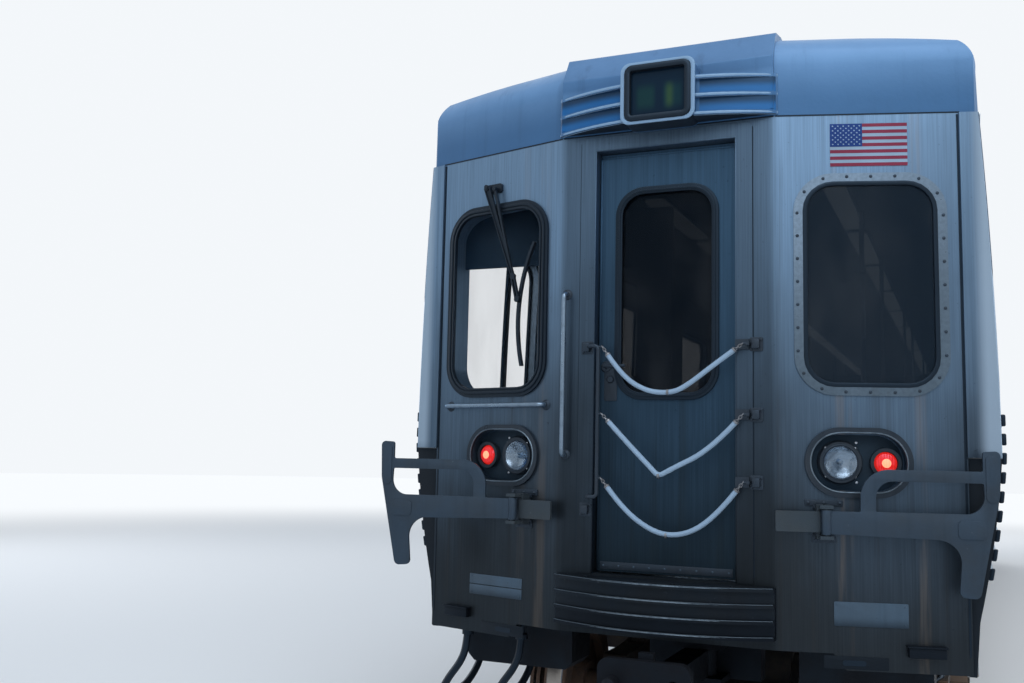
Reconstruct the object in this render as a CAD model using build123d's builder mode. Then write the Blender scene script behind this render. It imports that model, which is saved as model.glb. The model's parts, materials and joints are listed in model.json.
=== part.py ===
"""A stainless-steel metro car, one half of a married pair, with its driving cab at -Y.

Millimetres. X runs across the car, Y along it, Z up. The origin lies under the middle of the
car at the tips of the wheel flanges, and the rails' tops would be one flange depth higher.
Heights with FLOOR in them are counted from the floor at the door sills.
"""

import os
from math import hypot, sqrt

from build123d import *

os.makedirs("parts", exist_ok=True)

# Wheels and axles
GAUGE = 1581.0
WHEEL_RADIUS = 355.5
FLANGE_DEPTH = 28.0
FLANGE_WIDTH = 33.0
FLANGE_TIP = 12.0
WHEEL_BACK_GAP = 37.0
TYRE_WIDTH = 133.0
RIM_DEPTH = 62.0
WEB_THICKNESS = 26.0
HUB_RADIUS = 118.0
HUB_LENGTH = 150.0
AXLE_RADIUS = 75.0
BRAKE_DISC_RADIUS = 262.0
BRAKE_DISC_THICKNESS = 56.0
BRAKE_DISC_GAP = 62.0
VENT_GROOVE = 16.0
VENT_DEPTH = 70.0
AXLE_CAP_LENGTH = 55.0
AXLE_CAP_RADIUS = 88.0
WHEELBASE = 2030.0
BOGIE_CENTRES = 11900.0

# Body shell
END_FACE = 8150.0
FLOOR_OVER_RAIL = 1100.0
INNER_FACE = 1230.0
SKIRT_BOTTOM = -345.0
TUCK_POINT = (1285.0, -120.0)
SKIRT_HALF_WIDTH = 1268.0
BULGE_POINT = (1345.0, 200.0)
WAIST_POINT = (1385.0, 560.0)
LEAN_POINT = (1368.0, 1300.0)
CANT_HALF_WIDTH = 1329.0
CORNER_SETBACK = 250.0
REAR_WALL_SETBACK = 40.0
REAR_WALL_THICKNESS = 90.0
REAR_CORNER_RADIUS = 78.0
REAR_WINDOW_X = 790.0
REAR_WINDOW_WIDTH = 420.0
REAR_WINDOW_RADIUS = 110.0
REAR_GLASS_INSET = 12.0
FLOOR_THICKNESS = 90.0

# Fluting on the lower side
RIB_COUNT = 9
RIB_FIRST = 75.0
RIB_PITCH = 80.0
RIB_HEIGHT = 15.0
RIB_BASE = 46.0
RIB_CREST = 26.0
RIB_END_GAP = 14.0

# Side doors
DOOR_CENTRES = (-4810.0, 0.0, 4810.0)
DOOR_WIDTH = 1270.0
DOOR_HEIGHT = 1950.0
DOOR_CORNER_RADIUS = 95.0
DOOR_SURROUND = 62.0
SURROUND_PROUD = 11.0
LEAF_THICKNESS = 32.0
LEAF_INSET = 22.0
LEAF_CLEARANCE = 8.0
LEAF_SILL_GAP = 10.0
LEAF_HEAD_OVERLAP = 30.0
LEAF_JAMB_OVERLAP = 16.0
LEAF_MEETING_GAP = 6.0
LEAF_TRAVEL = 615.0
LEAF_WINDOW = (420.0, 940.0)
LEAF_WINDOW_LOW = 820.0
LEAF_WINDOW_RADIUS = 75.0
PANE_THICKNESS = 6.0
PANE_INSET = 34.0
PANE_GAP = 1.0
DOOR_HEAD = 100.0
WALL_TOP = DOOR_HEIGHT + DOOR_HEAD

# Side windows: centre along the car, clear width
SIDE_WINDOWS = ((-7115.0, 1210.0), (-2405.0, 1220.0), (2405.0, 1220.0), (7115.0, 1210.0))
SIDE_WINDOW_LOW = 810.0
SIDE_WINDOW_HEIGHT = 940.0
SIDE_WINDOW_RADIUS = 110.0
WINDOW_FRAME_WIDTH = 32.0
WINDOW_FRAME_PROUD = 6.0
WINDOW_FRAME_DEPTH = 60.0
WINDOW_GLASS_INSET = 18.0

# Roof, with its points over the wall tops
CANT_POINT = (1323.0, WALL_TOP + 185.0)
COVE_POINT = (1306.0, WALL_TOP + 280.0)
SHOULDER_POINT = (1255.0, WALL_TOP + 340.0)
CROWN_MID_POINT = (650.0, WALL_TOP + 398.0)
ROOF_RISE = 418.0
ROOF_CROWN = WALL_TOP + ROOF_RISE
CEILING_EDGE_RISE = 20.0
CEILING_EDGE = WALL_TOP + CEILING_EDGE_RISE
CEILING_HALF_WIDTH = 1000.0
CEILING_RISE = 110.0
CEILING_HEIGHT = CEILING_EDGE + CEILING_RISE
FAIRING_RISE = 92.0
FAIRING_TOP = ROOF_CROWN + FAIRING_RISE
FAIRING_HALF_WIDTH = 760.0
FAIRING_TOP_HALF_WIDTH = 610.0
FAIRING_NOSE = 1250.0
FAIRING_SLOPE = 1100.0
FAIRING_SKIRT = 68.0
FAIRING_LOW = ROOF_CROWN - FAIRING_SKIRT
FAIRING_EDGE = 60.0
FAIRING_LIP = 12.0

# Cab end
PILLAR_HALF_WIDTH = 503.0
RAKE_HALF_WIDTH = 1255.0
RAKE_SETBACK = 216.0
END_WALL_THICKNESS = 90.0
END_DOOR_HALF_WIDTH = 327.0
END_DOOR_HEAD = 83.0
END_DOOR_HEIGHT = WALL_TOP - END_DOOR_HEAD
END_DOOR_RECESS = 46.0
END_DOOR_THICKNESS = 42.0
END_DOOR_GAP = 8.0
PORTAL_WIDTH = 76.0
PORTAL_HEAD = 66.0
PORTAL_PROUD = 6.0
PORTAL_RADIUS = 24.0
END_DOOR_WINDOW_LOW = 815.0
END_DOOR_TOP_RAIL = 202.0
END_DOOR_WINDOW = (440.0, END_DOOR_HEIGHT - END_DOOR_TOP_RAIL - END_DOOR_WINDOW_LOW)
END_DOOR_WINDOW_RADIUS = 110.0
END_WALL_BOTTOM = -268.0
FLAP_INNER = 720.0
FLAP_BOTTOM = -335.0
COVER_BOTTOM = 556.0
COVER_HALF_WIDTH = 1325.0
FRONT_WINDOW = (600.0, 930.0)
FRONT_WINDOW_RADIUS = 150.0
FRONT_WINDOW_ALONG = 398.0
FRONT_WINDOW_CENTRE = 1296.0
FRONT_GLASS_THICKNESS = 8.0
GASKET_LAP = 22.0
GASKET_INNER_LAP = 24.0
GASKET_PROUD = 13.0
BOLTED_FRAME_PROUD = 7.0
LAMP_ALONG = 338.0
LAMP_HEIGHT = 525.0
LAMP_OVAL = (396.0, 246.0)
LAMP_BEZEL_WIDTH = 25.0
LAMP_BEZEL_PROUD = 15.0
LAMP_RECESS_DEPTH = 52.0
HEADLAMP_ALONG = 268.0
TAIL_LAMP_ALONG = 455.0
HEADLAMP_RADIUS = 73.0
TAIL_LAMP_RADIUS = 50.0
LAMP_RIM = 14.0
LAMP_RIM_HEIGHT = 34.0
LENS_HEIGHT = 24.0

# Cab end cap and sign hood
CAP_LENGTH = 600.0
CAP_FACE_RISE = 235.0
CAP_FRONT_TOP = WALL_TOP + CAP_FACE_RISE
CAP_BROW_DEPTH = 185.0
CAP_BROW_DROP = 16.0
CAP_BROW_TOP = ROOF_CROWN - CAP_BROW_DROP
CAP_BROW_SHAPE = (0.25, 0.68)
CAP_CORNER_CHAMFER = 14.0
BLOCK_HALF_WIDTH = 500.0
BLOCK_RISE = 22.0
BLOCK_TOP = ROOF_CROWN + BLOCK_RISE
BLOCK_FORWARD = 22.0
BLOCK_LOW_RISE = 30.0
BLOCK_FACE_RISE = 40.0
BLOCK_EDGE = (60.0, 30.0)
BLOCK_SETBACK = 200.0
BLOCK_CORNER_RADIUS = 24.0
HOOD_HALF_WIDTH = 515.0
HOOD_LIFT = 6.0
HOOD_BOTTOM = WALL_TOP + HOOD_LIFT
HOOD_HEIGHT = 188.0
HOOD_TOP = HOOD_BOTTOM + HOOD_HEIGHT
HOOD_BOW = 105.0
HOOD_END_RADIUS = 18.0
HOOD_RIB_PROUD = 24.0
HOOD_RIB_THICKNESS = 18.0
HOOD_RIB_COUNT = 3
SIGN_WIDTH = 290.0
SIGN_HEIGHT = 246.0
SIGN_FRAME = 26.0
SIGN_DEPTH = 30.0
SIGN_RADIUS = 30.0

# Anticlimber
ANTICLIMBER_HALF_WIDTH = 497.0
ANTICLIMBER_TOP = -10.0
ANTICLIMBER_HEIGHT = 214.0
ANTICLIMBER_BOW = 165.0
ANTICLIMBER_SIDE_DEPTH = 30.0
ANTICLIMBER_RIB_COUNT = 4
ANTICLIMBER_RIB_THICKNESS = 14.0
ANTICLIMBER_RIB_PROUD = 20.0
ANTICLIMBER_END_RADIUS = 16.0

# Gates at the cab end
GATE_STANDOFF = 90.0
GATE_PLATE = 12.0
GATE_PIN_RADIUS = 11.0
GATE_PIN_CLEARANCE = 0.08
GATE_HINGE_ALONG = 188.0
GATE_HINGE_HEIGHT = 276.0
GATE_LEFT_SWING = 20.0
GATE_KNUCKLE_RADIUS = 20.0
GATE_KNUCKLE_HEIGHT = 100.0

# Couplers
COUPLER_FACE = 8435.0
COUPLER_PIVOT = 7450.0
COUPLER_HEIGHT = 660.0
COUPLER_PIN_RADIUS = 38.0
GUIDE_OFFSET = 130.0
GUIDE_RISE = 55.0
GUIDE_PIN_RADIUS = 30.0
GUIDE_PIN_LENGTH = 80.0
GUIDE_SOCKET_RADIUS = 32.0
GUIDE_SOCKET_DEPTH = 110.0

RAIL_TOP = FLANGE_DEPTH
AXLE_Z = RAIL_TOP + WHEEL_RADIUS
FLOOR = RAIL_TOP + FLOOR_OVER_RAIL
FLOOR_BOTTOM = FLOOR - FLOOR_THICKNESS
CAB_WALL_END = -(END_FACE - CORNER_SETBACK)
REAR_WALL_FACE = END_FACE - REAR_WALL_SETBACK
REAR_WALL_END = REAR_WALL_FACE - REAR_WALL_THICKNESS
RAKE_RUN = hypot(RAKE_HALF_WIDTH - PILLAR_HALF_WIDTH, RAKE_SETBACK)
RAKE_COS = (RAKE_HALF_WIDTH - PILLAR_HALF_WIDTH) / RAKE_RUN
RAKE_SIN = RAKE_SETBACK / RAKE_RUN
BOGIE_PLACES = {"front": -BOGIE_CENTRES / 2, "rear": BOGIE_CENTRES / 2}


def circle_through(first, middle, last):
    """Centre and radius of the circle through three points."""
    (ax, ay), (bx, by), (cx, cy) = first, middle, last
    a2, b2, c2 = ax * ax + ay * ay, bx * bx + by * by, cx * cx + cy * cy
    d = 2 * (ax * (by - cy) + bx * (cy - ay) + cx * (ay - by))
    x = (a2 * (by - cy) + b2 * (cy - ay) + c2 * (ay - by)) / d
    y = (a2 * (cx - bx) + b2 * (ax - cx) + c2 * (bx - ax)) / d
    return x, y, hypot(ax - x, ay - y)


LOWER_ARC = circle_through(TUCK_POINT, BULGE_POINT, WAIST_POINT)
UPPER_ARC = circle_through(WAIST_POINT, LEAN_POINT, (CANT_HALF_WIDTH, WALL_TOP))


def skin_x(height):
    """Half width of the body's outer skin at a height over the floor."""
    if height <= TUCK_POINT[1]:
        share = (height - SKIRT_BOTTOM) / (TUCK_POINT[1] - SKIRT_BOTTOM)
        return SKIRT_HALF_WIDTH + share * (TUCK_POINT[0] - SKIRT_HALF_WIDTH)
    x, z, radius = LOWER_ARC if height <= WAIST_POINT[1] else UPPER_ARC
    return x + sqrt(radius**2 - (height - z) ** 2)


def cross_section(y):
    """Plane across the car at y; a positive extrusion from it runs towards the cab end."""
    return Plane.XZ.offset(-y)


def skin_edges(inset, low, high):
    """Edges of the side's profile, moved inwards by the inset, between two heights."""
    joints = [z for z in (TUCK_POINT[1], WAIST_POINT[1]) if low < z < high]
    stops = [low, *joints, high]
    for z0, z1 in zip(stops, stops[1:]):
        middle = (z0 + z1) / 2
        start = (skin_x(z0) - inset, FLOOR + z0)
        end = (skin_x(z1) - inset, FLOOR + z1)
        if z1 <= TUCK_POINT[1]:
            Line(start, end)
        else:
            ThreePointArc(start, (skin_x(middle) - inset, FLOOR + middle), end)


def skin_slab(outer_inset, inner_inset, low, high):
    """Sketch between two insets of the side's profile."""
    with BuildSketch(Plane.XY) as outline:
        with BuildLine():
            skin_edges(outer_inset, low, high)
            skin_edges(inner_inset, low, high)
            for z in (low, high):
                x = skin_x(z)
                Line((x - outer_inset, FLOOR + z), (x - inner_inset, FLOOR + z))
        make_face()
    return outline.sketch_local


def panel_plane(side, out=0.0):
    """Plane on a raked cab end panel; x runs to the right, z out of the panel."""
    normal = Vector(side * RAKE_SIN, -RAKE_COS, 0)
    origin = Vector(side * PILLAR_HALF_WIDTH, -END_FACE, FLOOR) + normal * out
    return Plane(origin=origin, x_dir=(RAKE_COS, side * RAKE_SIN, 0), z_dir=normal)


def keep(name, part):
    """Label a finished part and write it as a STEP file named after it."""
    part.label = name
    export_step(part, f"parts/{name}.step")


def mirrored(part):
    """The same part on the other side of the car."""
    return mirror(part, about=Plane.YZ)


# Underframe: floor, centre sills, cross bearers and the two bolsters over the bogies
SILL_OFFSET = 240.0
SILL_WIDTH = 90.0
SILL_DEPTH = 130.0
BEARER_DEPTH = 90.0
BEARER_WIDTH = 60.0
BEARER_COUNT = 19
BOLSTER_WIDTH = 420.0
BOLSTER_HALF_LENGTH = 900.0
BOLSTER_BOTTOM = 900.0
PIVOT_RADIUS = 90.0
PIVOT_CLEARANCE = 0.1
PIVOT_TOP = 1000.0
COUPLER_YOKE_HALF_WIDTH = 130.0
COUPLER_YOKE_PLATE = 30.0
COUPLER_SHANK_HALF_HEIGHT = 62.0
YOKE_GAP = 6.0

with BuildPart() as underframe:
    with BuildSketch(Plane.XY.offset(FLOOR_BOTTOM)):
        with BuildLine():
            inner = END_WALL_THICKNESS
            Polyline(
                (-INNER_FACE, REAR_WALL_END),
                (INNER_FACE, REAR_WALL_END),
                (INNER_FACE, CAB_WALL_END + inner),
                (PILLAR_HALF_WIDTH, -END_FACE + inner),
                (-PILLAR_HALF_WIDTH, -END_FACE + inner),
                (-INNER_FACE, CAB_WALL_END + inner),
                close=True,
            )
        make_face()
    extrude(amount=FLOOR_THICKNESS)
    with BuildSketch(Plane.XY.offset(FLOOR_BOTTOM)):
        with Locations((-SILL_OFFSET, 0), (SILL_OFFSET, 0)):
            Rectangle(SILL_WIDTH, 2 * COUPLER_PIVOT + 600)
    extrude(amount=-SILL_DEPTH)
    with BuildSketch(Plane.XY.offset(FLOOR_BOTTOM)):
        bearer_pitch = 2 * (END_FACE - 700) / (BEARER_COUNT - 1)
        with GridLocations(0, bearer_pitch, 1, BEARER_COUNT):
            Rectangle(2 * INNER_FACE, BEARER_WIDTH)
    extrude(amount=-BEARER_DEPTH)
    with BuildSketch(Plane.XY.offset(FLOOR_BOTTOM)):
        with Locations((0, -BOGIE_CENTRES / 2), (0, BOGIE_CENTRES / 2)):
            Rectangle(2 * BOLSTER_HALF_LENGTH, BOLSTER_WIDTH)
    extrude(amount=BOLSTER_BOTTOM - FLOOR_BOTTOM)
    with BuildSketch(Plane.XY.offset(BOLSTER_BOTTOM)):
        with Locations((0, -BOGIE_CENTRES / 2), (0, BOGIE_CENTRES / 2)):
            Circle(PIVOT_RADIUS + PIVOT_CLEARANCE)
    extrude(amount=PIVOT_TOP - BOLSTER_BOTTOM, mode=Mode.SUBTRACT)
keep("underframe", underframe.part)

# Drawgear yokes that hold the pins of the coupler shanks
YOKE_BACK = 165.0
YOKE_BACK_LENGTH = 120.0
YOKE_JAW_FRONT = 90.0
yoke_low = COUPLER_HEIGHT - COUPLER_SHANK_HALF_HEIGHT - YOKE_GAP - COUPLER_YOKE_PLATE
yoke_high = COUPLER_HEIGHT + COUPLER_SHANK_HALF_HEIGHT + YOKE_GAP
yoke_top = FLOOR_BOTTOM - SILL_DEPTH
with BuildPart() as coupler_yokes:
    for way in (-1, 1):
        with Locations((0, way * (COUPLER_PIVOT - YOKE_BACK), (yoke_low + yoke_top) / 2)):
            Box(2 * (SILL_OFFSET + SILL_WIDTH / 2), YOKE_BACK_LENGTH, yoke_top - yoke_low)
        jaw_back = COUPLER_PIVOT - YOKE_BACK
        jaw_length = YOKE_BACK + YOKE_JAW_FRONT
        for low in (yoke_low, yoke_high):
            with Locations((0, way * (jaw_back + jaw_length / 2), low + COUPLER_YOKE_PLATE / 2)):
                Box(2 * COUPLER_YOKE_HALF_WIDTH, jaw_length, COUPLER_YOKE_PLATE)
        with Locations((0, way * COUPLER_PIVOT, (yoke_low + yoke_high) / 2)):
            Cylinder(COUPLER_PIN_RADIUS, yoke_high - yoke_low)
keep("coupler_yokes", coupler_yokes.part)

# Side walls: whole thickness, with pockets for the door leaves
WALL_LENGTH = REAR_WALL_END - CAB_WALL_END
POCKET_OUTER = LEAF_INSET - LEAF_CLEARANCE
POCKET_INNER = LEAF_INSET + LEAF_THICKNESS + LEAF_CLEARANCE
POCKET_TOP = DOOR_HEIGHT + LEAF_HEAD_OVERLAP + LEAF_CLEARANCE
POCKET_REACH = DOOR_WIDTH / 2 + LEAF_JAMB_OVERLAP + LEAF_TRAVEL + LEAF_CLEARANCE
THROUGH_WALL = 300.0


def rib_spans():
    """Stretches of the side between the ends and the door surrounds."""
    edges = [CAB_WALL_END + RIB_END_GAP]
    for centre in DOOR_CENTRES:
        reach = DOOR_WIDTH / 2 + DOOR_SURROUND + RIB_END_GAP
        edges += [centre - reach, centre + reach]
    edges.append(REAR_WALL_END - RIB_END_GAP)
    return list(zip(edges[::2], edges[1::2]))


with BuildPart() as side_wall_right:
    with BuildSketch(cross_section(REAR_WALL_END)):
        skin_slab_top = FLOOR + WALL_TOP
        with BuildLine():
            skin_edges(0, SKIRT_BOTTOM, WALL_TOP)
            Polyline(
                (CANT_HALF_WIDTH, skin_slab_top),
                (INNER_FACE, skin_slab_top),
                (INNER_FACE, FLOOR + SKIRT_BOTTOM),
                (SKIRT_HALF_WIDTH, FLOOR + SKIRT_BOTTOM),
            )
        make_face()
    extrude(amount=WALL_LENGTH)
    for span_start, span_end in rib_spans():
        with BuildSketch(cross_section(span_end)):
            for number in range(RIB_COUNT):
                height = RIB_FIRST + number * RIB_PITCH
                crest = skin_x(height) + RIB_HEIGHT
                low, high = height - RIB_BASE / 2, height + RIB_BASE / 2
                with BuildLine():
                    Polyline(
                        (skin_x(low) - 3, FLOOR + low),
                        (crest, FLOOR + height - RIB_CREST / 2),
                        (crest, FLOOR + height + RIB_CREST / 2),
                        (skin_x(high) - 3, FLOOR + high),
                        close=True,
                    )
                make_face()
        extrude(amount=span_end - span_start)
    for centre in DOOR_CENTRES:
        half = DOOR_WIDTH / 2 + DOOR_SURROUND
        with BuildSketch(cross_section(centre + half)):
            add(skin_slab(-SURROUND_PROUD, 5, -DOOR_SURROUND, DOOR_HEIGHT + DOOR_SURROUND))
        extrude(amount=2 * half)
    with BuildSketch(Plane.YZ.offset(INNER_FACE - 10)) as doorways:
        for centre in DOOR_CENTRES:
            with Locations((centre, FLOOR + DOOR_HEIGHT / 2)):
                Rectangle(DOOR_WIDTH, DOOR_HEIGHT)
        fillet(doorways.vertices().group_by(Axis.Y)[-1], DOOR_CORNER_RADIUS)
    extrude(amount=THROUGH_WALL, mode=Mode.SUBTRACT)
    for centre in DOOR_CENTRES:
        with BuildSketch(cross_section(centre + POCKET_REACH)):
            add(skin_slab(POCKET_OUTER, POCKET_INNER, 0, POCKET_TOP))
        extrude(amount=2 * POCKET_REACH, mode=Mode.SUBTRACT)
    with BuildSketch(Plane.YZ.offset(INNER_FACE - 10)):
        for centre, width in SIDE_WINDOWS:
            with Locations((centre, FLOOR + SIDE_WINDOW_LOW + SIDE_WINDOW_HEIGHT / 2)):
                RectangleRounded(
                    width + 2 * WINDOW_FRAME_WIDTH,
                    SIDE_WINDOW_HEIGHT + 2 * WINDOW_FRAME_WIDTH,
                    SIDE_WINDOW_RADIUS + WINDOW_FRAME_WIDTH,
                )
    extrude(amount=THROUGH_WALL, mode=Mode.SUBTRACT)
keep("side_wall_right", side_wall_right.part)

with BuildPart() as side_wall_left:
    mirror(side_wall_right.part, about=Plane.YZ)
keep("side_wall_left", side_wall_left.part)


# Side windows: rings that fill the openings, and their panes
def window_slab(outer_inset, inner_inset, margin, hole_margin):
    """Curved slabs over the side windows, with a margin round the clear opening."""
    with BuildPart() as slabs:
        low = SIDE_WINDOW_LOW - WINDOW_FRAME_WIDTH - 20
        high = SIDE_WINDOW_LOW + SIDE_WINDOW_HEIGHT + WINDOW_FRAME_WIDTH + 20
        for centre, width in SIDE_WINDOWS:
            half = width / 2 + WINDOW_FRAME_WIDTH + 20
            with BuildSketch(cross_section(centre + half)):
                add(skin_slab(outer_inset, inner_inset, low, high))
            extrude(amount=2 * half)
        for spare, mode in ((margin, Mode.INTERSECT), (hole_margin, Mode.SUBTRACT)):
            if spare is None:
                continue
            with BuildSketch(Plane.YZ.offset(INNER_FACE - 60)):
                for centre, width in SIDE_WINDOWS:
                    with Locations((centre, FLOOR + SIDE_WINDOW_LOW + SIDE_WINDOW_HEIGHT / 2)):
                        RectangleRounded(
                            width + 2 * spare,
                            SIDE_WINDOW_HEIGHT + 2 * spare,
                            SIDE_WINDOW_RADIUS + spare,
                        )
            extrude(amount=THROUGH_WALL, mode=mode)
    return slabs.part


frame_ring = window_slab(-WINDOW_FRAME_PROUD, WINDOW_FRAME_DEPTH, WINDOW_FRAME_WIDTH, 0)
with BuildPart() as side_window_frames:
    add(frame_ring)
    mirror(frame_ring, about=Plane.YZ)
keep("side_window_frames", side_window_frames.part)

window_panes = window_slab(WINDOW_GLASS_INSET, WINDOW_GLASS_INSET + PANE_THICKNESS, 0, None)
with BuildPart() as side_windows:
    add(window_panes)
    mirror(window_panes, about=Plane.YZ)
keep("side_windows", side_windows.part)

# Door leaves: curved like the wall, each with its pane
LEAF_START = LEAF_MEETING_GAP / 2
LEAF_END = DOOR_WIDTH / 2 + LEAF_JAMB_OVERLAP
LEAF_TOP = DOOR_HEIGHT + LEAF_HEAD_OVERLAP
LEAF_WINDOW_CENTRE = DOOR_WIDTH / 4

with BuildPart() as leaf_shell:
    with BuildSketch(cross_section(LEAF_END)):
        add(skin_slab(LEAF_INSET, LEAF_INSET + LEAF_THICKNESS, LEAF_SILL_GAP, LEAF_TOP))
    extrude(amount=LEAF_END - LEAF_START)
    with BuildSketch(Plane.YZ.offset(INNER_FACE - 60)):
        with Locations((LEAF_WINDOW_CENTRE, FLOOR + LEAF_WINDOW_LOW + LEAF_WINDOW[1] / 2)):
            RectangleRounded(*LEAF_WINDOW, LEAF_WINDOW_RADIUS)
    extrude(amount=THROUGH_WALL, mode=Mode.SUBTRACT)

with BuildPart() as leaf_pane:
    with BuildSketch(cross_section(LEAF_END)):
        pane_top = LEAF_WINDOW_LOW + LEAF_WINDOW[1]
        add(skin_slab(PANE_INSET, PANE_INSET + PANE_THICKNESS, LEAF_WINDOW_LOW, pane_top))
    extrude(amount=LEAF_END - LEAF_START)
    with BuildSketch(Plane.YZ.offset(INNER_FACE - 60)):
        with Locations((LEAF_WINDOW_CENTRE, FLOOR + LEAF_WINDOW_LOW + LEAF_WINDOW[1] / 2)):
            RectangleRounded(
                LEAF_WINDOW[0] - 2 * PANE_GAP,
                LEAF_WINDOW[1] - 2 * PANE_GAP,
                LEAF_WINDOW_RADIUS - PANE_GAP,
            )
    extrude(amount=THROUGH_WALL, mode=Mode.INTERSECT)

leaf_rear = Compound([leaf_shell.part.solid(), leaf_pane.part.solid()])
leaf_front = mirror(leaf_rear, about=Plane.XZ)
for number, centre in enumerate(DOOR_CENTRES, start=1):
    for hand, leaf in (("front", leaf_front), ("rear", leaf_rear)):
        moved = leaf.moved(Location((0, centre, 0)))
        for side, placed in (("right", moved), ("left", mirrored(moved))):
            with BuildPart() as door_leaf:
                add(placed)
            keep(f"door_{number}_{side}_{hand}_leaf", door_leaf.part)


# Roof, its cove and its long fairing
def roof_outline():
    """Closed outline of the roof's outer skin over the wall tops."""
    with BuildSketch(Plane.XY) as outline:
        with BuildLine():
            for side in (-1, 1):
                Line((side * CANT_HALF_WIDTH, FLOOR + WALL_TOP), (side * CANT_POINT[0], FLOOR + CANT_POINT[1]))
                ThreePointArc(
                    (side * CANT_POINT[0], FLOOR + CANT_POINT[1]),
                    (side * COVE_POINT[0], FLOOR + COVE_POINT[1]),
                    (side * SHOULDER_POINT[0], FLOOR + SHOULDER_POINT[1]),
                )
                ThreePointArc(
                    (side * SHOULDER_POINT[0], FLOOR + SHOULDER_POINT[1]),
                    (side * CROWN_MID_POINT[0], FLOOR + CROWN_MID_POINT[1]),
                    (0, FLOOR + ROOF_CROWN),
                )
            Line((-CANT_HALF_WIDTH, FLOOR + WALL_TOP), (CANT_HALF_WIDTH, FLOOR + WALL_TOP))
        make_face()
    return outline.sketch_local


CAP_REAR = -END_FACE + CAP_LENGTH
with BuildPart() as roof:
    with BuildSketch(cross_section(REAR_WALL_FACE)):
        add(roof_outline())
    extrude(amount=REAR_WALL_FACE - CAP_REAR)
    with BuildSketch(cross_section(REAR_WALL_END)):
        with BuildLine():
            Polyline(
                (-INNER_FACE, FLOOR + WALL_TOP),
                (-INNER_FACE, FLOOR + CEILING_EDGE),
                (-CEILING_HALF_WIDTH, FLOOR + CEILING_HEIGHT),
                (CEILING_HALF_WIDTH, FLOOR + CEILING_HEIGHT),
                (INNER_FACE, FLOOR + CEILING_EDGE),
                (INNER_FACE, FLOOR + WALL_TOP),
                close=True,
            )
        make_face()
    extrude(amount=REAR_WALL_END - CAP_REAR, mode=Mode.SUBTRACT)
keep("roof", roof.part)

FAIRING_START = -END_FACE + FAIRING_NOSE
FAIRING_END = END_FACE - FAIRING_NOSE
with BuildPart() as roof_fairing:
    with BuildSketch(cross_section(FAIRING_END)):
        with BuildLine():
            Polyline(
                (-FAIRING_HALF_WIDTH, FLOOR + FAIRING_LOW),
                (-FAIRING_HALF_WIDTH, FLOOR + FAIRING_LOW + FAIRING_EDGE),
                (-FAIRING_TOP_HALF_WIDTH, FLOOR + FAIRING_TOP),
                (FAIRING_TOP_HALF_WIDTH, FLOOR + FAIRING_TOP),
                (FAIRING_HALF_WIDTH, FLOOR + FAIRING_LOW + FAIRING_EDGE),
                (FAIRING_HALF_WIDTH, FLOOR + FAIRING_LOW),
                close=True,
            )
        make_face()
    extrude(amount=FAIRING_END - FAIRING_START)
    # Both noses slope down to the roof
    with BuildSketch(Plane.YZ.offset(-FAIRING_HALF_WIDTH - 10)):
        with BuildLine():
            Polyline(
                (FAIRING_START, FLOOR + FAIRING_LOW),
                (FAIRING_END, FLOOR + FAIRING_LOW),
                (FAIRING_END, FLOOR + ROOF_CROWN + FAIRING_LIP),
                (FAIRING_END - FAIRING_SLOPE, FLOOR + FAIRING_TOP),
                (FAIRING_START + FAIRING_SLOPE, FLOOR + FAIRING_TOP),
                (FAIRING_START, FLOOR + ROOF_CROWN + FAIRING_LIP),
                close=True,
            )
        make_face()
    extrude(amount=2 * FAIRING_HALF_WIDTH + 20, mode=Mode.INTERSECT)
    add(roof.part, mode=Mode.SUBTRACT)
keep("roof_fairing", roof_fairing.part)


# Cab end wall: two raked panels beside a flat door frame
def portal(face_y):
    """Raised frame round an end door, standing on the plane at face_y towards -Y."""
    with BuildPart() as frame:
        with BuildSketch(cross_section(face_y)) as outline:
            with Locations((0, FLOOR + (END_DOOR_HEIGHT + PORTAL_HEAD) / 2)):
                Rectangle(2 * (END_DOOR_HALF_WIDTH + PORTAL_WIDTH), END_DOOR_HEIGHT + PORTAL_HEAD)
            fillet(outline.vertices().group_by(Axis.Y)[-1], PORTAL_RADIUS)
            with Locations((0, FLOOR + END_DOOR_HEIGHT / 2)):
                Rectangle(2 * END_DOOR_HALF_WIDTH, END_DOOR_HEIGHT, mode=Mode.SUBTRACT)
        extrude(amount=PORTAL_PROUD)
    return frame.part


def end_wall_outline():
    """Plan of the cab end wall."""
    with BuildSketch(Plane.XY) as outline:
        with BuildLine():
            right = [
                (PILLAR_HALF_WIDTH, -END_FACE),
                (RAKE_HALF_WIDTH, -END_FACE + RAKE_SETBACK),
                (RAKE_HALF_WIDTH, CAB_WALL_END),
                (INNER_FACE, CAB_WALL_END),
                (INNER_FACE, CAB_WALL_END + END_WALL_THICKNESS),
                (PILLAR_HALF_WIDTH, -END_FACE + END_WALL_THICKNESS),
            ]
            left = [(-x, y) for x, y in reversed(right)]
            Polyline(*right, *left, close=True)
        make_face()
    return outline.sketch_local


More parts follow.
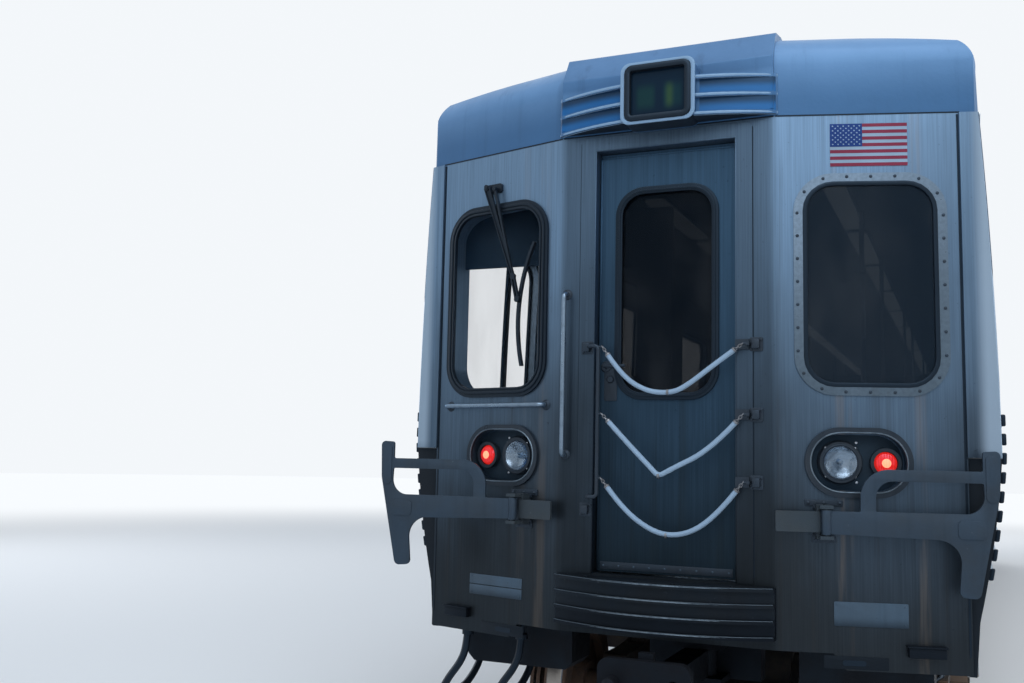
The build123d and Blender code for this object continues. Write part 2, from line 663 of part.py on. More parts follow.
with BuildPart() as cab_end_wall:
    with BuildSketch(Plane.XY.offset(FLOOR + FLAP_BOTTOM)):
        add(end_wall_outline())
    extrude(amount=WALL_TOP - FLAP_BOTTOM)
    with BuildSketch(Plane.XZ.offset(END_FACE + 10)):
        with Locations((0, FLOOR + END_DOOR_HEIGHT / 2)):
            Rectangle(2 * END_DOOR_HALF_WIDTH, END_DOOR_HEIGHT)
        with BuildLine():
            Polyline(
                (-FLAP_INNER - 60, FLOOR + FLAP_BOTTOM - 10),
                (-FLAP_INNER, FLOOR + END_WALL_BOTTOM),
                (FLAP_INNER, FLOOR + END_WALL_BOTTOM),
                (FLAP_INNER + 60, FLOOR + FLAP_BOTTOM - 10),
                close=True,
            )
        make_face()
    extrude(amount=-CORNER_SETBACK - END_WALL_THICKNESS - 20, mode=Mode.SUBTRACT)
    for side in (-1, 1):
        with BuildSketch(panel_plane(side)):
            with Locations((side * FRONT_WINDOW_ALONG, FRONT_WINDOW_CENTRE)):
                RectangleRounded(*FRONT_WINDOW, FRONT_WINDOW_RADIUS)
        extrude(amount=-2 * END_WALL_THICKNESS, mode=Mode.SUBTRACT)
        with BuildSketch(panel_plane(side)):
            with Locations((side * LAMP_ALONG, LAMP_HEIGHT)):
                SlotOverall(*LAMP_OVAL)
        extrude(amount=-LAMP_RECESS_DEPTH, mode=Mode.SUBTRACT)
    add(portal(-END_FACE))
keep("cab_end_wall", cab_end_wall.part)

with BuildPart() as corner_covers:
    with BuildSketch(Plane.XY.offset(FLOOR + COVER_BOTTOM)) as cover_plan:
        cover_front = -END_FACE + RAKE_SETBACK + (COVER_HALF_WIDTH - RAKE_HALF_WIDTH) * RAKE_SIN / RAKE_COS
        for side in (-1, 1):
            with BuildLine():
                Polyline(
                    (side * RAKE_HALF_WIDTH, -END_FACE + RAKE_SETBACK),
                    (side * COVER_HALF_WIDTH, cover_front),
                    (side * COVER_HALF_WIDTH, CAB_WALL_END),
                    (side * RAKE_HALF_WIDTH, CAB_WALL_END),
                    close=True,
                )
            make_face()
        outer = [v for v in cover_plan.vertices() if abs(v.X) > COVER_HALF_WIDTH - 1]
        fillet([v for v in outer if v.Y < CAB_WALL_END - 1], 12)
    extrude(amount=WALL_TOP - COVER_BOTTOM)
keep("corner_covers", corner_covers.part)


# The rubber gasket of the driver's window and the bolted frame of the other one
def panel_ring(side, outer_lap, proud):
    """Ring round a front window, standing on the panel's face."""
    with BuildPart() as ring:
        with BuildSketch(panel_plane(side)):
            with Locations((side * FRONT_WINDOW_ALONG, FRONT_WINDOW_CENTRE)):
                RectangleRounded(
                    FRONT_WINDOW[0] + 2 * outer_lap,
                    FRONT_WINDOW[1] + 2 * outer_lap,
                    FRONT_WINDOW_RADIUS + outer_lap,
                )
                RectangleRounded(
                    FRONT_WINDOW[0] - 2 * GASKET_INNER_LAP,
                    FRONT_WINDOW[1] - 2 * GASKET_INNER_LAP,
                    FRONT_WINDOW_RADIUS - GASKET_INNER_LAP,
                    mode=Mode.SUBTRACT,
                )
        extrude(amount=proud)
    return ring.part


with BuildPart() as windscreen_gasket:
    add(panel_ring(-1, GASKET_LAP, GASKET_PROUD))
keep("windscreen_gasket", windscreen_gasket.part)

with BuildPart() as bolted_window_frame:
    add(panel_ring(1, GASKET_LAP, BOLTED_FRAME_PROUD))
keep("bolted_window_frame", bolted_window_frame.part)

# Lamps: an oval bezel and rims in each panel, with a headlamp and a tail lamp
with BuildPart() as lamp_bezels:
    for side in (-1, 1):
        with BuildSketch(panel_plane(side)):
            with Locations((side * LAMP_ALONG, LAMP_HEIGHT)):
                SlotOverall(LAMP_OVAL[0] + 2 * LAMP_BEZEL_WIDTH, LAMP_OVAL[1] + 2 * LAMP_BEZEL_WIDTH)
                SlotOverall(*LAMP_OVAL, mode=Mode.SUBTRACT)
        extrude(amount=LAMP_BEZEL_PROUD)
        for along, radius in ((HEADLAMP_ALONG, HEADLAMP_RADIUS), (TAIL_LAMP_ALONG, TAIL_LAMP_RADIUS)):
            with BuildSketch(panel_plane(side, -LAMP_RECESS_DEPTH)):
                with Locations((side * along, LAMP_HEIGHT)):
                    Circle(radius + LAMP_RIM)
                    Circle(radius, mode=Mode.SUBTRACT)
            extrude(amount=LAMP_RIM_HEIGHT)
keep("lamp_bezels", lamp_bezels.part)

for name, along, radius in (
    ("headlamps", HEADLAMP_ALONG, HEADLAMP_RADIUS),
    ("tail_lamps", TAIL_LAMP_ALONG, TAIL_LAMP_RADIUS),
):
    with BuildPart() as lamps:
        for side in (-1, 1):
            with BuildSketch(panel_plane(side, -LAMP_RECESS_DEPTH)):
                with Locations((side * along, LAMP_HEIGHT)):
                    Circle(radius)
            extrude(amount=LENS_HEIGHT)
    keep(name, lamps.part)

# Cab end cap: moulded roof end with its brow, centre block and ribbed sign hood
CAP_TOP_CUT = FAIRING_TOP + 140.0


def hood_plan(proud):
    """Bowed plan of the sign hood."""
    with BuildSketch(Plane.XY) as outline:
        reach = HOOD_BOW + proud
        with BuildLine():
            ThreePointArc(
                (-HOOD_HALF_WIDTH, -END_FACE - 10),
                (0, -END_FACE - reach),
                (HOOD_HALF_WIDTH, -END_FACE - 10),
            )
            Polyline(
                (HOOD_HALF_WIDTH, -END_FACE - 10),
                (HOOD_HALF_WIDTH, -END_FACE + 60),
                (-HOOD_HALF_WIDTH, -END_FACE + 60),
                (-HOOD_HALF_WIDTH, -END_FACE - 10),
            )
        make_face()
        fillet(outline.vertices().group_by(Axis.Y)[0], HOOD_END_RADIUS)
    return outline.sketch_local


with BuildPart() as sign_block:
    with BuildSketch(Plane.YZ.offset(-BLOCK_HALF_WIDTH)):
        with BuildLine():
            FilletPolyline(
                (-END_FACE - BLOCK_FORWARD, FLOOR + WALL_TOP + BLOCK_LOW_RISE),
                (-END_FACE - BLOCK_FORWARD, FLOOR + CAP_FRONT_TOP + BLOCK_FACE_RISE),
                (-END_FACE + BLOCK_EDGE[0], FLOOR + BLOCK_TOP - BLOCK_EDGE[1]),
                (-END_FACE + BLOCK_SETBACK, FLOOR + BLOCK_TOP),
                (CAP_REAR, FLOOR + BLOCK_TOP),
                (CAP_REAR, FLOOR + WALL_TOP + BLOCK_LOW_RISE),
                radius=[0, BLOCK_CORNER_RADIUS, BLOCK_CORNER_RADIUS, 0, 0, 0],
                close=True,
            )
        make_face()
    extrude(amount=2 * BLOCK_HALF_WIDTH)

with BuildPart() as cab_end_cap:
    with BuildSketch(cross_section(CAP_REAR)):
        add(roof_outline())
    extrude(amount=CAP_LENGTH)
    with BuildSketch(Plane.XY.offset(FLOOR + WALL_TOP)) as cap_plan:
        with BuildLine():
            side_y = -END_FACE + RAKE_SETBACK + (CANT_HALF_WIDTH - RAKE_HALF_WIDTH) * RAKE_SIN / RAKE_COS
            Polyline(
                (-PILLAR_HALF_WIDTH, -END_FACE),
                (PILLAR_HALF_WIDTH, -END_FACE),
                (CANT_HALF_WIDTH, side_y),
                (CANT_HALF_WIDTH, CAP_REAR),
                (-CANT_HALF_WIDTH, CAP_REAR),
                (-CANT_HALF_WIDTH, side_y),
                close=True,
            )
        make_face()
        wide = [v for v in cap_plan.vertices() if abs(v.X) > CANT_HALF_WIDTH - 1]
        chamfer([v for v in wide if v.Y < CAP_REAR - 1], CAP_CORNER_CHAMFER)
    extrude(amount=CAP_TOP_CUT - WALL_TOP, mode=Mode.INTERSECT)
    # The brow rounds back from the face to the roof, along each panel and across the middle
    for side in (-1, 0, 1):
        if side:
            direction = Vector(side * RAKE_COS, RAKE_SIN, 0)
            inward = Vector(-side * RAKE_SIN, RAKE_COS, 0)
            start = Vector(side * PILLAR_HALF_WIDTH, -END_FACE, FLOOR) - direction * 60
            run = RAKE_RUN + 260
        else:
            direction = Vector(1, 0, 0)
            inward = Vector(0, 1, 0)
            start = Vector(-PILLAR_HALF_WIDTH - 40, -END_FACE, FLOOR)
            run = 2 * PILLAR_HALF_WIDTH + 80
        normal = inward.cross(Vector(0, 0, 1))
        with BuildSketch(Plane(origin=start, x_dir=inward, z_dir=normal)):
            with BuildLine():
                ThreePointArc(
                    (0, CAP_FRONT_TOP),
                    (
                        CAP_BROW_DEPTH * CAP_BROW_SHAPE[0],
                        CAP_FRONT_TOP + (CAP_BROW_TOP - CAP_FRONT_TOP) * CAP_BROW_SHAPE[1],
                    ),
                    (CAP_BROW_DEPTH, CAP_BROW_TOP),
                )
                Polyline(
                    (CAP_BROW_DEPTH, CAP_BROW_TOP),
                    (CAP_BROW_DEPTH, CAP_TOP_CUT),
                    (-80, CAP_TOP_CUT),
                    (-80, CAP_FRONT_TOP),
                    (0, CAP_FRONT_TOP),
                )
            make_face()
        extrude(amount=run if normal.dot(direction) > 0 else -run, mode=Mode.SUBTRACT)
    # Centre block over the sign
    add(sign_block.part)
    # Hood: a bowed core and three bowed ribs
    with BuildSketch(Plane.XY.offset(FLOOR + HOOD_BOTTOM)):
        add(hood_plan(0))
    extrude(amount=HOOD_TOP - HOOD_BOTTOM)
    rib_step = (HOOD_TOP - HOOD_BOTTOM - HOOD_RIB_THICKNESS) / (HOOD_RIB_COUNT - 1)
    for number in range(HOOD_RIB_COUNT):
        with BuildSketch(Plane.XY.offset(FLOOR + HOOD_BOTTOM + number * rib_step)):
            add(hood_plan(HOOD_RIB_PROUD))
        extrude(amount=HOOD_RIB_THICKNESS)
    # Frame of the sign and its recess
    sign_middle = FLOOR + HOOD_BOTTOM + SIGN_HEIGHT / 2 + 6
    with BuildSketch(Plane.XZ.offset(END_FACE)):
        with Locations((0, sign_middle)):
            RectangleRounded(SIGN_WIDTH + 2 * SIGN_FRAME, SIGN_HEIGHT + 2 * SIGN_FRAME - 12, SIGN_RADIUS + 12)
    extrude(amount=HOOD_BOW + HOOD_RIB_PROUD)
    with BuildSketch(Plane.XZ.offset(END_FACE + HOOD_BOW + HOOD_RIB_PROUD)):
        with Locations((0, sign_middle)):
            RectangleRounded(SIGN_WIDTH, SIGN_HEIGHT, SIGN_RADIUS)
    extrude(amount=-SIGN_DEPTH, mode=Mode.SUBTRACT)
keep("cab_end_cap", cab_end_cap.part)

with BuildPart() as destination_sign:
    with BuildSketch(Plane.XZ.offset(END_FACE + HOOD_BOW + HOOD_RIB_PROUD - SIGN_DEPTH)):
        with Locations((0, sign_middle)):
            RectangleRounded(SIGN_WIDTH, SIGN_HEIGHT, SIGN_RADIUS)
    extrude(amount=SIGN_DEPTH / 2)
keep("destination_sign", destination_sign.part)


# Anticlimbers under both end doors
def anticlimber_plan(proud):
    """Bowed plan of an anticlimber at the cab end."""
    with BuildSketch(Plane.XY) as outline:
        side_y = -END_FACE - ANTICLIMBER_SIDE_DEPTH - proud
        with BuildLine():
            ThreePointArc(
                (-ANTICLIMBER_HALF_WIDTH, side_y),
                (0, -END_FACE - ANTICLIMBER_BOW - proud),
                (ANTICLIMBER_HALF_WIDTH, side_y),
            )
            Polyline(
                (ANTICLIMBER_HALF_WIDTH, side_y),
                (ANTICLIMBER_HALF_WIDTH, -END_FACE),
                (-ANTICLIMBER_HALF_WIDTH, -END_FACE),
                (-ANTICLIMBER_HALF_WIDTH, side_y),
            )
        make_face()
        fillet(outline.vertices().group_by(Axis.Y)[0], ANTICLIMBER_END_RADIUS)
    return outline.sketch_local


with BuildPart() as anticlimber:
    base = FLOOR + ANTICLIMBER_TOP - ANTICLIMBER_HEIGHT
    with BuildSketch(Plane.XY.offset(base)):
        add(anticlimber_plan(0))
    extrude(amount=ANTICLIMBER_HEIGHT)
    step = (ANTICLIMBER_HEIGHT - ANTICLIMBER_RIB_THICKNESS) / (ANTICLIMBER_RIB_COUNT - 1)
    for number in range(ANTICLIMBER_RIB_COUNT):
        with BuildSketch(Plane.XY.offset(base + number * step)):
            add(anticlimber_plan(ANTICLIMBER_RIB_PROUD))
        extrude(amount=ANTICLIMBER_RIB_THICKNESS)
rear_anticlimber = mirror(anticlimber.part, about=Plane.XZ).moved(Location((0, -REAR_WALL_SETBACK, 0)))
with BuildPart() as anticlimbers:
    add(anticlimber.part)
    add(rear_anticlimber)
keep("anticlimbers", anticlimbers.part)

# Rear end wall, flat, with rounded corners
with BuildPart() as rear_end_wall:
    with BuildSketch(Plane.XY.offset(FLOOR + FLAP_BOTTOM)) as rear_plan:
        with Locations((0, REAR_WALL_FACE - REAR_WALL_THICKNESS / 2)):
            Rectangle(2 * SKIRT_HALF_WIDTH, REAR_WALL_THICKNESS)
        fillet(rear_plan.vertices().group_by(Axis.Y)[-1], REAR_CORNER_RADIUS)
    extrude(amount=WALL_TOP - FLAP_BOTTOM)
    with BuildSketch(Plane.XZ.offset(-REAR_WALL_END + 10)):
        with Locations((0, FLOOR + END_DOOR_HEIGHT / 2)):
            Rectangle(2 * END_DOOR_HALF_WIDTH, END_DOOR_HEIGHT)
    extrude(amount=-REAR_WALL_THICKNESS - 30, mode=Mode.SUBTRACT)
    with BuildSketch(Plane.XZ.offset(-REAR_WALL_END + 10)):
        for side in (-1, 1):
            with Locations((side * REAR_WINDOW_X, FLOOR + FRONT_WINDOW_CENTRE)):
                RectangleRounded(REAR_WINDOW_WIDTH, FRONT_WINDOW[1], REAR_WINDOW_RADIUS)
    extrude(amount=-REAR_WALL_THICKNESS - 30, mode=Mode.SUBTRACT)
    add(mirror(portal(-REAR_WALL_FACE), about=Plane.XZ))
keep("rear_end_wall", rear_end_wall.part)

# Fixed panes beside both end doors
with BuildPart() as end_windows:
    for side in (-1, 1):
        with BuildSketch(panel_plane(side)):
            with Locations((side * FRONT_WINDOW_ALONG, FRONT_WINDOW_CENTRE)):
                RectangleRounded(*FRONT_WINDOW, FRONT_WINDOW_RADIUS)
        extrude(amount=-FRONT_GLASS_THICKNESS)
    with BuildSketch(cross_section(REAR_WALL_FACE - REAR_GLASS_INSET)):
        for side in (-1, 1):
            with Locations((side * REAR_WINDOW_X, FLOOR + FRONT_WINDOW_CENTRE)):
                RectangleRounded(REAR_WINDOW_WIDTH, FRONT_WINDOW[1], REAR_WINDOW_RADIUS)
    extrude(amount=FRONT_GLASS_THICKNESS)
keep("end_windows", end_windows.part)


# End doors, hinged on the right-hand jamb and opening inwards
def end_door(face_y, way):
    """Door leaf with its window; way is 1 where the car lies behind the face in +Y."""
    low = FLOOR + END_DOOR_GAP
    high = FLOOR + END_DOOR_HEIGHT - END_DOOR_GAP
    middle_y = face_y + way * (END_DOOR_RECESS + END_DOOR_THICKNESS / 2)
    with BuildPart() as door:
        with Locations((0, middle_y, (low + high) / 2)):
            Box(2 * (END_DOOR_HALF_WIDTH - END_DOOR_GAP), END_DOOR_THICKNESS, high - low)
        with BuildSketch(cross_section(middle_y + END_DOOR_THICKNESS)):
            with Locations((0, FLOOR + END_DOOR_WINDOW_LOW + END_DOOR_WINDOW[1] / 2)):
                RectangleRounded(*END_DOOR_WINDOW, END_DOOR_WINDOW_RADIUS)
        extrude(amount=2 * END_DOOR_THICKNESS, mode=Mode.SUBTRACT)
        with BuildSketch(cross_section(middle_y + PANE_THICKNESS / 2)):
            with Locations((0, FLOOR + END_DOOR_WINDOW_LOW + END_DOOR_WINDOW[1] / 2)):
                RectangleRounded(
                    END_DOOR_WINDOW[0] - 2 * PANE_GAP,
                    END_DOOR_WINDOW[1] - 2 * PANE_GAP,
                    END_DOOR_WINDOW_RADIUS - PANE_GAP,
                )
        extrude(amount=PANE_THICKNESS)
    return door.part


for end_name, face_y, way in (("cab", -END_FACE, 1), ("rear", REAR_WALL_FACE, -1)):
    keep(f"{end_name}_end_door", end_door(face_y, way))

# Rails, brackets and chains at the cab end door
RAIL_RADIUS = 11.0
RAIL_BEND = 22.0
HANDRAIL_OUT = 45.0
UPRIGHT_X = 468.0
UPRIGHT_LOW = 532.0
UPRIGHT_HIGH = 1286.0
CROSSBAR_HEIGHT = 766.0
CROSSBAR_SPAN = (75.0, 690.0)
CHAIN_ROD_X = -295.0
CHAIN_ROD_OUT = 45.0
CHAIN_ROD_STAY = 50.0
CHAIN_PLATE = (60.0, 10.0, 46.0)
CHAIN_ARM = 14.0
CHAIN_ROD_RADIUS = 9.0
CHAIN_ROD_LOW = 345.0
CHAIN_ROD_HIGH = 1035.0
CHAIN_BRACKET_X = 388.0
CHAIN_BRACKET_HEIGHTS = (1030.0, 722.0, 430.0)
CHAIN_BOTTOMS = ((28.0, 836.0), (0.0, 470.0), (18.0, 214.0))
CHAIN_RADIUS = 10.0
CHAIN_OUT = 45.0
CHAIN_EYE = 20.0
CHAIN_EYE_RADIUS = 6.0
CHAIN_STUB = 16.0
CHAIN_END_BEND = 14.0
CHAIN_BELLY_BEND = 90.0

# Feet of the upright rails: across the car, end face, way the rail stands out of it
UPRIGHT_PLACES = (
    (-UPRIGHT_X, -END_FACE, -1),
    (-UPRIGHT_X, REAR_WALL_FACE, 1),
    (UPRIGHT_X, REAR_WALL_FACE, 1),
)
with BuildPart() as grab_rails:
    for x, face_y, way in UPRIGHT_PLACES:
        rail_y = face_y + way * HANDRAIL_OUT
        with BuildLine() as upright:
            FilletPolyline(
                (x, face_y, FLOOR + UPRIGHT_HIGH),
                (x, rail_y, FLOOR + UPRIGHT_HIGH),
                (x, rail_y, FLOOR + UPRIGHT_LOW),
                (x, face_y, FLOOR + UPRIGHT_LOW),
                radius=RAIL_BEND,
            )
        with BuildSketch(Plane(origin=upright.line @ 0, z_dir=upright.line % 0)):
            Circle(RAIL_RADIUS)
        sweep(path=upright.line)
    near, far = CROSSBAR_SPAN
    with BuildLine(panel_plane(-1)) as crossbar:
        FilletPolyline(
            (-far, CROSSBAR_HEIGHT, 0),
            (-far, CROSSBAR_HEIGHT, HANDRAIL_OUT),
            (-near, CROSSBAR_HEIGHT, HANDRAIL_OUT),
            (-near, CROSSBAR_HEIGHT, 0),
            radius=RAIL_BEND,
        )
    with BuildSketch(Plane(origin=crossbar.line @ 0, z_dir=crossbar.line % 0)):
        Circle(RAIL_RADIUS)
    sweep(path=crossbar.line)
keep("grab_rails", grab_rails.part)

with BuildPart() as chain_brackets:
    rod_y = -END_FACE - CHAIN_ROD_OUT
    portal_y = -END_FACE - PORTAL_PROUD
    with BuildLine() as rod:
        FilletPolyline(
            (CHAIN_ROD_X - CHAIN_ROD_STAY, portal_y, FLOOR + CHAIN_ROD_HIGH),
            (CHAIN_ROD_X - CHAIN_ROD_STAY, rod_y, FLOOR + CHAIN_ROD_HIGH),
            (CHAIN_ROD_X, rod_y, FLOOR + CHAIN_ROD_HIGH),
            (CHAIN_ROD_X, rod_y, FLOOR + CHAIN_ROD_LOW),
            (CHAIN_ROD_X - CHAIN_ROD_STAY, rod_y, FLOOR + CHAIN_ROD_LOW),
            (CHAIN_ROD_X - CHAIN_ROD_STAY, portal_y, FLOOR + CHAIN_ROD_LOW),
            radius=18,
        )
    with BuildSketch(Plane(origin=rod.line @ 0, z_dir=rod.line % 0)):
        Circle(CHAIN_ROD_RADIUS)
    sweep(path=rod.line)
    for height in CHAIN_BRACKET_HEIGHTS:
        with Locations((CHAIN_BRACKET_X - CHAIN_PLATE[0] / 2, portal_y - CHAIN_PLATE[1] / 2, FLOOR + height)):
            Box(*CHAIN_PLATE)
        with Locations((CHAIN_BRACKET_X, portal_y, FLOOR + height)):
            Box(CHAIN_ARM, CHAIN_OUT, CHAIN_ARM, align=(Align.CENTER, Align.MAX, Align.CENTER))
        eye_plane = Plane(origin=(0, -END_FACE - CHAIN_OUT, FLOOR + height), z_dir=(1, 0, 0))
        for start_x in (CHAIN_ROD_X, CHAIN_BRACKET_X - CHAIN_EYE):
            with BuildSketch(eye_plane.offset(start_x)):
                Circle(CHAIN_EYE_RADIUS)
            extrude(amount=CHAIN_EYE)
keep("chain_brackets", chain_brackets.part)

chain_y = -END_FACE - CHAIN_OUT
with BuildPart() as door_chains:
    for height, (low_x, low_z) in zip(CHAIN_BRACKET_HEIGHTS, CHAIN_BOTTOMS):
        left_x = CHAIN_ROD_X + CHAIN_EYE
        right_x = CHAIN_BRACKET_X - CHAIN_EYE
        with BuildLine() as chain:
            FilletPolyline(
                (left_x, chain_y, FLOOR + height),
                (left_x + CHAIN_STUB, chain_y, FLOOR + height),
                (low_x, chain_y, FLOOR + low_z),
                (right_x - CHAIN_STUB, chain_y, FLOOR + height),
                (right_x, chain_y, FLOOR + height),
                radius=[CHAIN_END_BEND, CHAIN_BELLY_BEND, CHAIN_END_BEND],
            )
        with BuildSketch(Plane(origin=chain.line @ 0, z_dir=chain.line % 0)):
            Circle(CHAIN_RADIUS)
        sweep(path=chain.line)
keep("door_chains", door_chains.part)


# Gates: flat cut plates on vertical pins, on brackets out of the raked panels
# Plates laid on a gate: middle along the panel, middle height, width, height
GATE_DOUBLERS = ((843.0, 470.0, 46.0, 190.0), (762.0, 262.0, 110.0, 74.0))
GATE_DOUBLER_RADIUS = 20.0
GATE_DOUBLER_THICKNESS = 5.0
# Corners of a gate: distance along the panel, height over the floor, radius
GATE_OUTLINE = (
    (GATE_HINGE_ALONG, 230.0, 0.0),
    (727.0, 216.0, 92.0),
    (708.0, -8.0, 24.0),
    (788.0, -14.0, 26.0),
    (874.0, 408.0, 150.0),
    (880.0, 584.0, 22.0),
    (810.0, 580.0, 12.0),
    (810.0, 499.0, 8.0),
    (327.0, 499.0, 118.0),
    (325.0, 323.0, 6.0),
    (GATE_HINGE_ALONG, 323.0, 0.0),
)
GATE_OPENING = (
    (386.0, 325.0, 6.0),
    (388.0, 451.0, 68.0),
    (812.0, 451.0, 8.0),
    (817.0, 325.0, 74.0),
)


def gate_plate():
    """Outline of a folded gate at the right-hand side, from its pin outwards."""
    with BuildSketch(Plane.XY) as outline:
        for corners, mode in ((GATE_OUTLINE, Mode.ADD), (GATE_OPENING, Mode.SUBTRACT)):
            with BuildLine():
                FilletPolyline(
                    [(along, height) for along, height, _ in corners],
                    radius=[radius for _, _, radius in corners],
                    close=True,
                )
            make_face(mode=mode)
    return outline.sketch_local


with BuildPart() as gate_arm_right:
    with BuildSketch(panel_plane(1, GATE_STANDOFF)):
        add(gate_plate())
    extrude(amount=GATE_PLATE)
    knuckle = Plane(
        origin=panel_plane(1, GATE_STANDOFF + GATE_PLATE / 2).from_local_coords(
            (GATE_HINGE_ALONG, GATE_HINGE_HEIGHT - GATE_KNUCKLE_HEIGHT / 2, 0)
        )
    )
    # Doubling plates where the bar meets the blade and along the blade
    for along, height, width, tall in GATE_DOUBLERS:
        with BuildSketch(panel_plane(1, GATE_STANDOFF + GATE_PLATE)):
            with Locations((along, height)):
                RectangleRounded(width, tall, GATE_DOUBLER_RADIUS)
        extrude(amount=GATE_DOUBLER_THICKNESS)
    with BuildSketch(knuckle):
        Circle(GATE_KNUCKLE_RADIUS)
    extrude(amount=GATE_KNUCKLE_HEIGHT)
    with BuildSketch(knuckle):
        Circle(GATE_PIN_RADIUS + GATE_PIN_CLEARANCE)
    extrude(amount=GATE_KNUCKLE_HEIGHT, mode=Mode.SUBTRACT)
keep("gate_arm_right", gate_arm_right.part)

GATE_PIN_PLACE = knuckle.origin
left_gate_rest = mirrored(gate_arm_right.part).rotate(
    Axis((-GATE_PIN_PLACE.X, GATE_PIN_PLACE.Y, 0), (0, 0, 1)), GATE_LEFT_SWING
)
keep("gate_arm_left", left_gate_rest)

GATE_BRACKET_GAP = 6.0
GATE_LUG = (54.0, 14.0)
GATE_LUG_LAP = 18.0
GATE_BAR_HEIGHT = 86.0
GATE_BAR_INSET = 30.0
GATE_POST = (14.0, 140.0)
with BuildPart() as gate_bracket:
    lug_width, lug_height = GATE_LUG
    half = GATE_KNUCKLE_HEIGHT / 2 + GATE_BRACKET_GAP
    for middle in (-half - lug_height / 2, half + lug_height / 2):
        with BuildSketch(panel_plane(1)):
            with Locations((GATE_HINGE_ALONG, GATE_HINGE_HEIGHT + middle)):
                Rectangle(lug_width, lug_height)
        extrude(amount=GATE_STANDOFF + GATE_PLATE / 2 + GATE_LUG_LAP)
    with BuildSketch(Plane(origin=knuckle.origin - Vector(0, 0, GATE_BRACKET_GAP + lug_height))):
        Circle(GATE_PIN_RADIUS)
    extrude(amount=2 * (half + lug_height))
    # Fixed bar between the bracket and the door pillar
    post_width, post_height = GATE_POST
    with BuildSketch(panel_plane(1)):
        with Locations((GATE_HINGE_ALONG - (lug_width - 2) / 2, GATE_HINGE_HEIGHT)):
            Rectangle(post_width, post_height)
    extrude(amount=GATE_STANDOFF - GATE_BAR_INSET)
    bar_length = GATE_HINGE_ALONG - 4
    with BuildSketch(panel_plane(1, GATE_STANDOFF - GATE_BAR_INSET)):
        bar_middle = GATE_HINGE_ALONG - (lug_width - 2 + bar_length - post_width) / 2
        with Locations((bar_middle, GATE_HINGE_HEIGHT)):
            RectangleRounded(bar_length, GATE_BAR_HEIGHT, post_width / 2)
    extrude(amount=GATE_PLATE)
with BuildPart() as gate_brackets:
    add(gate_bracket.part)
    add(mirrored(gate_bracket.part))
keep("gate_brackets", gate_brackets.part)

# Wiper on the driver's window, by places along and up its panel
WIPER_BRACKET = (-428.0, 1865.0)
WIPER_BRACKET_SIZE = (108.0, 46.0)
WIPER_BRACKET_RADIUS = 14.0
WIPER_BRACKET_THICKNESS = 12.0
WIPER_SPINDLES = ((-455.0, 1873.0), (-401.0, 1857.0))
WIPER_SPINDLE_RADIUS = 11.0
WIPER_ARM_OUT = 24.0
WIPER_ARM_THICKNESS = 14.0
WIPER_NUT = 4.0
WIPER_GROOVE = 6.0
WIPER_GROOVE_LIP = 5.0
WIPER_ARM_END = (-272.0, 1398.0)
WIPER_KNEE = (-242.0, 1283.0)
WIPER_KNEE_RADIUS = 15.0
WIPER_BLADE = ((-154.0, 1560.0), (-240.0, 1290.0), (-221.0, 957.0))
WIPER_BLADE_WIDTH = 9.0
WIPER_CARRIER_WIDTH = 15.0
WIPER_CARRIER_OUT = 12.0
WIPER_CARRIER_THICKNESS = 9.0
# Bars of the wiper: start, end, width at the start, width at the end, gap across the pair
WIPER_BARS = (
    (WIPER_SPINDLES[0], WIPER_ARM_END, 36.0, 18.0, 0.0),
    (WIPER_SPINDLES[1], WIPER_ARM_END, 12.0, 10.0, 0.0),
    (WIPER_ARM_END, WIPER_KNEE, 7.0, 7.0, 16.0),
)


def taper(start, end, wide, narrow, shift=0.0):
    """Bar between two places of a panel, moved sideways by shift."""
    run = hypot(end[0] - start[0], end[1] - start[1])
    across = ((end[1] - start[1]) / run, (start[0] - end[0]) / run)
    corners = []
    for (x, y), reach in ((start, wide / 2), (start, -wide / 2), (end, -narrow / 2), (end, narrow / 2)):
        corners.append((x + across[0] * (reach + shift), y + across[1] * (reach + shift)))
    with BuildSketch(Plane.XY) as outline:
        with BuildLine():
            Polyline(*corners, close=True)
        make_face()
    return outline.sketch_local


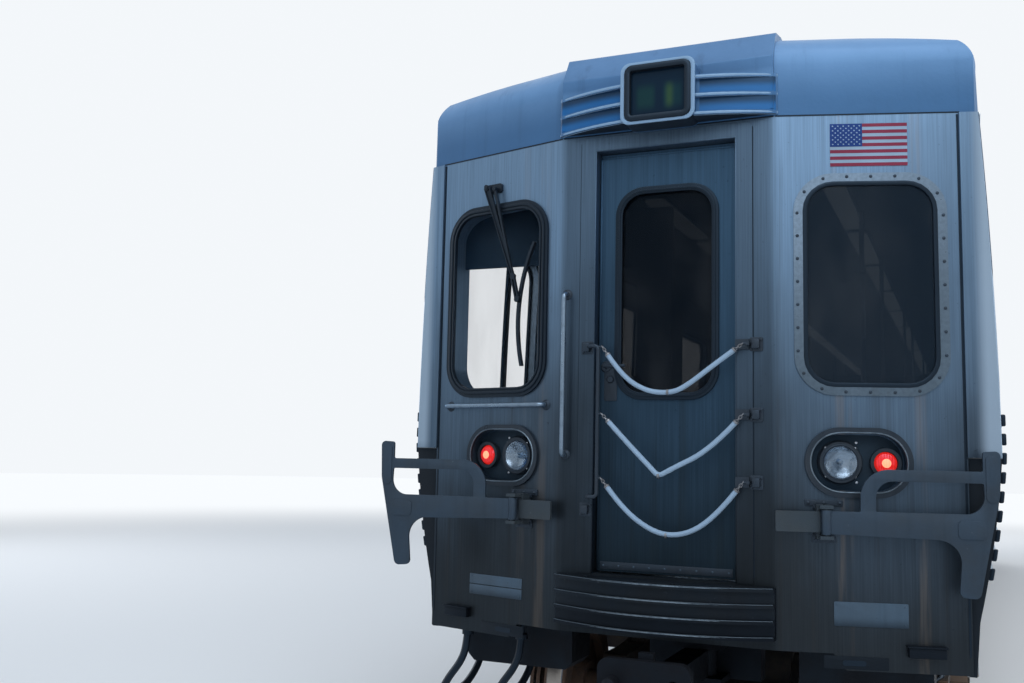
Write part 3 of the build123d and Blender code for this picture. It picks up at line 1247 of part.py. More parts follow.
with BuildPart() as wiper:
    with BuildSketch(panel_plane(-1)):
        with Locations(WIPER_BRACKET):
            RectangleRounded(*WIPER_BRACKET_SIZE, WIPER_BRACKET_RADIUS)
    extrude(amount=WIPER_BRACKET_THICKNESS)
    with BuildSketch(panel_plane(-1)):
        with Locations(*WIPER_SPINDLES):
            Circle(WIPER_SPINDLE_RADIUS)
    extrude(amount=WIPER_ARM_OUT + WIPER_ARM_THICKNESS + WIPER_NUT)
    with BuildSketch(panel_plane(-1, WIPER_ARM_OUT)):
        for start, end, wide, narrow, gap in WIPER_BARS:
            for shift in sorted({-gap / 2, gap / 2}):
                add(taper(start, end, wide, narrow, shift))
        with Locations(WIPER_ARM_END):
            Circle(WIPER_KNEE_RADIUS)
    extrude(amount=WIPER_ARM_THICKNESS)
    # Channel down the outer side of the arm
    start, end, wide, narrow, gap = WIPER_BARS[0]
    with BuildSketch(panel_plane(-1, WIPER_ARM_OUT + WIPER_ARM_THICKNESS)):
        add(taper(start, end, wide - 2 * WIPER_GROOVE_LIP, narrow - 2 * WIPER_GROOVE_LIP))
        with Locations(start, end):
            Circle(wide / 2, mode=Mode.SUBTRACT)
    extrude(amount=-WIPER_GROOVE, mode=Mode.SUBTRACT)
    with BuildSketch(panel_plane(-1, WIPER_CARRIER_OUT)):
        with Locations(WIPER_KNEE):
            Circle(WIPER_KNEE_RADIUS)
    extrude(amount=WIPER_ARM_OUT + WIPER_ARM_THICKNESS - WIPER_CARRIER_OUT)
    for width, out, thickness in (
        (WIPER_BLADE_WIDTH, 0.0, WIPER_CARRIER_OUT),
        (WIPER_CARRIER_WIDTH, WIPER_CARRIER_OUT, WIPER_CARRIER_THICKNESS),
    ):
        with BuildSketch(panel_plane(-1, out)):
            with BuildLine():
                ThreePointArc(*WIPER_BLADE)
            trace(line_width=width)
        extrude(amount=thickness)
keep("wiper", wiper.part)

# Cab interior, partition and console
CAB_DEPTH = 1500.0
CAB_INNER_X = -360.0
PARTITION_THICKNESS = 40.0
PARTITION_WINDOW = (440.0, 700.0)
PARTITION_WINDOW_CENTRE = 1350.0
PARTITION_WINDOW_RADIUS = 60.0
with BuildPart() as cab_partition:
    partition_y = -END_FACE + CAB_DEPTH
    with Locations(((CAB_INNER_X - INNER_FACE) / 2, partition_y, FLOOR + WALL_TOP / 2)):
        Box(CAB_INNER_X + INNER_FACE, PARTITION_THICKNESS, WALL_TOP)
    with BuildSketch(cross_section(partition_y + PARTITION_THICKNESS)):
        with Locations(((CAB_INNER_X - INNER_FACE) / 2, FLOOR + PARTITION_WINDOW_CENTRE)):
            RectangleRounded(*PARTITION_WINDOW, PARTITION_WINDOW_RADIUS)
    extrude(amount=2 * PARTITION_THICKNESS, mode=Mode.SUBTRACT)
keep("cab_partition", cab_partition.part)

# Section of the console: place along the car, height over the floor
CONSOLE_SECTION = (
    (-7770.0, 0.0),
    (-7770.0, 700.0),
    (-7560.0, 770.0),
    (-7470.0, 740.0),
    (-7470.0, 640.0),
    (-7560.0, 0.0),
)
CONSOLE_WIDTH = 760.0
CONSOLE_CORNER_RADIUS = 16.0
with BuildPart() as cab_console:
    with BuildSketch(Plane.YZ.offset(-INNER_FACE)) as console_side:
        with BuildLine():
            Polyline([(y, FLOOR + height) for y, height in CONSOLE_SECTION], close=True)
        make_face()
        fillet([v for v in console_side.vertices() if v.Y > FLOOR + 1], CONSOLE_CORNER_RADIUS)
    extrude(amount=CONSOLE_WIDTH)
keep("cab_console", cab_console.part)

# Driver's seat: a shell on a pedestal, carrying two pads
SEAT_X = -840.0
SEAT_Y = -7010.0
SEAT_POST_RADIUS = 60.0
SEAT_POST_HEIGHT = 380.0
SEAT_PAN = (470.0, 450.0, 24.0)
SEAT_BACK = (460.0, 24.0, 560.0)
SEAT_PAD_THICKNESS = 80.0
SEAT_PAD = (450.0, 410.0)
SEAT_BACK_PAD = (440.0, 70.0, 430.0)
SEAT_BACK_GAP = 10.0
with BuildPart() as cab_seat:
    pan_top = FLOOR + SEAT_POST_HEIGHT + SEAT_PAN[2]
    back_y = SEAT_Y + SEAT_PAN[1] / 2
    with Locations((SEAT_X, SEAT_Y, FLOOR)):
        Cylinder(SEAT_POST_RADIUS, SEAT_POST_HEIGHT, align=(Align.CENTER, Align.CENTER, Align.MIN))
    with Locations((SEAT_X, SEAT_Y, FLOOR + SEAT_POST_HEIGHT)):
        Box(*SEAT_PAN, align=(Align.CENTER, Align.CENTER, Align.MIN))
    with Locations((SEAT_X, back_y, pan_top - SEAT_PAN[2])):
        Box(*SEAT_BACK, align=(Align.CENTER, Align.MAX, Align.MIN))
keep("cab_seat", cab_seat.part)

# Saloon benches along the walls: start and end of each, pads along it
BENCHES = ((-6560.0, -5650.0, 1), (-3970.0, -840.0, 3), (840.0, 3970.0, 3), (5650.0, 7900.0, 2))
# Section of a bench's shell: distance from the wall, height over the floor
BENCH_SHELL = (
    (0.0, 60.0),
    (120.0, 60.0),
    (200.0, 325.0),
    (455.0, 362.0),
    (460.0, 396.0),
    (118.0, 380.0),
    (64.0, 830.0),
    (0.0, 830.0),
)
BENCH_PAD = 48.0
BENCH_BACK_PAD = 40.0
# Stretches of the shell's seat and back under the pads, as shares of their lengths
BENCH_PAD_SPAN = (0.04, 0.92)
BENCH_BACK_SPAN = (0.17, 0.93)
BENCH_PAD_GAP = 8.0


def bench_point(share, first, last):
    """Place on the shell's section between two of its corners."""
    (start_x, start_z), (end_x, end_z) = BENCH_SHELL[first], BENCH_SHELL[last]
    return (start_x + share * (end_x - start_x), start_z + share * (end_z - start_z))


def bench_section(corners):
    """Section of a bench's piece in the right-hand side's frame."""
    with BuildSketch(Plane.XY) as outline:
        with BuildLine():
            Polyline([(INNER_FACE - out, FLOOR + height) for out, height in corners], close=True)
        make_face()
    return outline.sketch_local


def pad_section(first, last, span, thickness, way):
    """Corners of a pad lying on one stretch of the shell."""
    low, high = (bench_point(share, first, last) for share in span)
    shift_x, shift_z = way[0] * thickness, way[1] * thickness
    return (low, high, (high[0] + shift_x, high[1] + shift_z), (low[0] + shift_x, low[1] + shift_z))


seat_pad = pad_section(4, 5, BENCH_PAD_SPAN, BENCH_PAD, (0, 1))
back_pad = pad_section(5, 6, BENCH_BACK_SPAN, BENCH_BACK_PAD, (1, 0))
with BuildPart() as bench_row:
    for start_y, end_y, _ in BENCHES:
        with BuildSketch(cross_section(end_y)):
            add(bench_section(BENCH_SHELL))
        extrude(amount=end_y - start_y)
with BuildPart() as bench_pads:
    for start_y, end_y, pads in BENCHES:
        pitch = (end_y - start_y) / pads
        for number in range(pads):
            pad_end = start_y + (number + 1) * pitch - BENCH_PAD_GAP
            for corners in (seat_pad, back_pad):
                with BuildSketch(cross_section(pad_end)):
                    add(bench_section(corners))
                extrude(amount=pitch - 2 * BENCH_PAD_GAP)
with BuildPart() as benches:
    add(bench_row.part)
    add(mirrored(bench_row.part))
keep("benches", benches.part)

with BuildPart() as seat_cushions:
    add(bench_pads.part)
    add(mirrored(bench_pads.part))
    with Locations((SEAT_X, SEAT_Y - SEAT_PAN[1] / 2, pan_top)):
        Box(*SEAT_PAD, SEAT_PAD_THICKNESS, align=(Align.CENTER, Align.MIN, Align.MIN))
    with Locations((SEAT_X, back_y - SEAT_BACK[1], pan_top + SEAT_PAD_THICKNESS + SEAT_BACK_GAP)):
        Box(*SEAT_BACK_PAD, align=(Align.CENTER, Align.MAX, Align.MIN))
keep("seat_cushions", seat_cushions.part)

# Stanchions from floor to ceiling, beside the doorways
STANCHION_RADIUS = 16.0
STANCHION_X = 640.0
with BuildPart() as stanchions:
    for centre in DOOR_CENTRES:
        for way in (-1, 1):
            for side in (-1, 1):
                with Locations((side * STANCHION_X, centre + way * 830, FLOOR)):
                    Cylinder(STANCHION_RADIUS, CEILING_HEIGHT, align=(Align.CENTER, Align.CENTER, Align.MIN))
keep("stanchions", stanchions.part)

# Equipment hung under the floor: centre x, centre y, width, length, drop
HANGER_Z = FLOOR_BOTTOM - BEARER_DEPTH
UNDERFLOOR_BOXES = (
    (-760.0, -2450.0, 820.0, 1500.0, 430.0),
    (760.0, -2650.0, 780.0, 1100.0, 400.0),
    (760.0, -1150.0, 760.0, 1300.0, 470.0),
    (-760.0, -450.0, 780.0, 1500.0, 420.0),
    (740.0, 650.0, 800.0, 1500.0, 440.0),
    (-760.0, 1250.0, 760.0, 1200.0, 380.0),
    (760.0, 2450.0, 760.0, 1400.0, 430.0),
    (-760.0, 2750.0, 800.0, 1100.0, 460.0),
    (-820.0, -7690.0, 560.0, 260.0, 330.0),
    (820.0, -7690.0, 560.0, 260.0, 330.0),
    (-820.0, 7720.0, 560.0, 300.0, 330.0),
    (820.0, 7720.0, 560.0, 300.0, 330.0),
)
BOX_CHAMFER = 34.0
# Air reservoirs between the centre sills: start of each along the car
RESERVOIRS = (-2900.0, -1300.0, 600.0, 2100.0)
RESERVOIR_RADIUS = 120.0
RESERVOIR_LENGTH = 1000.0
RESERVOIR_DOME = 55.0
RESERVOIR_Z = 745.0
RESERVOIR_BAR = (600.0, 50.0, 16.0)
RESERVOIR_BAR_INSET = 220.0
RESERVOIR_WEB = (110.0, 14.0)
with BuildPart() as underfloor_equipment:
    for x, y, width, length, drop in UNDERFLOOR_BOXES:
        with BuildSketch(cross_section(y + length / 2)) as box_section:
            with Locations((x, HANGER_Z)):
                Rectangle(width, drop, align=(Align.CENTER, Align.MAX))
            chamfer(box_section.vertices().group_by(Axis.Y)[0], BOX_CHAMFER)
        extrude(amount=length)
    for start in RESERVOIRS:
        with BuildSketch(cross_section(start + RESERVOIR_LENGTH)):
            with Locations((0, RESERVOIR_Z)):
                Circle(RESERVOIR_RADIUS)
        extrude(amount=RESERVOIR_LENGTH)
    ends = underfloor_equipment.edges().filter_by(GeomType.CIRCLE)
    fillet([edge for edge in ends if edge.radius > RESERVOIR_RADIUS - 1], RESERVOIR_DOME)
    for start in RESERVOIRS:
        for y in (start + RESERVOIR_BAR_INSET, start + RESERVOIR_LENGTH - RESERVOIR_BAR_INSET):
            with Locations((0, y, FLOOR_BOTTOM - SILL_DEPTH)):
                Box(*RESERVOIR_BAR, align=(Align.CENTER, Align.CENTER, Align.MAX))
                Box(
                    *RESERVOIR_WEB,
                    FLOOR_BOTTOM - SILL_DEPTH - RESERVOIR_Z,
                    align=(Align.CENTER, Align.CENTER, Align.MAX),
                )
keep("underfloor_equipment", underfloor_equipment.part)

# Wheelset: axle, two wheels and two outboard brake discs, turned about X
WHEEL_BACK = GAUGE / 2 - WHEEL_BACK_GAP
WHEEL_FRONT = WHEEL_BACK + TYRE_WIDTH
DISC_INNER = WHEEL_FRONT + BRAKE_DISC_GAP
DISC_OUTER = DISC_INNER + BRAKE_DISC_THICKNESS
AXLE_END = DISC_OUTER + AXLE_CAP_LENGTH
WEB_MIDDLE = (WHEEL_BACK + WHEEL_FRONT) / 2

with BuildPart() as wheelset:
    with BuildSketch(Plane.XY) as turned:
        with BuildLine():
            Polyline((0, 0), (0, AXLE_RADIUS), (AXLE_END, AXLE_RADIUS), (AXLE_END, 0), close=True)
        make_face()
        hub_start = WEB_MIDDLE - HUB_LENGTH / 2
        with BuildLine():
            Polyline(
                (hub_start, 0),
                (hub_start, HUB_RADIUS),
                (WEB_MIDDLE - WEB_THICKNESS / 2, HUB_RADIUS + 20),
                (WEB_MIDDLE - WEB_THICKNESS / 2, WHEEL_RADIUS - RIM_DEPTH),
                (WHEEL_BACK, WHEEL_RADIUS - RIM_DEPTH - 6),
                (WHEEL_BACK, WHEEL_RADIUS + FLANGE_DEPTH - 6),
                (WHEEL_BACK + FLANGE_TIP / 2, WHEEL_RADIUS + FLANGE_DEPTH),
                (WHEEL_BACK + FLANGE_TIP * 1.5, WHEEL_RADIUS + FLANGE_DEPTH),
                (WHEEL_BACK + FLANGE_WIDTH, WHEEL_RADIUS + 4),
                (WHEEL_BACK + FLANGE_WIDTH + 12, WHEEL_RADIUS),
                (WHEEL_FRONT, WHEEL_RADIUS - 4),
                (WHEEL_FRONT, WHEEL_RADIUS - RIM_DEPTH - 6),
                (WEB_MIDDLE + WEB_THICKNESS / 2, WHEEL_RADIUS - RIM_DEPTH),
                (WEB_MIDDLE + WEB_THICKNESS / 2, HUB_RADIUS + 20),
                (hub_start + HUB_LENGTH, HUB_RADIUS),
                (hub_start + HUB_LENGTH, 0),
                close=True,
            )
        make_face()
        with BuildLine():
            groove_low = (DISC_INNER + DISC_OUTER - VENT_GROOVE) / 2
            groove_high = groove_low + VENT_GROOVE
            Polyline(
                (DISC_INNER - 20, 0),
                (DISC_INNER - 20, HUB_RADIUS),
                (DISC_INNER, HUB_RADIUS + 20),
                (DISC_INNER, BRAKE_DISC_RADIUS),
                (groove_low, BRAKE_DISC_RADIUS),
                (groove_low, BRAKE_DISC_RADIUS - VENT_DEPTH),
                (groove_high, BRAKE_DISC_RADIUS - VENT_DEPTH),
                (groove_high, BRAKE_DISC_RADIUS),
                (DISC_OUTER, BRAKE_DISC_RADIUS),
                (DISC_OUTER, AXLE_CAP_RADIUS + 40),
                (DISC_OUTER + 20, AXLE_CAP_RADIUS),
                (AXLE_END, AXLE_CAP_RADIUS),
                (AXLE_END, 0),
                close=True,
            )
        make_face()
    revolve(axis=Axis.X)
    mirror(about=Plane.YZ)

# Bogie: inboard frame, bolster, motors with gear cases, brakes and current collector gear
JOURNAL_X = 570.0
SIDE_FRAME_WIDTH = 130.0
BOX_RADIUS = 150.0
BEARING_CLEARANCE = 0.1
TRANSOM_Y = 260.0
TRANSOM_WIDTH = 120.0
TRANSOM_LOW = 400.0
TRANSOM_HEIGHT = 150.0
FRAME_TOP = 600.0
BOLSTER_LOW = 650.0
BOGIE_BOLSTER_TOP = 820.0
SIDE_BEARER_TOP = 894.0
FRAME_CORNER_RADIUS = 40.0
SPRING_RADIUS = 206.0
SPRING_SEAT_RADIUS = 188.0
SPRING_SEAT = 10.0
MOTOR_RADIUS = 190.0
MOTOR_BELL = (150.0, 34.0)
TERMINAL_BOX = (190.0, 150.0, 60.0)
MOTOR_Y = 590.0
MOTOR_Z = 430.0
MOTOR_HALF_LENGTH = 330.0
GEAR_CASE_RADIUS = 195.0
GEAR_CASE_WIDTH = 150.0
GEAR_CASE_X = 120.0
OUTRIGGER_Z = 470.0
OUTRIGGER_X = 1095.0
OUTRIGGER_ARM = (220.0, 90.0)
OUTRIGGER_BEAM = (60.0, 1240.0, 90.0)

with BuildPart() as air_spring:
    with BuildSketch(Plane.XZ):
        seat_top = FRAME_TOP + SPRING_SEAT / 2
        neck = BOLSTER_LOW - SPRING_SEAT / 2
        with BuildLine():
            Polyline(
                (SPRING_SEAT_RADIUS, seat_top),
                (SPRING_SEAT_RADIUS, FRAME_TOP - SPRING_SEAT / 2),
                (0, FRAME_TOP - SPRING_SEAT / 2),
                (0, BOLSTER_LOW + SPRING_SEAT / 2),
                (SPRING_SEAT_RADIUS, BOLSTER_LOW + SPRING_SEAT / 2),
                (SPRING_SEAT_RADIUS, neck),
            )
            ThreePointArc(
                (SPRING_SEAT_RADIUS, neck),
                (SPRING_RADIUS, (seat_top + neck) / 2),
                (SPRING_SEAT_RADIUS, seat_top),
            )
        make_face()
    revolve(axis=Axis.Z)

with BuildPart() as bogie_frame_blank:
    for side in (-1, 1):
        x_low = side * JOURNAL_X - SIDE_FRAME_WIDTH / 2
        with BuildSketch(Plane.YZ.offset(x_low)):
            with BuildLine():
                half = WHEELBASE / 2
                FilletPolyline(
                    (-half - BOX_RADIUS, AXLE_Z + 20),
                    (-half - 90, FRAME_TOP - 30),
                    (-half + 160, FRAME_TOP - 30),
                    (-420, FRAME_TOP),
                    (420, FRAME_TOP),
                    (half - 160, FRAME_TOP - 30),
                    (half + 90, FRAME_TOP - 30),
                    (half + BOX_RADIUS, AXLE_Z + 20),
                    (half + BOX_RADIUS, AXLE_Z - 90),
                    (half + 100, AXLE_Z - BOX_RADIUS),
                    (half - 100, AXLE_Z - BOX_RADIUS),
                    (half - 230, TRANSOM_LOW + 10),
                    (420, TRANSOM_LOW - 30),
                    (-420, TRANSOM_LOW - 30),
                    (-half + 230, TRANSOM_LOW + 10),
                    (-half + 100, AXLE_Z - BOX_RADIUS),
                    (-half - 100, AXLE_Z - BOX_RADIUS),
                    (-half - BOX_RADIUS, AXLE_Z - 90),
                    radius=FRAME_CORNER_RADIUS,
                    close=True,
                )
            make_face()
            with Locations((-half, AXLE_Z), (half, AXLE_Z)):
                Circle(AXLE_RADIUS + BEARING_CLEARANCE, mode=Mode.SUBTRACT)
        extrude(amount=SIDE_FRAME_WIDTH)
    for way in (-1, 1):
        with Locations((0, way * TRANSOM_Y, TRANSOM_LOW)):
            Box(
                2 * JOURNAL_X,
                TRANSOM_WIDTH,
                TRANSOM_HEIGHT,
                align=(Align.CENTER, Align.CENTER, Align.MIN),
            )
    # Outriggers that carry the brakes and the collector gear outside the wheels
    for side in (-1, 1):
        with Locations((side * (JOURNAL_X + OUTRIGGER_X) / 2, 0, OUTRIGGER_Z)):
            Box(OUTRIGGER_X - JOURNAL_X, *OUTRIGGER_ARM)
        with Locations((side * OUTRIGGER_X, 0, OUTRIGGER_Z)):
            Box(*OUTRIGGER_BEAM)
    # Air springs and bolster
    for side in (-1, 1):
        add(air_spring.part.moved(Location((side * JOURNAL_X, 0, 0))))
    with Locations((0, 0, BOLSTER_LOW)):
        Box(
            2 * BOLSTER_HALF_LENGTH,
            BOLSTER_WIDTH - 60,
            BOGIE_BOLSTER_TOP - BOLSTER_LOW,
            align=(Align.CENTER, Align.CENTER, Align.MIN),
        )
    for side in (-1, 1):
        with Locations((side * 640, 0, BOGIE_BOLSTER_TOP)):
            Cylinder(
                120,
                SIDE_BEARER_TOP - BOGIE_BOLSTER_TOP,
                align=(Align.CENTER, Align.CENTER, Align.MIN),
            )
    with Locations((0, 0, BOLSTER_LOW)):
        Cylinder(
            PIVOT_RADIUS,
            PIVOT_TOP - 20 - BOLSTER_LOW,
            align=(Align.CENTER, Align.CENTER, Align.MIN),
        )

with BuildPart() as bogie_motors_blank:
    for way in (-1, 1):
        with BuildSketch(Plane.YZ.offset(-MOTOR_HALF_LENGTH)):
            with Locations((way * MOTOR_Y, MOTOR_Z)):
                Circle(MOTOR_RADIUS)
        extrude(amount=2 * MOTOR_HALF_LENGTH)
        bell_radius, bell_length = MOTOR_BELL
        for side in (-1, 1):
            with BuildSketch(Plane.YZ.offset(side * MOTOR_HALF_LENGTH)):
                with Locations((way * MOTOR_Y, MOTOR_Z)):
                    Circle(bell_radius)
            extrude(amount=side * bell_length, taper=20)
        with Locations((-way * MOTOR_HALF_LENGTH / 2, way * MOTOR_Y, MOTOR_Z + MOTOR_RADIUS)):
            Box(*TERMINAL_BOX)
        with BuildSketch(Plane.YZ.offset(way * GEAR_CASE_X - GEAR_CASE_WIDTH / 2)):
            with Locations((way * WHEELBASE / 2, AXLE_Z)):
                Circle(GEAR_CASE_RADIUS)
            with BuildLine():
                Polyline(
                    (way * WHEELBASE / 2, AXLE_Z - 150),
                    (way * WHEELBASE / 2, AXLE_Z + 150),
                    (way * MOTOR_Y, MOTOR_Z + 140),
                    (way * MOTOR_Y, MOTOR_Z - 140),
                    close=True,
                )
            make_face()
        extrude(amount=GEAR_CASE_WIDTH)
        with BuildSketch(Plane.YZ.offset(-MOTOR_HALF_LENGTH)):
            with Locations((way * WHEELBASE / 2, AXLE_Z)):
                Circle(AXLE_RADIUS + BEARING_CLEARANCE)
        extrude(amount=2 * MOTOR_HALF_LENGTH, mode=Mode.SUBTRACT)
        bracket_start = TRANSOM_Y + TRANSOM_WIDTH / 2
        bracket_length = MOTOR_Y - MOTOR_RADIUS / 2 - bracket_start
        with Locations((0, way * (bracket_start + bracket_length / 2), TRANSOM_LOW + 70)):
            Box(300, bracket_length, 110)

# Calipers: jaws either side of each disc, tied over its rim, on the outrigger
JAW_THICKNESS = 26.0
JAW_GAP = 11.0
JAW_SIZE = (150.0, 150.0)
JAW_RADIUS = 44.0
JAW_LAP = 30.0
TIE_DEPTH = 44.0
TIE_HEIGHT = 130.0
CALIPER_LIFT = 10.0
CYLINDER_RADIUS = 46.0
CYLINDER_Y = 690.0
CYLINDER_SPAN = (1000.0, 1092.0)
OUTRIGGER_PAD = (50.0, 40.0, 86.0)
SHOE_BEAM = (90.0, 420.0, 60.0)
SHOE_HANGER = (30.0, 120.0, 110.0)
SHOE_WIDTH = 110.0
# Section of the collector shoe: along the car, height over its underside
SHOE_SECTION = ((-100.0, 24.0), (100.0, 24.0), (100.0, 14.0), (78.0, 0.0), (-78.0, 0.0), (-100.0, 14.0))
SHOE_Z = 304.0
SHOE_GAP = 5.0

with BuildPart() as brake_gear_blank:
    caliper_y = WHEELBASE / 2 - BRAKE_DISC_RADIUS
    jaw_shift = JAW_GAP + JAW_THICKNESS / 2
    jaw_z = AXLE_Z + CALIPER_LIFT
    for side in (-1, 1):
        beam_face = side * (OUTRIGGER_X + OUTRIGGER_BEAM[0] / 2)
        for way in (-1, 1):
            for jaw_x in (DISC_INNER - jaw_shift, DISC_OUTER + jaw_shift):
                with BuildSketch(Plane.YZ.offset(side * jaw_x - JAW_THICKNESS / 2)):
                    with Locations((way * (caliper_y + JAW_LAP), jaw_z)):
                        RectangleRounded(*JAW_SIZE, JAW_RADIUS)
                extrude(amount=JAW_THICKNESS)
            with Locations((side * (DISC_INNER + DISC_OUTER) / 2, way * (caliper_y - 32), jaw_z)):
                Box(DISC_OUTER - DISC_INNER + 2 * (JAW_GAP + JAW_THICKNESS), TIE_DEPTH, TIE_HEIGHT)
            # Brake cylinder behind the tie, on a pad at the beam's end
            inner, outer = CYLINDER_SPAN
            with BuildSketch(Plane.YZ.offset(side * inner)):
                with Locations((way * CYLINDER_Y, OUTRIGGER_Z)):
                    Circle(CYLINDER_RADIUS)
            extrude(amount=side * (outer - inner), taper=4)
            beam_end = OUTRIGGER_BEAM[1] / 2
            with Locations((beam_face, way * beam_end, OUTRIGGER_Z)):
                across = Align.MAX if side > 0 else Align.MIN
                Box(*OUTRIGGER_PAD, align=(across, Align.MIN if way > 0 else Align.MAX, Align.CENTER))
        # Third-rail shoe on its insulated beam
        with Locations((beam_face + side * SHOE_BEAM[0] / 2, 0, OUTRIGGER_Z - SHOE_BEAM[2])):
            Box(*SHOE_BEAM)
        shoe_start = beam_face if side > 0 else beam_face - SHOE_WIDTH
        with BuildSketch(Plane.YZ.offset(shoe_start + side * SHOE_GAP)):
            with BuildLine():
                Polyline([(y, SHOE_Z + height) for y, height in SHOE_SECTION], close=True)
            make_face()
        extrude(amount=SHOE_WIDTH)
        with Locations((beam_face + side * SHOE_HANGER[0], 0, OUTRIGGER_Z - SHOE_HANGER[2])):
            Box(*SHOE_HANGER)

for end_name, y in BOGIE_PLACES.items():
    place = Location((0, y, 0))
    keep(f"bogie_frame_{end_name}", bogie_frame_blank.part.moved(place))
    keep(f"traction_motors_{end_name}", bogie_motors_blank.part.moved(place))
    keep(f"brake_gear_{end_name}", brake_gear_blank.part.moved(place))

axle_places = [y + way * WHEELBASE / 2 for y in BOGIE_PLACES.values() for way in (-1, 1)]
for number, y in enumerate(axle_places, start=1):
    keep(f"wheelset_{number}", wheelset.part.moved(Location((0, y, AXLE_Z))))

# Couplers: shank, rounded head with its guide pin and socket, and the electric box below
HEAD_LENGTH = 230.0
HEAD_LIFT = 10.0
HEAD_FLANGE = (400.0, 290.0, 42.0)
HEAD_FLANGE_RADIUS = 46.0
HEAD_BODY = (350.0, 250.0, 110.0)
HEAD_BODY_RADIUS = 54.0
HEAD_NECK = (170.0, 140.0)
HEAD_NECK_RADIUS = 36.0
SHANK_WIDTH = 120.0
SHANK_EYE_RADIUS = 85.0
ELECTRIC_BOX = (330.0, 170.0, 128.0)
ELECTRIC_BOX_SETBACK = 26.0
ELECTRIC_BOX_RADIUS = 22.0
ELECTRIC_BOX_LAP = 6.0
HOOK = (64.0, 40.0, 52.0)
with BuildPart() as coupler_front:
    shank_start = COUPLER_FACE - HEAD_LENGTH
    with Locations((0, -(COUPLER_PIVOT + shank_start) / 2, COUPLER_HEIGHT)):
        Box(SHANK_WIDTH, shank_start - COUPLER_PIVOT, 2 * COUPLER_SHANK_HALF_HEIGHT)
    with Locations((0, -COUPLER_PIVOT, COUPLER_HEIGHT)):
        Cylinder(SHANK_EYE_RADIUS, 2 * COUPLER_SHANK_HALF_HEIGHT)
        Cylinder(
            COUPLER_PIN_RADIUS + PIVOT_CLEARANCE,
            2 * COUPLER_SHANK_HALF_HEIGHT + 2,
            mode=Mode.SUBTRACT,
        )
    head_z = COUPLER_HEIGHT + HEAD_LIFT
    flange_back = COUPLER_FACE - HEAD_FLANGE[2]
    body_back = flange_back - HEAD_BODY[2]
    with BuildSketch(cross_section(-flange_back)):
        with Locations((0, head_z)):
            RectangleRounded(HEAD_FLANGE[0], HEAD_FLANGE[1], HEAD_FLANGE_RADIUS)
    extrude(amount=HEAD_FLANGE[2])
    with BuildSketch(cross_section(-body_back)):
        with Locations((0, head_z)):
            RectangleRounded(HEAD_BODY[0], HEAD_BODY[1], HEAD_BODY_RADIUS)
    extrude(amount=HEAD_BODY[2])
    with BuildSketch(cross_section(-body_back)):
        with Locations((0, head_z)):
            RectangleRounded(HEAD_BODY[0], HEAD_BODY[1], HEAD_BODY_RADIUS)
    with BuildSketch(cross_section(-shank_start)):
        with Locations((0, COUPLER_HEIGHT)):
            RectangleRounded(*HEAD_NECK, HEAD_NECK_RADIUS)
    loft()
    box_top = head_z - HEAD_BODY[1] / 2 + ELECTRIC_BOX_LAP
    with BuildSketch(Plane.YZ.offset(-ELECTRIC_BOX[0] / 2)) as box_side:
        with Locations((-COUPLER_FACE + ELECTRIC_BOX_SETBACK, box_top)):
            Rectangle(ELECTRIC_BOX[1], ELECTRIC_BOX[2], align=(Align.MIN, Align.MAX))
        fillet(box_side.vertices().group_by(Axis.Y)[0], ELECTRIC_BOX_RADIUS)
    extrude(amount=ELECTRIC_BOX[0])
    # Hook boss above the face
    with Locations((0, -flange_back, head_z + HEAD_FLANGE[1] / 2)):
        Box(*HOOK, align=(Align.CENTER, Align.MIN, Align.CENTER))
    with BuildSketch(cross_section(-COUPLER_FACE)):
        with Locations((GUIDE_OFFSET, COUPLER_HEIGHT + GUIDE_RISE)):
            Circle(GUIDE_SOCKET_RADIUS)
    extrude(amount=-GUIDE_SOCKET_DEPTH, mode=Mode.SUBTRACT)
    with BuildSketch(cross_section(-COUPLER_FACE)):
        with Locations((-GUIDE_OFFSET, COUPLER_HEIGHT + GUIDE_RISE)):
            Circle(GUIDE_PIN_RADIUS)
    extrude(amount=GUIDE_PIN_LENGTH)
    chamfer(coupler_front.faces().sort_by(Axis.Y)[0].edges(), GUIDE_PIN_RADIUS / 2)
coupler_rear = coupler_front.part.rotate(Axis.Z, 180)
keep("coupler_front", coupler_front.part)
keep("coupler_rear", coupler_rear)
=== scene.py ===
"""Looks of the metro car: its finishes, its fittings and the studio that it stands in."""

from __future__ import annotations

import json
import logging
import math
from collections.abc import Iterable, Sequence
from dataclasses import dataclass
from enum import Enum
from itertools import product
from typing import ClassVar

import bmesh
import bpy
from mathutils import Matrix, Vector
from mathutils.bvhtree import BVHTree

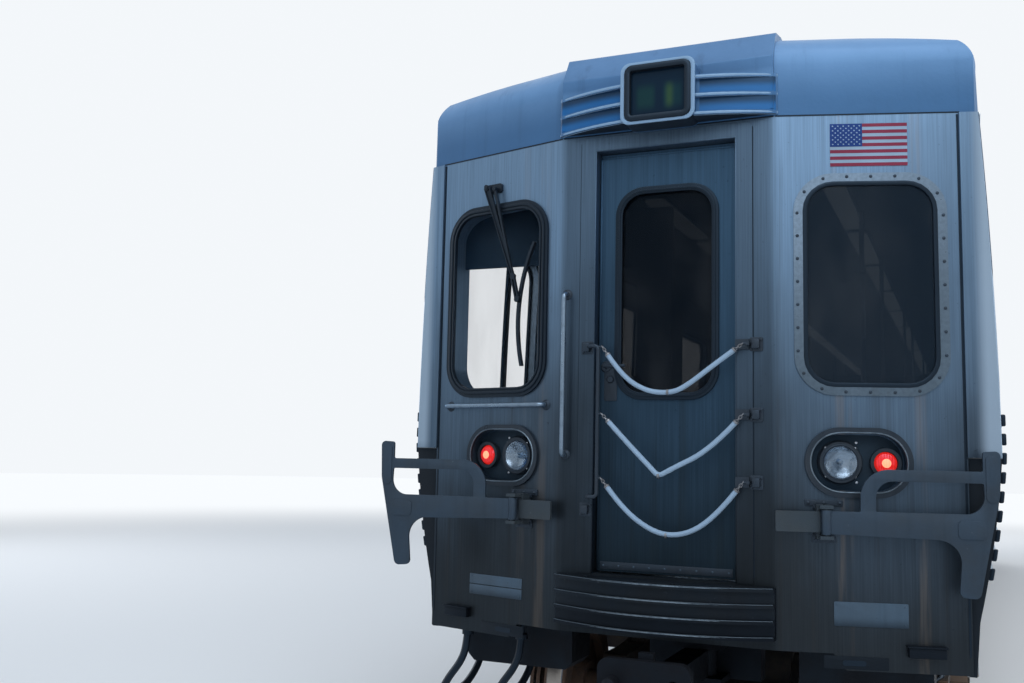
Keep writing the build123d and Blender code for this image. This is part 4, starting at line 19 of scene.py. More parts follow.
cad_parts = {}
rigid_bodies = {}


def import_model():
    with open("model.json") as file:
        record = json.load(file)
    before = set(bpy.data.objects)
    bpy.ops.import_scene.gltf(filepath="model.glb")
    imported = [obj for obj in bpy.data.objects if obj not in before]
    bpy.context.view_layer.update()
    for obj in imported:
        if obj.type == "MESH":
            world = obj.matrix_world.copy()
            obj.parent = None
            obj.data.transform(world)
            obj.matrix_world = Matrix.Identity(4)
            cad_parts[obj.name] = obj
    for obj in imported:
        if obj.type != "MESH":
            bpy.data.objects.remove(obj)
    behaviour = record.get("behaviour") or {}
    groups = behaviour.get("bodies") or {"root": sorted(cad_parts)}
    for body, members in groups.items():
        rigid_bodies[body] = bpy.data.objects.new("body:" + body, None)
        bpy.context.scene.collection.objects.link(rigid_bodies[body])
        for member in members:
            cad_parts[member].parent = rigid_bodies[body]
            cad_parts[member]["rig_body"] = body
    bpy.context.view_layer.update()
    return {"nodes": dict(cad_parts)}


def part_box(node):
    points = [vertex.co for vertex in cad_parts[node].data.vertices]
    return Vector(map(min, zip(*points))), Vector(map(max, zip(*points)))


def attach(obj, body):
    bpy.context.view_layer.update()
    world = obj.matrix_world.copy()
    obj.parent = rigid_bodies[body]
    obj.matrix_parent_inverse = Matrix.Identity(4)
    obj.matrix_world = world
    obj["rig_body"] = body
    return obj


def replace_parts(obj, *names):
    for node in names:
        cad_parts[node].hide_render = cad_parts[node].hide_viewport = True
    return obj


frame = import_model()

Point = Sequence[float]
Tone = tuple[float, float, float]
Pair = tuple[float, float]
Shape = bmesh.types.BMesh
Socket = bpy.types.NodeSocket

FLOOR = 1.128
END_Y = -8.15
REAR_Y = 8.11
RAKE_COS = 0.96115
RAKE_SIN = 0.27607
PILLAR_X = 0.503
DOOR_CENTRES = (-4.81, 0.0, 4.81)
SIDE_WINDOWS = ((-7.115, 1.21), (-2.405, 1.22), (2.405, 1.22), (7.115, 1.21))
AXLE_Z = 0.3835
BOGIE_Y = 5.95
HALF_BASE = 1.015
CARBODY = "carbody"
SIDES = (-1, 1)
WELD = 2e-5
END_WINDOW_HEIGHT = 1.296


class Grain(Enum):
    """Which way the brushing or the weave runs, as noise scales along X, Y and Z."""

    UPRIGHT = (140.0, 140.0, 2.0)
    ALONG = (140.0, 1.6, 140.0)
    AROUND = (60.0, 60.0, 60.0)


# Wiring of materials


class Wiring:
    """Wires one material's nodes."""

    def __init__(self, name: str) -> None:
        """Makes the material.

        Args:
            name: Its name.
        """
        self.material = bpy.data.materials.new(name)
        self.material.use_nodes = True
        self.tree = self.material.node_tree
        self.shader = self.tree.nodes["Principled BSDF"]
        # Painted reflection: every finish's specular tint is blue, so its reflections take the colour of a blue sky
        self.set("Specular Tint", (0.45, 0.7, 1.0, 1.0))
        self.place = self.node("TexCoord").outputs["Object"]

    def node(self, kind: str, values: Iterable[object] = (), **settings: str) -> bpy.types.Node:
        """Adds a shader node.

        Args:
            kind: What it is.
            values: What its sockets are given, in order.
            settings: Its other settings.

        Returns:
            The node.
        """
        node = self.tree.nodes.new(f"ShaderNode{kind}")
        for name, setting in settings.items():
            setattr(node, name, setting)
        for socket, value in zip(node.inputs, values):
            self.give(socket, value)
        return node

    def give(self, socket: Socket, value: object) -> None:
        """Gives a socket its input.

        Args:
            socket: The socket.
            value: Another socket, a number or a tone, or None to leave it as it is.
        """
        if isinstance(value, Socket):
            self.tree.links.new(value, socket)
        elif value is not None:
            socket.default_value = (*value, 1.0) if socket.type == "RGBA" and len(value) == 3 else value

    def set(self, name: str, value: object) -> None:
        """Gives one of the shader's sockets its input."""
        self.give(self.shader.inputs[name], value)

    def math(self, operation: str, *values: object) -> Socket:
        """Result of one arithmetic step."""
        return self.node("Math", values, operation=operation).outputs[0]

    def both(self, first: object, second: object) -> Socket:
        """Product of two values."""
        return self.math("MULTIPLY", first, second)

    def axis(self, letter: str) -> Socket:
        """One coordinate of the surface in the car's frame, in metres."""
        return self.node("SeparateXYZ", (self.place,)).outputs[letter]

    def across(self) -> Socket:
        """Distance from the car's middle plane, in metres."""
        return self.math("ABSOLUTE", self.axis("X"))

    def noise(self, scale: Point | float, detail: float = 3.0, rough: float = 0.55) -> Socket:
        """Noise over the surface, from 0 to 1, at one scale or one along each axis."""
        stretch = self.node("Mapping", (self.place, None, None, (scale,) * 3 if isinstance(scale, float) else scale))
        return self.node("TexNoise", (stretch.outputs[0], None, 1.0, detail, rough)).outputs["Fac"]

    def wave(self, direction: str, scale: float) -> Socket:
        """Bands across one axis, from 0 to 1."""
        return self.node("TexWave", (self.place, scale), bands_direction=direction).outputs["Fac"]

    def span(self, value: object, low: float, high: float, start: float = 0.0, end: float = 1.0) -> Socket:
        """Maps a value from low and high to start and end, smoothly and within them."""
        node = self.node("MapRange", (value, low, high, start, end), interpolation_type="SMOOTHSTEP")
        return node.outputs[0]

    def fall(self, value: object, low: float, high: float) -> Socket:
        """1 below low and 0 above high."""
        return self.span(value, low, high, 1.0, 0.0)

    def within(self, value: object, low: float, high: float, edge: float) -> Socket:
        """1 between low and high, and 0 outside them, with soft edges."""
        return self.both(self.span(value, low - edge, low + edge), self.fall(value, high - edge, high + edge))

    def mix(self, share: object, first: object, second: object, blend: str = "MIX") -> Socket:
        """Mixes a share of the second colour into the first."""
        values = (share, *[None] * 5, first, second)
        return self.node("Mix", values, data_type="RGBA", blend_type=blend).outputs[2]

    def paint(self, colour: object, roughness: object, height: Socket | None = None, depth: float = 0.001) -> None:
        """Joins colour, roughness and a bump to the shader.

        Args:
            colour: The surface's colour.
            roughness: Its roughness.
            height: Height of its bumps, if it has any.
            depth: Depth of its bumps in metres.
        """
        self.set("Base Color", colour)
        self.set("Roughness", roughness)
        if height is not None:
            bump = self.node("Bump")
            self.give(bump.inputs["Distance"], depth)
            self.give(bump.inputs["Height"], height)
            self.set("Normal", bump.outputs[0])


def dim(tone: Tone, share: float) -> Tone:
    """A tone at a share of its brightness."""
    return tuple(c * share for c in tone)


@dataclass(frozen=True)
class Finish:
    """A surface finish, made once as a material, with its slot in the record, clean colour and mean roughness."""

    name: str
    slot: str
    tone: Tone = (0.5, 0.5, 0.5)
    roughness: float = 0.5
    made: ClassVar[dict[str, bpy.types.Material]] = {}

    def material(self) -> bpy.types.Material:
        """The finish's material.

        Returns:
            The material, which is wired the first time that it is asked for.
        """
        if self.name not in Finish.made:
            wiring = Wiring(self.name)
            self.wire(wiring)
            Finish.made[self.name] = wiring.material
        return Finish.made[self.name]

    def wire(self, w: Wiring) -> None:
        """Plain mottled plastic or paint."""
        w.set("Specular IOR Level", 0.3)
        cloud = w.noise(6.0)
        dark = dim(self.tone, 0.72)
        w.paint(w.mix(cloud, self.tone, dark), w.span(cloud, 0.3, 0.7, self.roughness - 0.08, self.roughness + 0.1),
                w.noise(420.0, 2.0), 0.0002)


@dataclass(frozen=True)
class Steel(Finish):
    """Brushed stainless steel, stained with brown, that goes from low_tone at one height to its tone at another.

    Steel with inner is painted on its faces inside the car.
    """

    grain: Grain = Grain.UPRIGHT
    low_tone: Tone = (0.3, 0.3, 0.3)
    low: float = 0.8
    high: float = 2.6
    stain: float = 0.3
    metal: float = 0.7
    inner: bool = False

    def wire(self, w: Wiring) -> None:
        """Grain, clouds, runs and a gradient over the height."""
        w.set("Metallic", self.metal)
        w.set("Specular IOR Level", 0.2)
        fine = w.noise(self.grain.value, 4.0, 0.6)
        cloud = w.noise((1.7, 1.7, 0.9), 4.0)
        runs = w.noise((17.0, 17.0, 0.55), 4.0, 0.6)
        rise = w.math("ADD", w.axis("Z"), w.span(cloud, 0.25, 0.75, -0.25, 0.25))
        colour = w.mix(w.span(rise, self.low, self.high), self.low_tone, self.tone)
        colour = w.mix(w.span(fine, 0.2, 0.8, 0.0, 0.26), colour, (0.0, 0.0, 0.0))
        grime = w.both(w.span(runs, 0.53, 0.78), w.span(rise, self.low, self.high + 0.6, 1.0, 0.25))
        brown = tuple(a * b for a, b in zip(self.low_tone, (1.05, 0.8, 0.62)))
        colour = w.mix(w.both(grime, self.stain), colour, brown)
        specks = w.span(w.noise(55.0, 2.0), 0.7, 0.78, 0.0, 0.35)
        colour = w.mix(specks, colour, dim(self.low_tone, 0.4))
        if self.inner:
            z = w.axis("Z")
            # Painted shade and dirt: the side wall's front face below the cover is near black.
            butt = w.both(w.fall(w.axis("Y"), -7.899, -7.897), w.fall(z, FLOOR + 0.55, FLOOR + 0.56))
            colour = w.mix(butt, colour, (0.012, 0.013, 0.015))
            inside = w.both(w.fall(w.across(), 1.236, 1.24), w.fall(z, FLOOR + 2.24, FLOOR + 2.26))
            colour = w.mix(inside, colour, (0.4, 0.41, 0.4))
            w.set("Metallic", w.span(w.math("MAXIMUM", inside, butt), 0.0, 1.0, self.metal, 0.0))
        rough = w.span(w.math("ADD", fine, cloud), 0.6, 1.4, self.roughness - 0.08, self.roughness + 0.14)
        w.paint(colour, rough, fine, 0.0003)


@dataclass(frozen=True)
class EndSteel(Steel):
    """Steel of the cab end, with painted shade on the pillars, a painted highlight towards the corners, and brown
    streaks as place, half width and strength.
    """

    pillar: float = 0.5
    streaks: tuple[tuple[float, float, float], ...] = (
        (0.755, 0.016, 0.3), (0.8, 0.006, 0.16), (1.075, 0.02, 0.22), (-0.6, 0.028, 0.16), (-0.71, 0.018, 0.1),
    )

    def wire(self, w: Wiring) -> None:
        """The steel, then its runs, the painted highlight at the corners and the painted shade of the pillars."""
        super().wire(w)
        colour = w.shader.inputs["Base Color"].links[0].from_socket
        across = w.axis("X")
        broken = w.span(w.noise((30.0, 30.0, 1.6), 4.0), 0.38, 0.62)
        for place, half, strength in self.streaks:
            run = w.both(w.within(across, place - half, place + half, 0.012), broken)
            colour = w.mix(w.both(run, strength), colour, (0.19, 0.15, 0.115))
        away = w.math("ABSOLUTE", across)
        # Painted highlight: above the cover's foot the steel turns paler towards each corner, where the end rounds
        # into the side.
        corner = w.both(w.span(away, 1.285, 1.345), w.span(w.axis("Z"), FLOOR + 0.5, FLOOR + 0.6))
        colour = w.mix(corner, colour, (0.243, 0.318, 0.405))
        # Painted shade: the door pillars' steel darkens to near black.
        shade = w.span(away, 0.47, 0.52, self.pillar, 0.0)
        colour = w.mix(shade, colour, dim(self.low_tone, 0.25))
        w.set("Base Color", colour)


@dataclass(frozen=True)
class Paint(Finish):
    """Old paint with a share of dust on it and bare patches along its edges."""

    dust: Tone = (0.2, 0.17, 0.14)
    share: float = 0.5
    bare: Tone = (0.25, 0.26, 0.27)
    metal: float = 0.0

    def wire(self, w: Wiring) -> None:
        """Paint under dust clouds, with worn spots and painted shade below the cab end."""
        w.set("Metallic", self.metal)
        w.set("Specular IOR Level", 0.25)
        cloud = w.noise(5.0, 5.0, 0.62)
        runs = w.noise((24.0, 24.0, 1.4), 3.0)
        colour = w.mix(w.both(w.span(cloud, 0.35, 0.72), self.share), self.tone, self.dust)
        colour = w.mix(w.span(runs, 0.5, 0.8, 0.0, 0.35), colour, dim(self.tone, 0.55))
        worn = w.span(w.noise(38.0, 5.0, 0.7), 0.66, 0.72, 0.0, 0.7)
        colour = w.mix(worn, colour, self.bare)
        # Painted shade: things low under the cab end turn near black.
        end_underside_shade = w.both(w.span(w.axis("Y"), -7.4, -6.6, 0.9, 0.0), w.fall(w.axis("Z"), 0.95, 1.02))
        colour = w.mix(end_underside_shade, colour, (0.003, 0.003, 0.004))
        fine = w.noise(160.0, 3.0)
        w.paint(colour, w.span(cloud, 0.3, 0.7, self.roughness - 0.1, self.roughness + 0.15), fine, 0.0006)


@dataclass(frozen=True)
class CapMoulding(Finish):
    """Moulded cap with painted shade below its lit brow, stain runs, and blue bands between two heights each, with
    painted shadow and painted shade under the hood.
    """

    shade: Tone = (0.035, 0.1, 0.215)
    blue: Tone = (0.006, 0.085, 0.25)
    bands: tuple[Pair, ...] = ()

    def wire(self, w: Wiring) -> None:
        """A lit top and painted shade below the brow, soft runs, the bands with painted shadow, and painted shade
        under the hood.
        """
        z = w.axis("Z")
        cloud = w.noise(2.2, 5.0, 0.6)
        runs = w.noise((14.0, 14.0, 0.8), 4.0)
        # Painted shade: the cap is lit at the top and shaded below the brow.
        colour = w.mix(w.span(z, FLOOR + 2.1, FLOOR + 2.42), self.shade, self.tone)
        colour = w.mix(w.span(cloud, 0.3, 0.75, 0.0, 0.25), colour, dim(self.shade, 0.5))
        colour = w.mix(w.span(runs, 0.55, 0.8, 0.0, 0.35), colour, dim(self.shade, 0.45))
        across = w.across()
        block_top = w.both(w.fall(across, 0.4995, 0.5005), w.span(z, FLOOR + 2.25, FLOOR + 2.28))
        colour = w.mix(block_top, colour, w.mix(1.0, colour, (0.62, 0.7, 0.76), "MULTIPLY"))
        proud = w.fall(w.axis("Y"), END_Y - 0.012, END_Y - 0.008)
        front = w.both(proud, w.within(across, 0.186, 0.53, 0.001))
        # Painted shadow: each blue band darkens towards its top, under the rib above it.
        band_shadow = dim(self.blue, 0.22)
        for low, high in self.bands:
            share = w.both(front, w.within(z, low, high, 0.0015))
            colour = w.mix(share, colour, w.mix(w.span(z, high - 0.05, high - 0.014), self.blue, band_shadow))
        hood = w.both(proud, w.fall(across, 0.529, 0.531))
        # Painted shade: the hood's bottom face is near black.
        under = w.both(w.fall(z, FLOOR + 2.0565, FLOOR + 2.058), hood)
        colour = w.mix(under, colour, (0.006, 0.008, 0.012))
        w.paint(colour, w.span(cloud, 0.3, 0.7, 0.28, 0.45), w.noise(60.0, 3.0), 0.0006)


@dataclass(frozen=True)
class RoofSkin(Steel):
    """Roof steel with a pale and a blue stripe along the cove."""

    def wire(self, w: Wiring) -> None:
        """The steel, then stripes by height on the cove."""
        super().wire(w)
        colour = w.shader.inputs["Base Color"].links[0].from_socket
        z, cove = w.axis("Z"), w.span(w.across(), 1.3, 1.302)
        wear = w.span(w.noise((9.0, 3.0, 9.0), 4.0), 0.62, 0.75, 1.0, 0.6)
        for low, high, tone in (
            (2.085, 2.155, (0.1, 0.27, 0.52)),
            (2.155, 2.19, (0.62, 0.68, 0.72)),
            (2.19, 2.235, (0.16, 0.36, 0.58)),
        ):
            band = w.both(w.within(z, FLOOR + low, FLOOR + high, 0.001), wear)
            colour = w.mix(w.both(band, cove), colour, tone)
        w.set("Base Color", colour)


@dataclass(frozen=True)
class Glass(Finish):
    """Tinted glass that shows a clear share of what lies behind each face."""

    clear: float = 0.5
    gloss: float = 0.35

    def wire(self, w: Wiring) -> None:
        """Smooth dark glass with faint dust."""
        w.set("IOR", 1.52)
        w.set("Specular IOR Level", self.gloss)
        dust = w.noise((3.0, 3.0, 1.5), 5.0)
        w.paint(w.mix(w.span(dust, 0.4, 0.8, 0.0, 0.35), self.tone, tuple(c + 0.05 for c in self.tone)),
                w.span(dust, 0.3, 0.8, self.roughness, self.roughness + 0.08))
        w.set("Alpha", w.span(dust, 0.3, 0.9, 1.0 - self.clear, min(1.0, 1.08 - self.clear)))
        w.material.use_transparency_overlap = False


@dataclass(frozen=True)
class EndGlass(Glass):
    """Glass of the end windows, clear on the left, and darker on the right as painted shade of the car's inside
    behind it.
    """

    left_clear: float = 0.6

    def wire(self, w: Wiring) -> None:
        """The glass, with its clearness by side."""
        super().wire(w)
        # Painted shade: the right window's glass is darker, so that the inside behind it looks shaded.
        left_pane = w.fall(w.axis("X"), -0.1, 0.1)
        alpha = w.span(left_pane, 0.0, 1.0, 1.0 - self.clear, 1.0 - self.left_clear)
        w.set("Alpha", alpha)


@dataclass(frozen=True)
class SignFace(Finish):
    """Dark glass of the unlit destination sign, with two soft panels behind its middle."""

    middle: float = FLOOR + 2.166

    def wire(self, w: Wiring) -> None:
        """Two faint panels with soft edges under smooth glass."""
        x, z = w.axis("X"), w.axis("Z")
        colour = self.tone
        for left, right, edge, shade in ((-0.1, -0.018, 0.014, (0.007, 0.027, 0.029)),
                                         (0.026, 0.11, 0.014, (0.006, 0.024, 0.031)),
                                         (0.044, 0.062, 0.022, (0.036, 0.074, 0.024))):
            tall = w.within(z, self.middle - 0.05, self.middle + 0.05, 0.028)
            colour = w.mix(w.both(w.within(x, left, right, edge), tall), colour, shade)
        w.set("Specular IOR Level", 0.15)
        w.paint(colour, self.roughness)


@dataclass(frozen=True)
class Glow(Finish):
    """Lamp glass with light behind it."""

    light: Tone = (1.0, 0.1, 0.05)
    strength: float = 1.0

    def wire(self, w: Wiring) -> None:
        """Ribbed glossy lens."""
        ribs = w.wave("X", 30.0)
        w.set("Emission Color", self.light)
        w.set("Emission Strength", self.strength)
        w.paint(w.mix(ribs, self.tone, dim(self.tone, 0.6)), self.roughness, ribs, 0.001)


@dataclass(frozen=True)
class Metal(Finish):
    """Bare or plated metal, a share of it under rust or dirt."""

    rust: Tone = (0.16, 0.09, 0.05)
    share: float = 0.3
    metal: float = 0.9

    def wire(self, w: Wiring) -> None:
        """Metal under rust or dirt clouds."""
        cloud = w.noise(14.0, 5.0, 0.65)
        cover = w.span(cloud, 0.45, 0.75, 0.0, self.share)
        w.paint(w.mix(cover, self.tone, self.rust),
                w.span(cloud, 0.3, 0.8, self.roughness, min(1.0, self.roughness + 0.4)), w.noise(220.0, 3.0), 0.0005)
        w.set("Metallic", w.span(cover, 0.0, 1.0, self.metal, 0.0))


@dataclass(frozen=True)
class WheelIron(Finish):
    """Rusty wheel with a bright tread and a worn brake disc."""

    def wire(self, w: Wiring) -> None:
        """Rust by clouds, and bright metal by radius round each axle."""
        y = w.math("ABSOLUTE", w.math("SUBTRACT", w.math("ABSOLUTE", w.axis("Y")), BOGIE_Y))
        y = w.math("SUBTRACT", y, HALF_BASE)
        z = w.math("SUBTRACT", w.axis("Z"), AXLE_Z)
        radius = w.math("SQRT", w.math("ADD", w.both(y, y), w.both(z, z)))
        across = w.across()
        cloud = w.noise(11.0, 6.0, 0.65)
        colour = w.mix(cloud, self.tone, (0.1, 0.055, 0.03))
        colour = w.mix(w.span(w.noise(30.0, 4.0), 0.45, 0.7, 0.0, 0.6), colour, (0.05, 0.042, 0.036))
        tread = w.both(w.span(radius, 0.348, 0.351), w.within(across, 0.775, 0.872, 0.006))
        disc = w.both(w.within(radius, 0.15, 0.255, 0.004), w.span(across, 0.945, 0.947))
        bright = w.math("MAXIMUM", tread, w.both(disc, w.span(cloud, 0.35, 0.6)))
        colour = w.mix(bright, colour, (0.26, 0.245, 0.23))
        w.paint(colour, w.span(bright, 0.0, 1.0, 0.85, 0.3), w.noise(140.0, 4.0), 0.0012)
        w.set("Metallic", bright)


@dataclass(frozen=True)
class Woven(Finish):
    """Woven seat cloth."""

    def wire(self, w: Wiring) -> None:
        """Two crossed waves and a flecked colour."""
        weave = w.math("MAXIMUM", w.wave("Y", 90.0), w.wave("Z", 90.0))
        flecks = w.span(w.noise(70.0, 2.0), 0.55, 0.62)
        colour = w.mix(flecks, self.tone, tuple(min(1.0, c * 2.2) for c in self.tone))
        w.set("Sheen Weight", 0.3)
        w.paint(w.mix(w.span(weave, 0.0, 1.0, 0.0, 0.35), colour, (0.01, 0.01, 0.02)), 0.9, weave, 0.0012)


HOOD_BANDS = ((FLOOR + 2.074, FLOOR + 2.141), (FLOOR + 2.159, FLOOR + 2.226))

# Painted shade: the cab end's steel is drawn dark blue, as stainless steel looks in blue shade, where the side's
# steel is its lit copy. It also turns near black towards the bottom.
END_STEEL = EndSteel(
    "end_steel", "stainless_end", (0.14, 0.226, 0.338), 0.36, Grain.UPRIGHT, (0.024, 0.029, 0.034), 0.95, 3.1, 0.5,
)
SIDE_STEEL = Steel(
    "side_steel", "stainless_body", (0.5, 0.545, 0.59), 0.32, Grain.ALONG,
    (0.3, 0.27, 0.24), 0.7, 2.2, 0.4, inner=True,
)
DOOR_STEEL = Steel(
    "door_steel", "stainless_door", (0.52, 0.55, 0.58), 0.33, Grain.UPRIGHT, (0.33, 0.29, 0.25), 0.9, 2.3, 0.5,
)
# Painted shade: the end doors' steel is a dark blue copy of the side doors' steel, as in shade.
END_DOOR_STEEL = Steel(
    "end_door_steel", "stainless_door", (0.033, 0.07, 0.118), 0.42, Grain.UPRIGHT,
    (0.012, 0.021, 0.03), 1.0, 2.9, 0.5,
)
FRAME_STEEL = Steel(
    "frame_steel", "window_frame", (0.165, 0.225, 0.295), 0.35, Grain.AROUND, (0.055, 0.078, 0.1), 1.5, 3.0, 0.3,
)
ROOF_STEEL = RoofSkin(
    "roof_steel", "roof_steel", (0.52, 0.56, 0.6), 0.36, Grain.ALONG, (0.42, 0.43, 0.44), 2.8, 3.4, 0.4, inner=True,
)
FAIRING = Paint("fairing_paint", "fairing_paint", (0.52, 0.56, 0.6), 0.5, (0.34, 0.33, 0.32), 0.6, (0.4, 0.42, 0.44))
CAP = CapMoulding("cap_moulding", "cap_grp", (0.125, 0.245, 0.43), bands=HOOD_BANDS)
CAP_RIM = Finish("cap_rim", "cap_grp", (0.22, 0.34, 0.49), 0.35)
RUBBER = Finish("black_rubber", "black_rubber", (0.006, 0.009, 0.014), 0.4)
TINTED = Glass("tinted_glass", "tinted_glass", (0.012, 0.017, 0.024), 0.03, clear=0.94, gloss=0.4)
END_GLASS = EndGlass(
    "end_glass", "tinted_glass", (0.006, 0.011, 0.018), 0.03, clear=0.22, gloss=0.14, left_clear=0.95,
)
# Painted shade: the end doors' glass is nearly opaque and black, so the inside seen through it looks shaded.
DOOR_GLASS = Glass("door_glass", "tinted_glass", (0.002, 0.0035, 0.006), 0.03, clear=0.17, gloss=0.06)
SIGN_GLASS = Glass("sign_glass", "sign_glass", (0.004, 0.016, 0.026), 0.1, clear=0.0, gloss=0.15)
BEZEL = Paint(
    "bezel_paint", "lamp_bezel_steel", (0.024, 0.031, 0.041), 0.34, (0.04, 0.043, 0.046), 0.4, (0.1, 0.12, 0.14), 0.4,
)
RECESS = Paint(
    "recess_paint", "lamp_bezel_steel", (0.016, 0.028, 0.042), 0.5, (0.024, 0.03, 0.036), 0.4, (0.04, 0.045, 0.05),
)
REFLECTOR = Metal("reflector", "lamp_glass", (0.3, 0.38, 0.47), 0.08, (0.04, 0.055, 0.075), 0.85)
LAMP_GLASS = Glass("lamp_glass", "lamp_glass", (0.03, 0.05, 0.08), 0.05, clear=0.88, gloss=0.9)
RED_LENS = Glow("red_lens", "red_lens", (0.65, 0.012, 0.014), 0.15, (1.0, 0.03, 0.02), 0.45)
RED_HEART = Glow("red_heart", "red_lens", (0.9, 0.2, 0.1), 0.2, (1.0, 0.3, 0.16), 1.4)
AMBER = Glow("amber_lens", "red_lens", (0.75, 0.3, 0.03), 0.2, (1.0, 0.45, 0.05), 0.2)
BULB = Glow("warm_tube", "interior_panel", (0.3, 0.31, 0.3), 0.4, (0.9, 0.97, 1.0), 0.22)
CLIMBER = Paint(
    "anticlimber_paint", "anticlimber_steel", (0.007, 0.009, 0.012), 0.42, (0.014, 0.014, 0.014), 0.5,
    (0.06, 0.07, 0.085), 0.4,
)
# Painted highlight: pale metal strips on the anticlimber's rib edges and the lamp bezels' rims.
EDGE_HIGHLIGHT = Metal("edge_highlight", "anticlimber_steel", (0.12, 0.155, 0.19), 0.36, (0.02, 0.025, 0.03), 0.8)
RAIL = Metal("rail_steel", "stainless_rail", (0.42, 0.46, 0.52), 0.24, (0.1, 0.1, 0.1), 0.35)
# Painted shade: the end's grab rails are a darker, bluer copy of the rail steel, as in shade.
END_RAIL = Metal("end_rail_steel", "stainless_rail", (0.17, 0.23, 0.3), 0.24, (0.05, 0.06, 0.075), 0.5)
DARK_STEEL = Paint(
    "dark_steel", "dark_steel", (0.028, 0.038, 0.052), 0.42, (0.035, 0.035, 0.036), 0.4, (0.09, 0.11, 0.13), 0.35,
)
SLEEVE = Finish("chain_sleeve", "chain_sleeve", (0.29, 0.4, 0.53), 0.3)
LINKS = Metal("chain_links", "dark_steel", (0.2, 0.21, 0.23), 0.4, (0.09, 0.06, 0.04), 0.7)
GATE = Paint(
    "gate_paint", "gate_paint", (0.035, 0.051, 0.072), 0.4, (0.036, 0.042, 0.048), 0.6, (0.075, 0.095, 0.115), 0.35,
)
BRACKET = Paint(
    "bracket_paint", "gate_paint", (0.036, 0.046, 0.055), 0.45, (0.05, 0.052, 0.05), 0.5, (0.07, 0.085, 0.1), 0.2,
)
BLACK = Finish("satin_black", "black_steel", (0.008, 0.011, 0.016), 0.36)
VISOR = Finish("visor_board", "console_plastic", (0.004, 0.013, 0.026), 0.5)
PANEL = Finish("interior_panel", "interior_panel", (0.55, 0.55, 0.53), 0.55)
CONSOLE = Finish("console_plastic", "console_plastic", (0.05, 0.05, 0.055), 0.5)
CLOTH = Woven("bench_cloth", "bench_fabric", (0.05, 0.1, 0.27), 0.9)
BENCH_SHELL = Finish("bench_moulding", "bench_shell", (0.42, 0.44, 0.46), 0.4)
DECK = Paint(
    "deck_cover", "underframe_steel", (0.022, 0.021, 0.021), 0.7, (0.05, 0.042, 0.034), 0.6, (0.045, 0.04, 0.035),
)
# Painted shade and dust: the underfloor equipment is darkened to near black, as the car's underside looks in shade.
EQUIPMENT = Paint(
    "equipment_paint", "equipment_paint", (0.028, 0.027, 0.026), 0.6, (0.085, 0.066, 0.052), 0.7,
    (0.06, 0.045, 0.035),
)
# Dusty castings, darkened in part as painted shade of the underside.
CASTING = Paint(
    "bogie_casting", "bogie_cast", (0.036, 0.031, 0.028), 0.75, (0.12, 0.085, 0.06), 0.75, (0.08, 0.05, 0.032),
)
MOTOR = Paint("motor_paint", "motor_paint", (0.045, 0.043, 0.042), 0.7, (0.13, 0.1, 0.075), 0.6, (0.1, 0.07, 0.05))
BRAKE = Paint("brake_iron", "brake_iron", (0.1, 0.07, 0.05), 0.8, (0.22, 0.14, 0.09), 0.7, (0.2, 0.18, 0.16))
WHEEL = WheelIron("wheel_iron", "wheel_steel", (0.13, 0.08, 0.052), 0.8)
COUPLER = Paint(
    "coupler_casting", "coupler_cast", (0.018, 0.016, 0.016), 0.6, (0.055, 0.038, 0.028), 0.6,
    (0.06, 0.05, 0.045), 0.3,
)
PLATE = Paint(
    "reflective_plate", "stainless_end", (0.058, 0.088, 0.122), 0.4, (0.05, 0.062, 0.075), 0.45, (0.04, 0.05, 0.06),
)
# Painted shade: the flag's white is drawn blue-grey and its red dark, as they look in shade.
FLAG_RED = Finish("flag_red", "cap_grp", (0.2, 0.018, 0.04), 0.45)
FLAG_WHITE = Finish("flag_white", "cap_grp", (0.27, 0.36, 0.47), 0.45)
FLAG_BLUE = Finish("flag_blue", "cap_grp", (0.01, 0.032, 0.16), 0.45)
SIGN_FACE = SignFace("sign_face", "sign_glass", (0.004, 0.012, 0.024), 0.12)


# Shaping of meshes


def soften(part: Shape, offset: float, segments: int = 2, sharp: float = 28.0) -> Shape:
    """Rounds a part's sharp edges.

    Args:
        part: The mesh, which is changed.
        offset: Width of the rounding.
        segments: Facets across it.
        sharp: Least angle between faces, in degrees, at which an edge is rounded.

    Returns:
        The same mesh.
    """
    edges = [e for e in part.edges if e.is_manifold and e.calc_face_angle(0.0) > math.radians(sharp)]
    if offset > 0.0 and edges:
        bmesh.ops.bevel(part, geom=edges, offset=offset, offset_type="OFFSET", affect="EDGES",
                        segments=segments, profile=0.5, material=-1, clamp_overlap=True)
    return part


def thicken(part: Shape, depth: float) -> Shape:
    """Gives a flat part in XY its thickness.

    Args:
        part: The mesh, which is changed.
        depth: Its thickness, from z 0 up.

    Returns:
        The same mesh.
    """
    grown = bmesh.ops.extrude_face_region(part, geom=part.faces[:], use_keep_orig=True)["geom"]
    bmesh.ops.translate(part, vec=(0, 0, depth), verts=[v for v in grown if isinstance(v, bmesh.types.BMVert)])
    bmesh.ops.recalc_face_normals(part, faces=part.faces)
    return part


def bendable(part: Shape, cuts: int) -> Shape:
    """Cuts a part across its upright edges.

    Args:
        part: The mesh, which is changed.
        cuts: How many cuts.

    Returns:
        The same mesh.
    """
    upright = [e for e in part.edges if abs((e.verts[0].co - e.verts[1].co).normalized().y) > 0.9]
    bmesh.ops.subdivide_edges(part, edges=upright, cuts=cuts, use_grid_fill=True)
    return part


def as_mesh(part: Shape, name: str = "part") -> bpy.types.Mesh:
    """Mesh data made from a part, which is freed.

    Args:
        part: The part.
        name: The data's name.

    Returns:
        The data.
    """
    data = bpy.data.meshes.new(name)
    part.to_mesh(data)
    part.free()
    return data


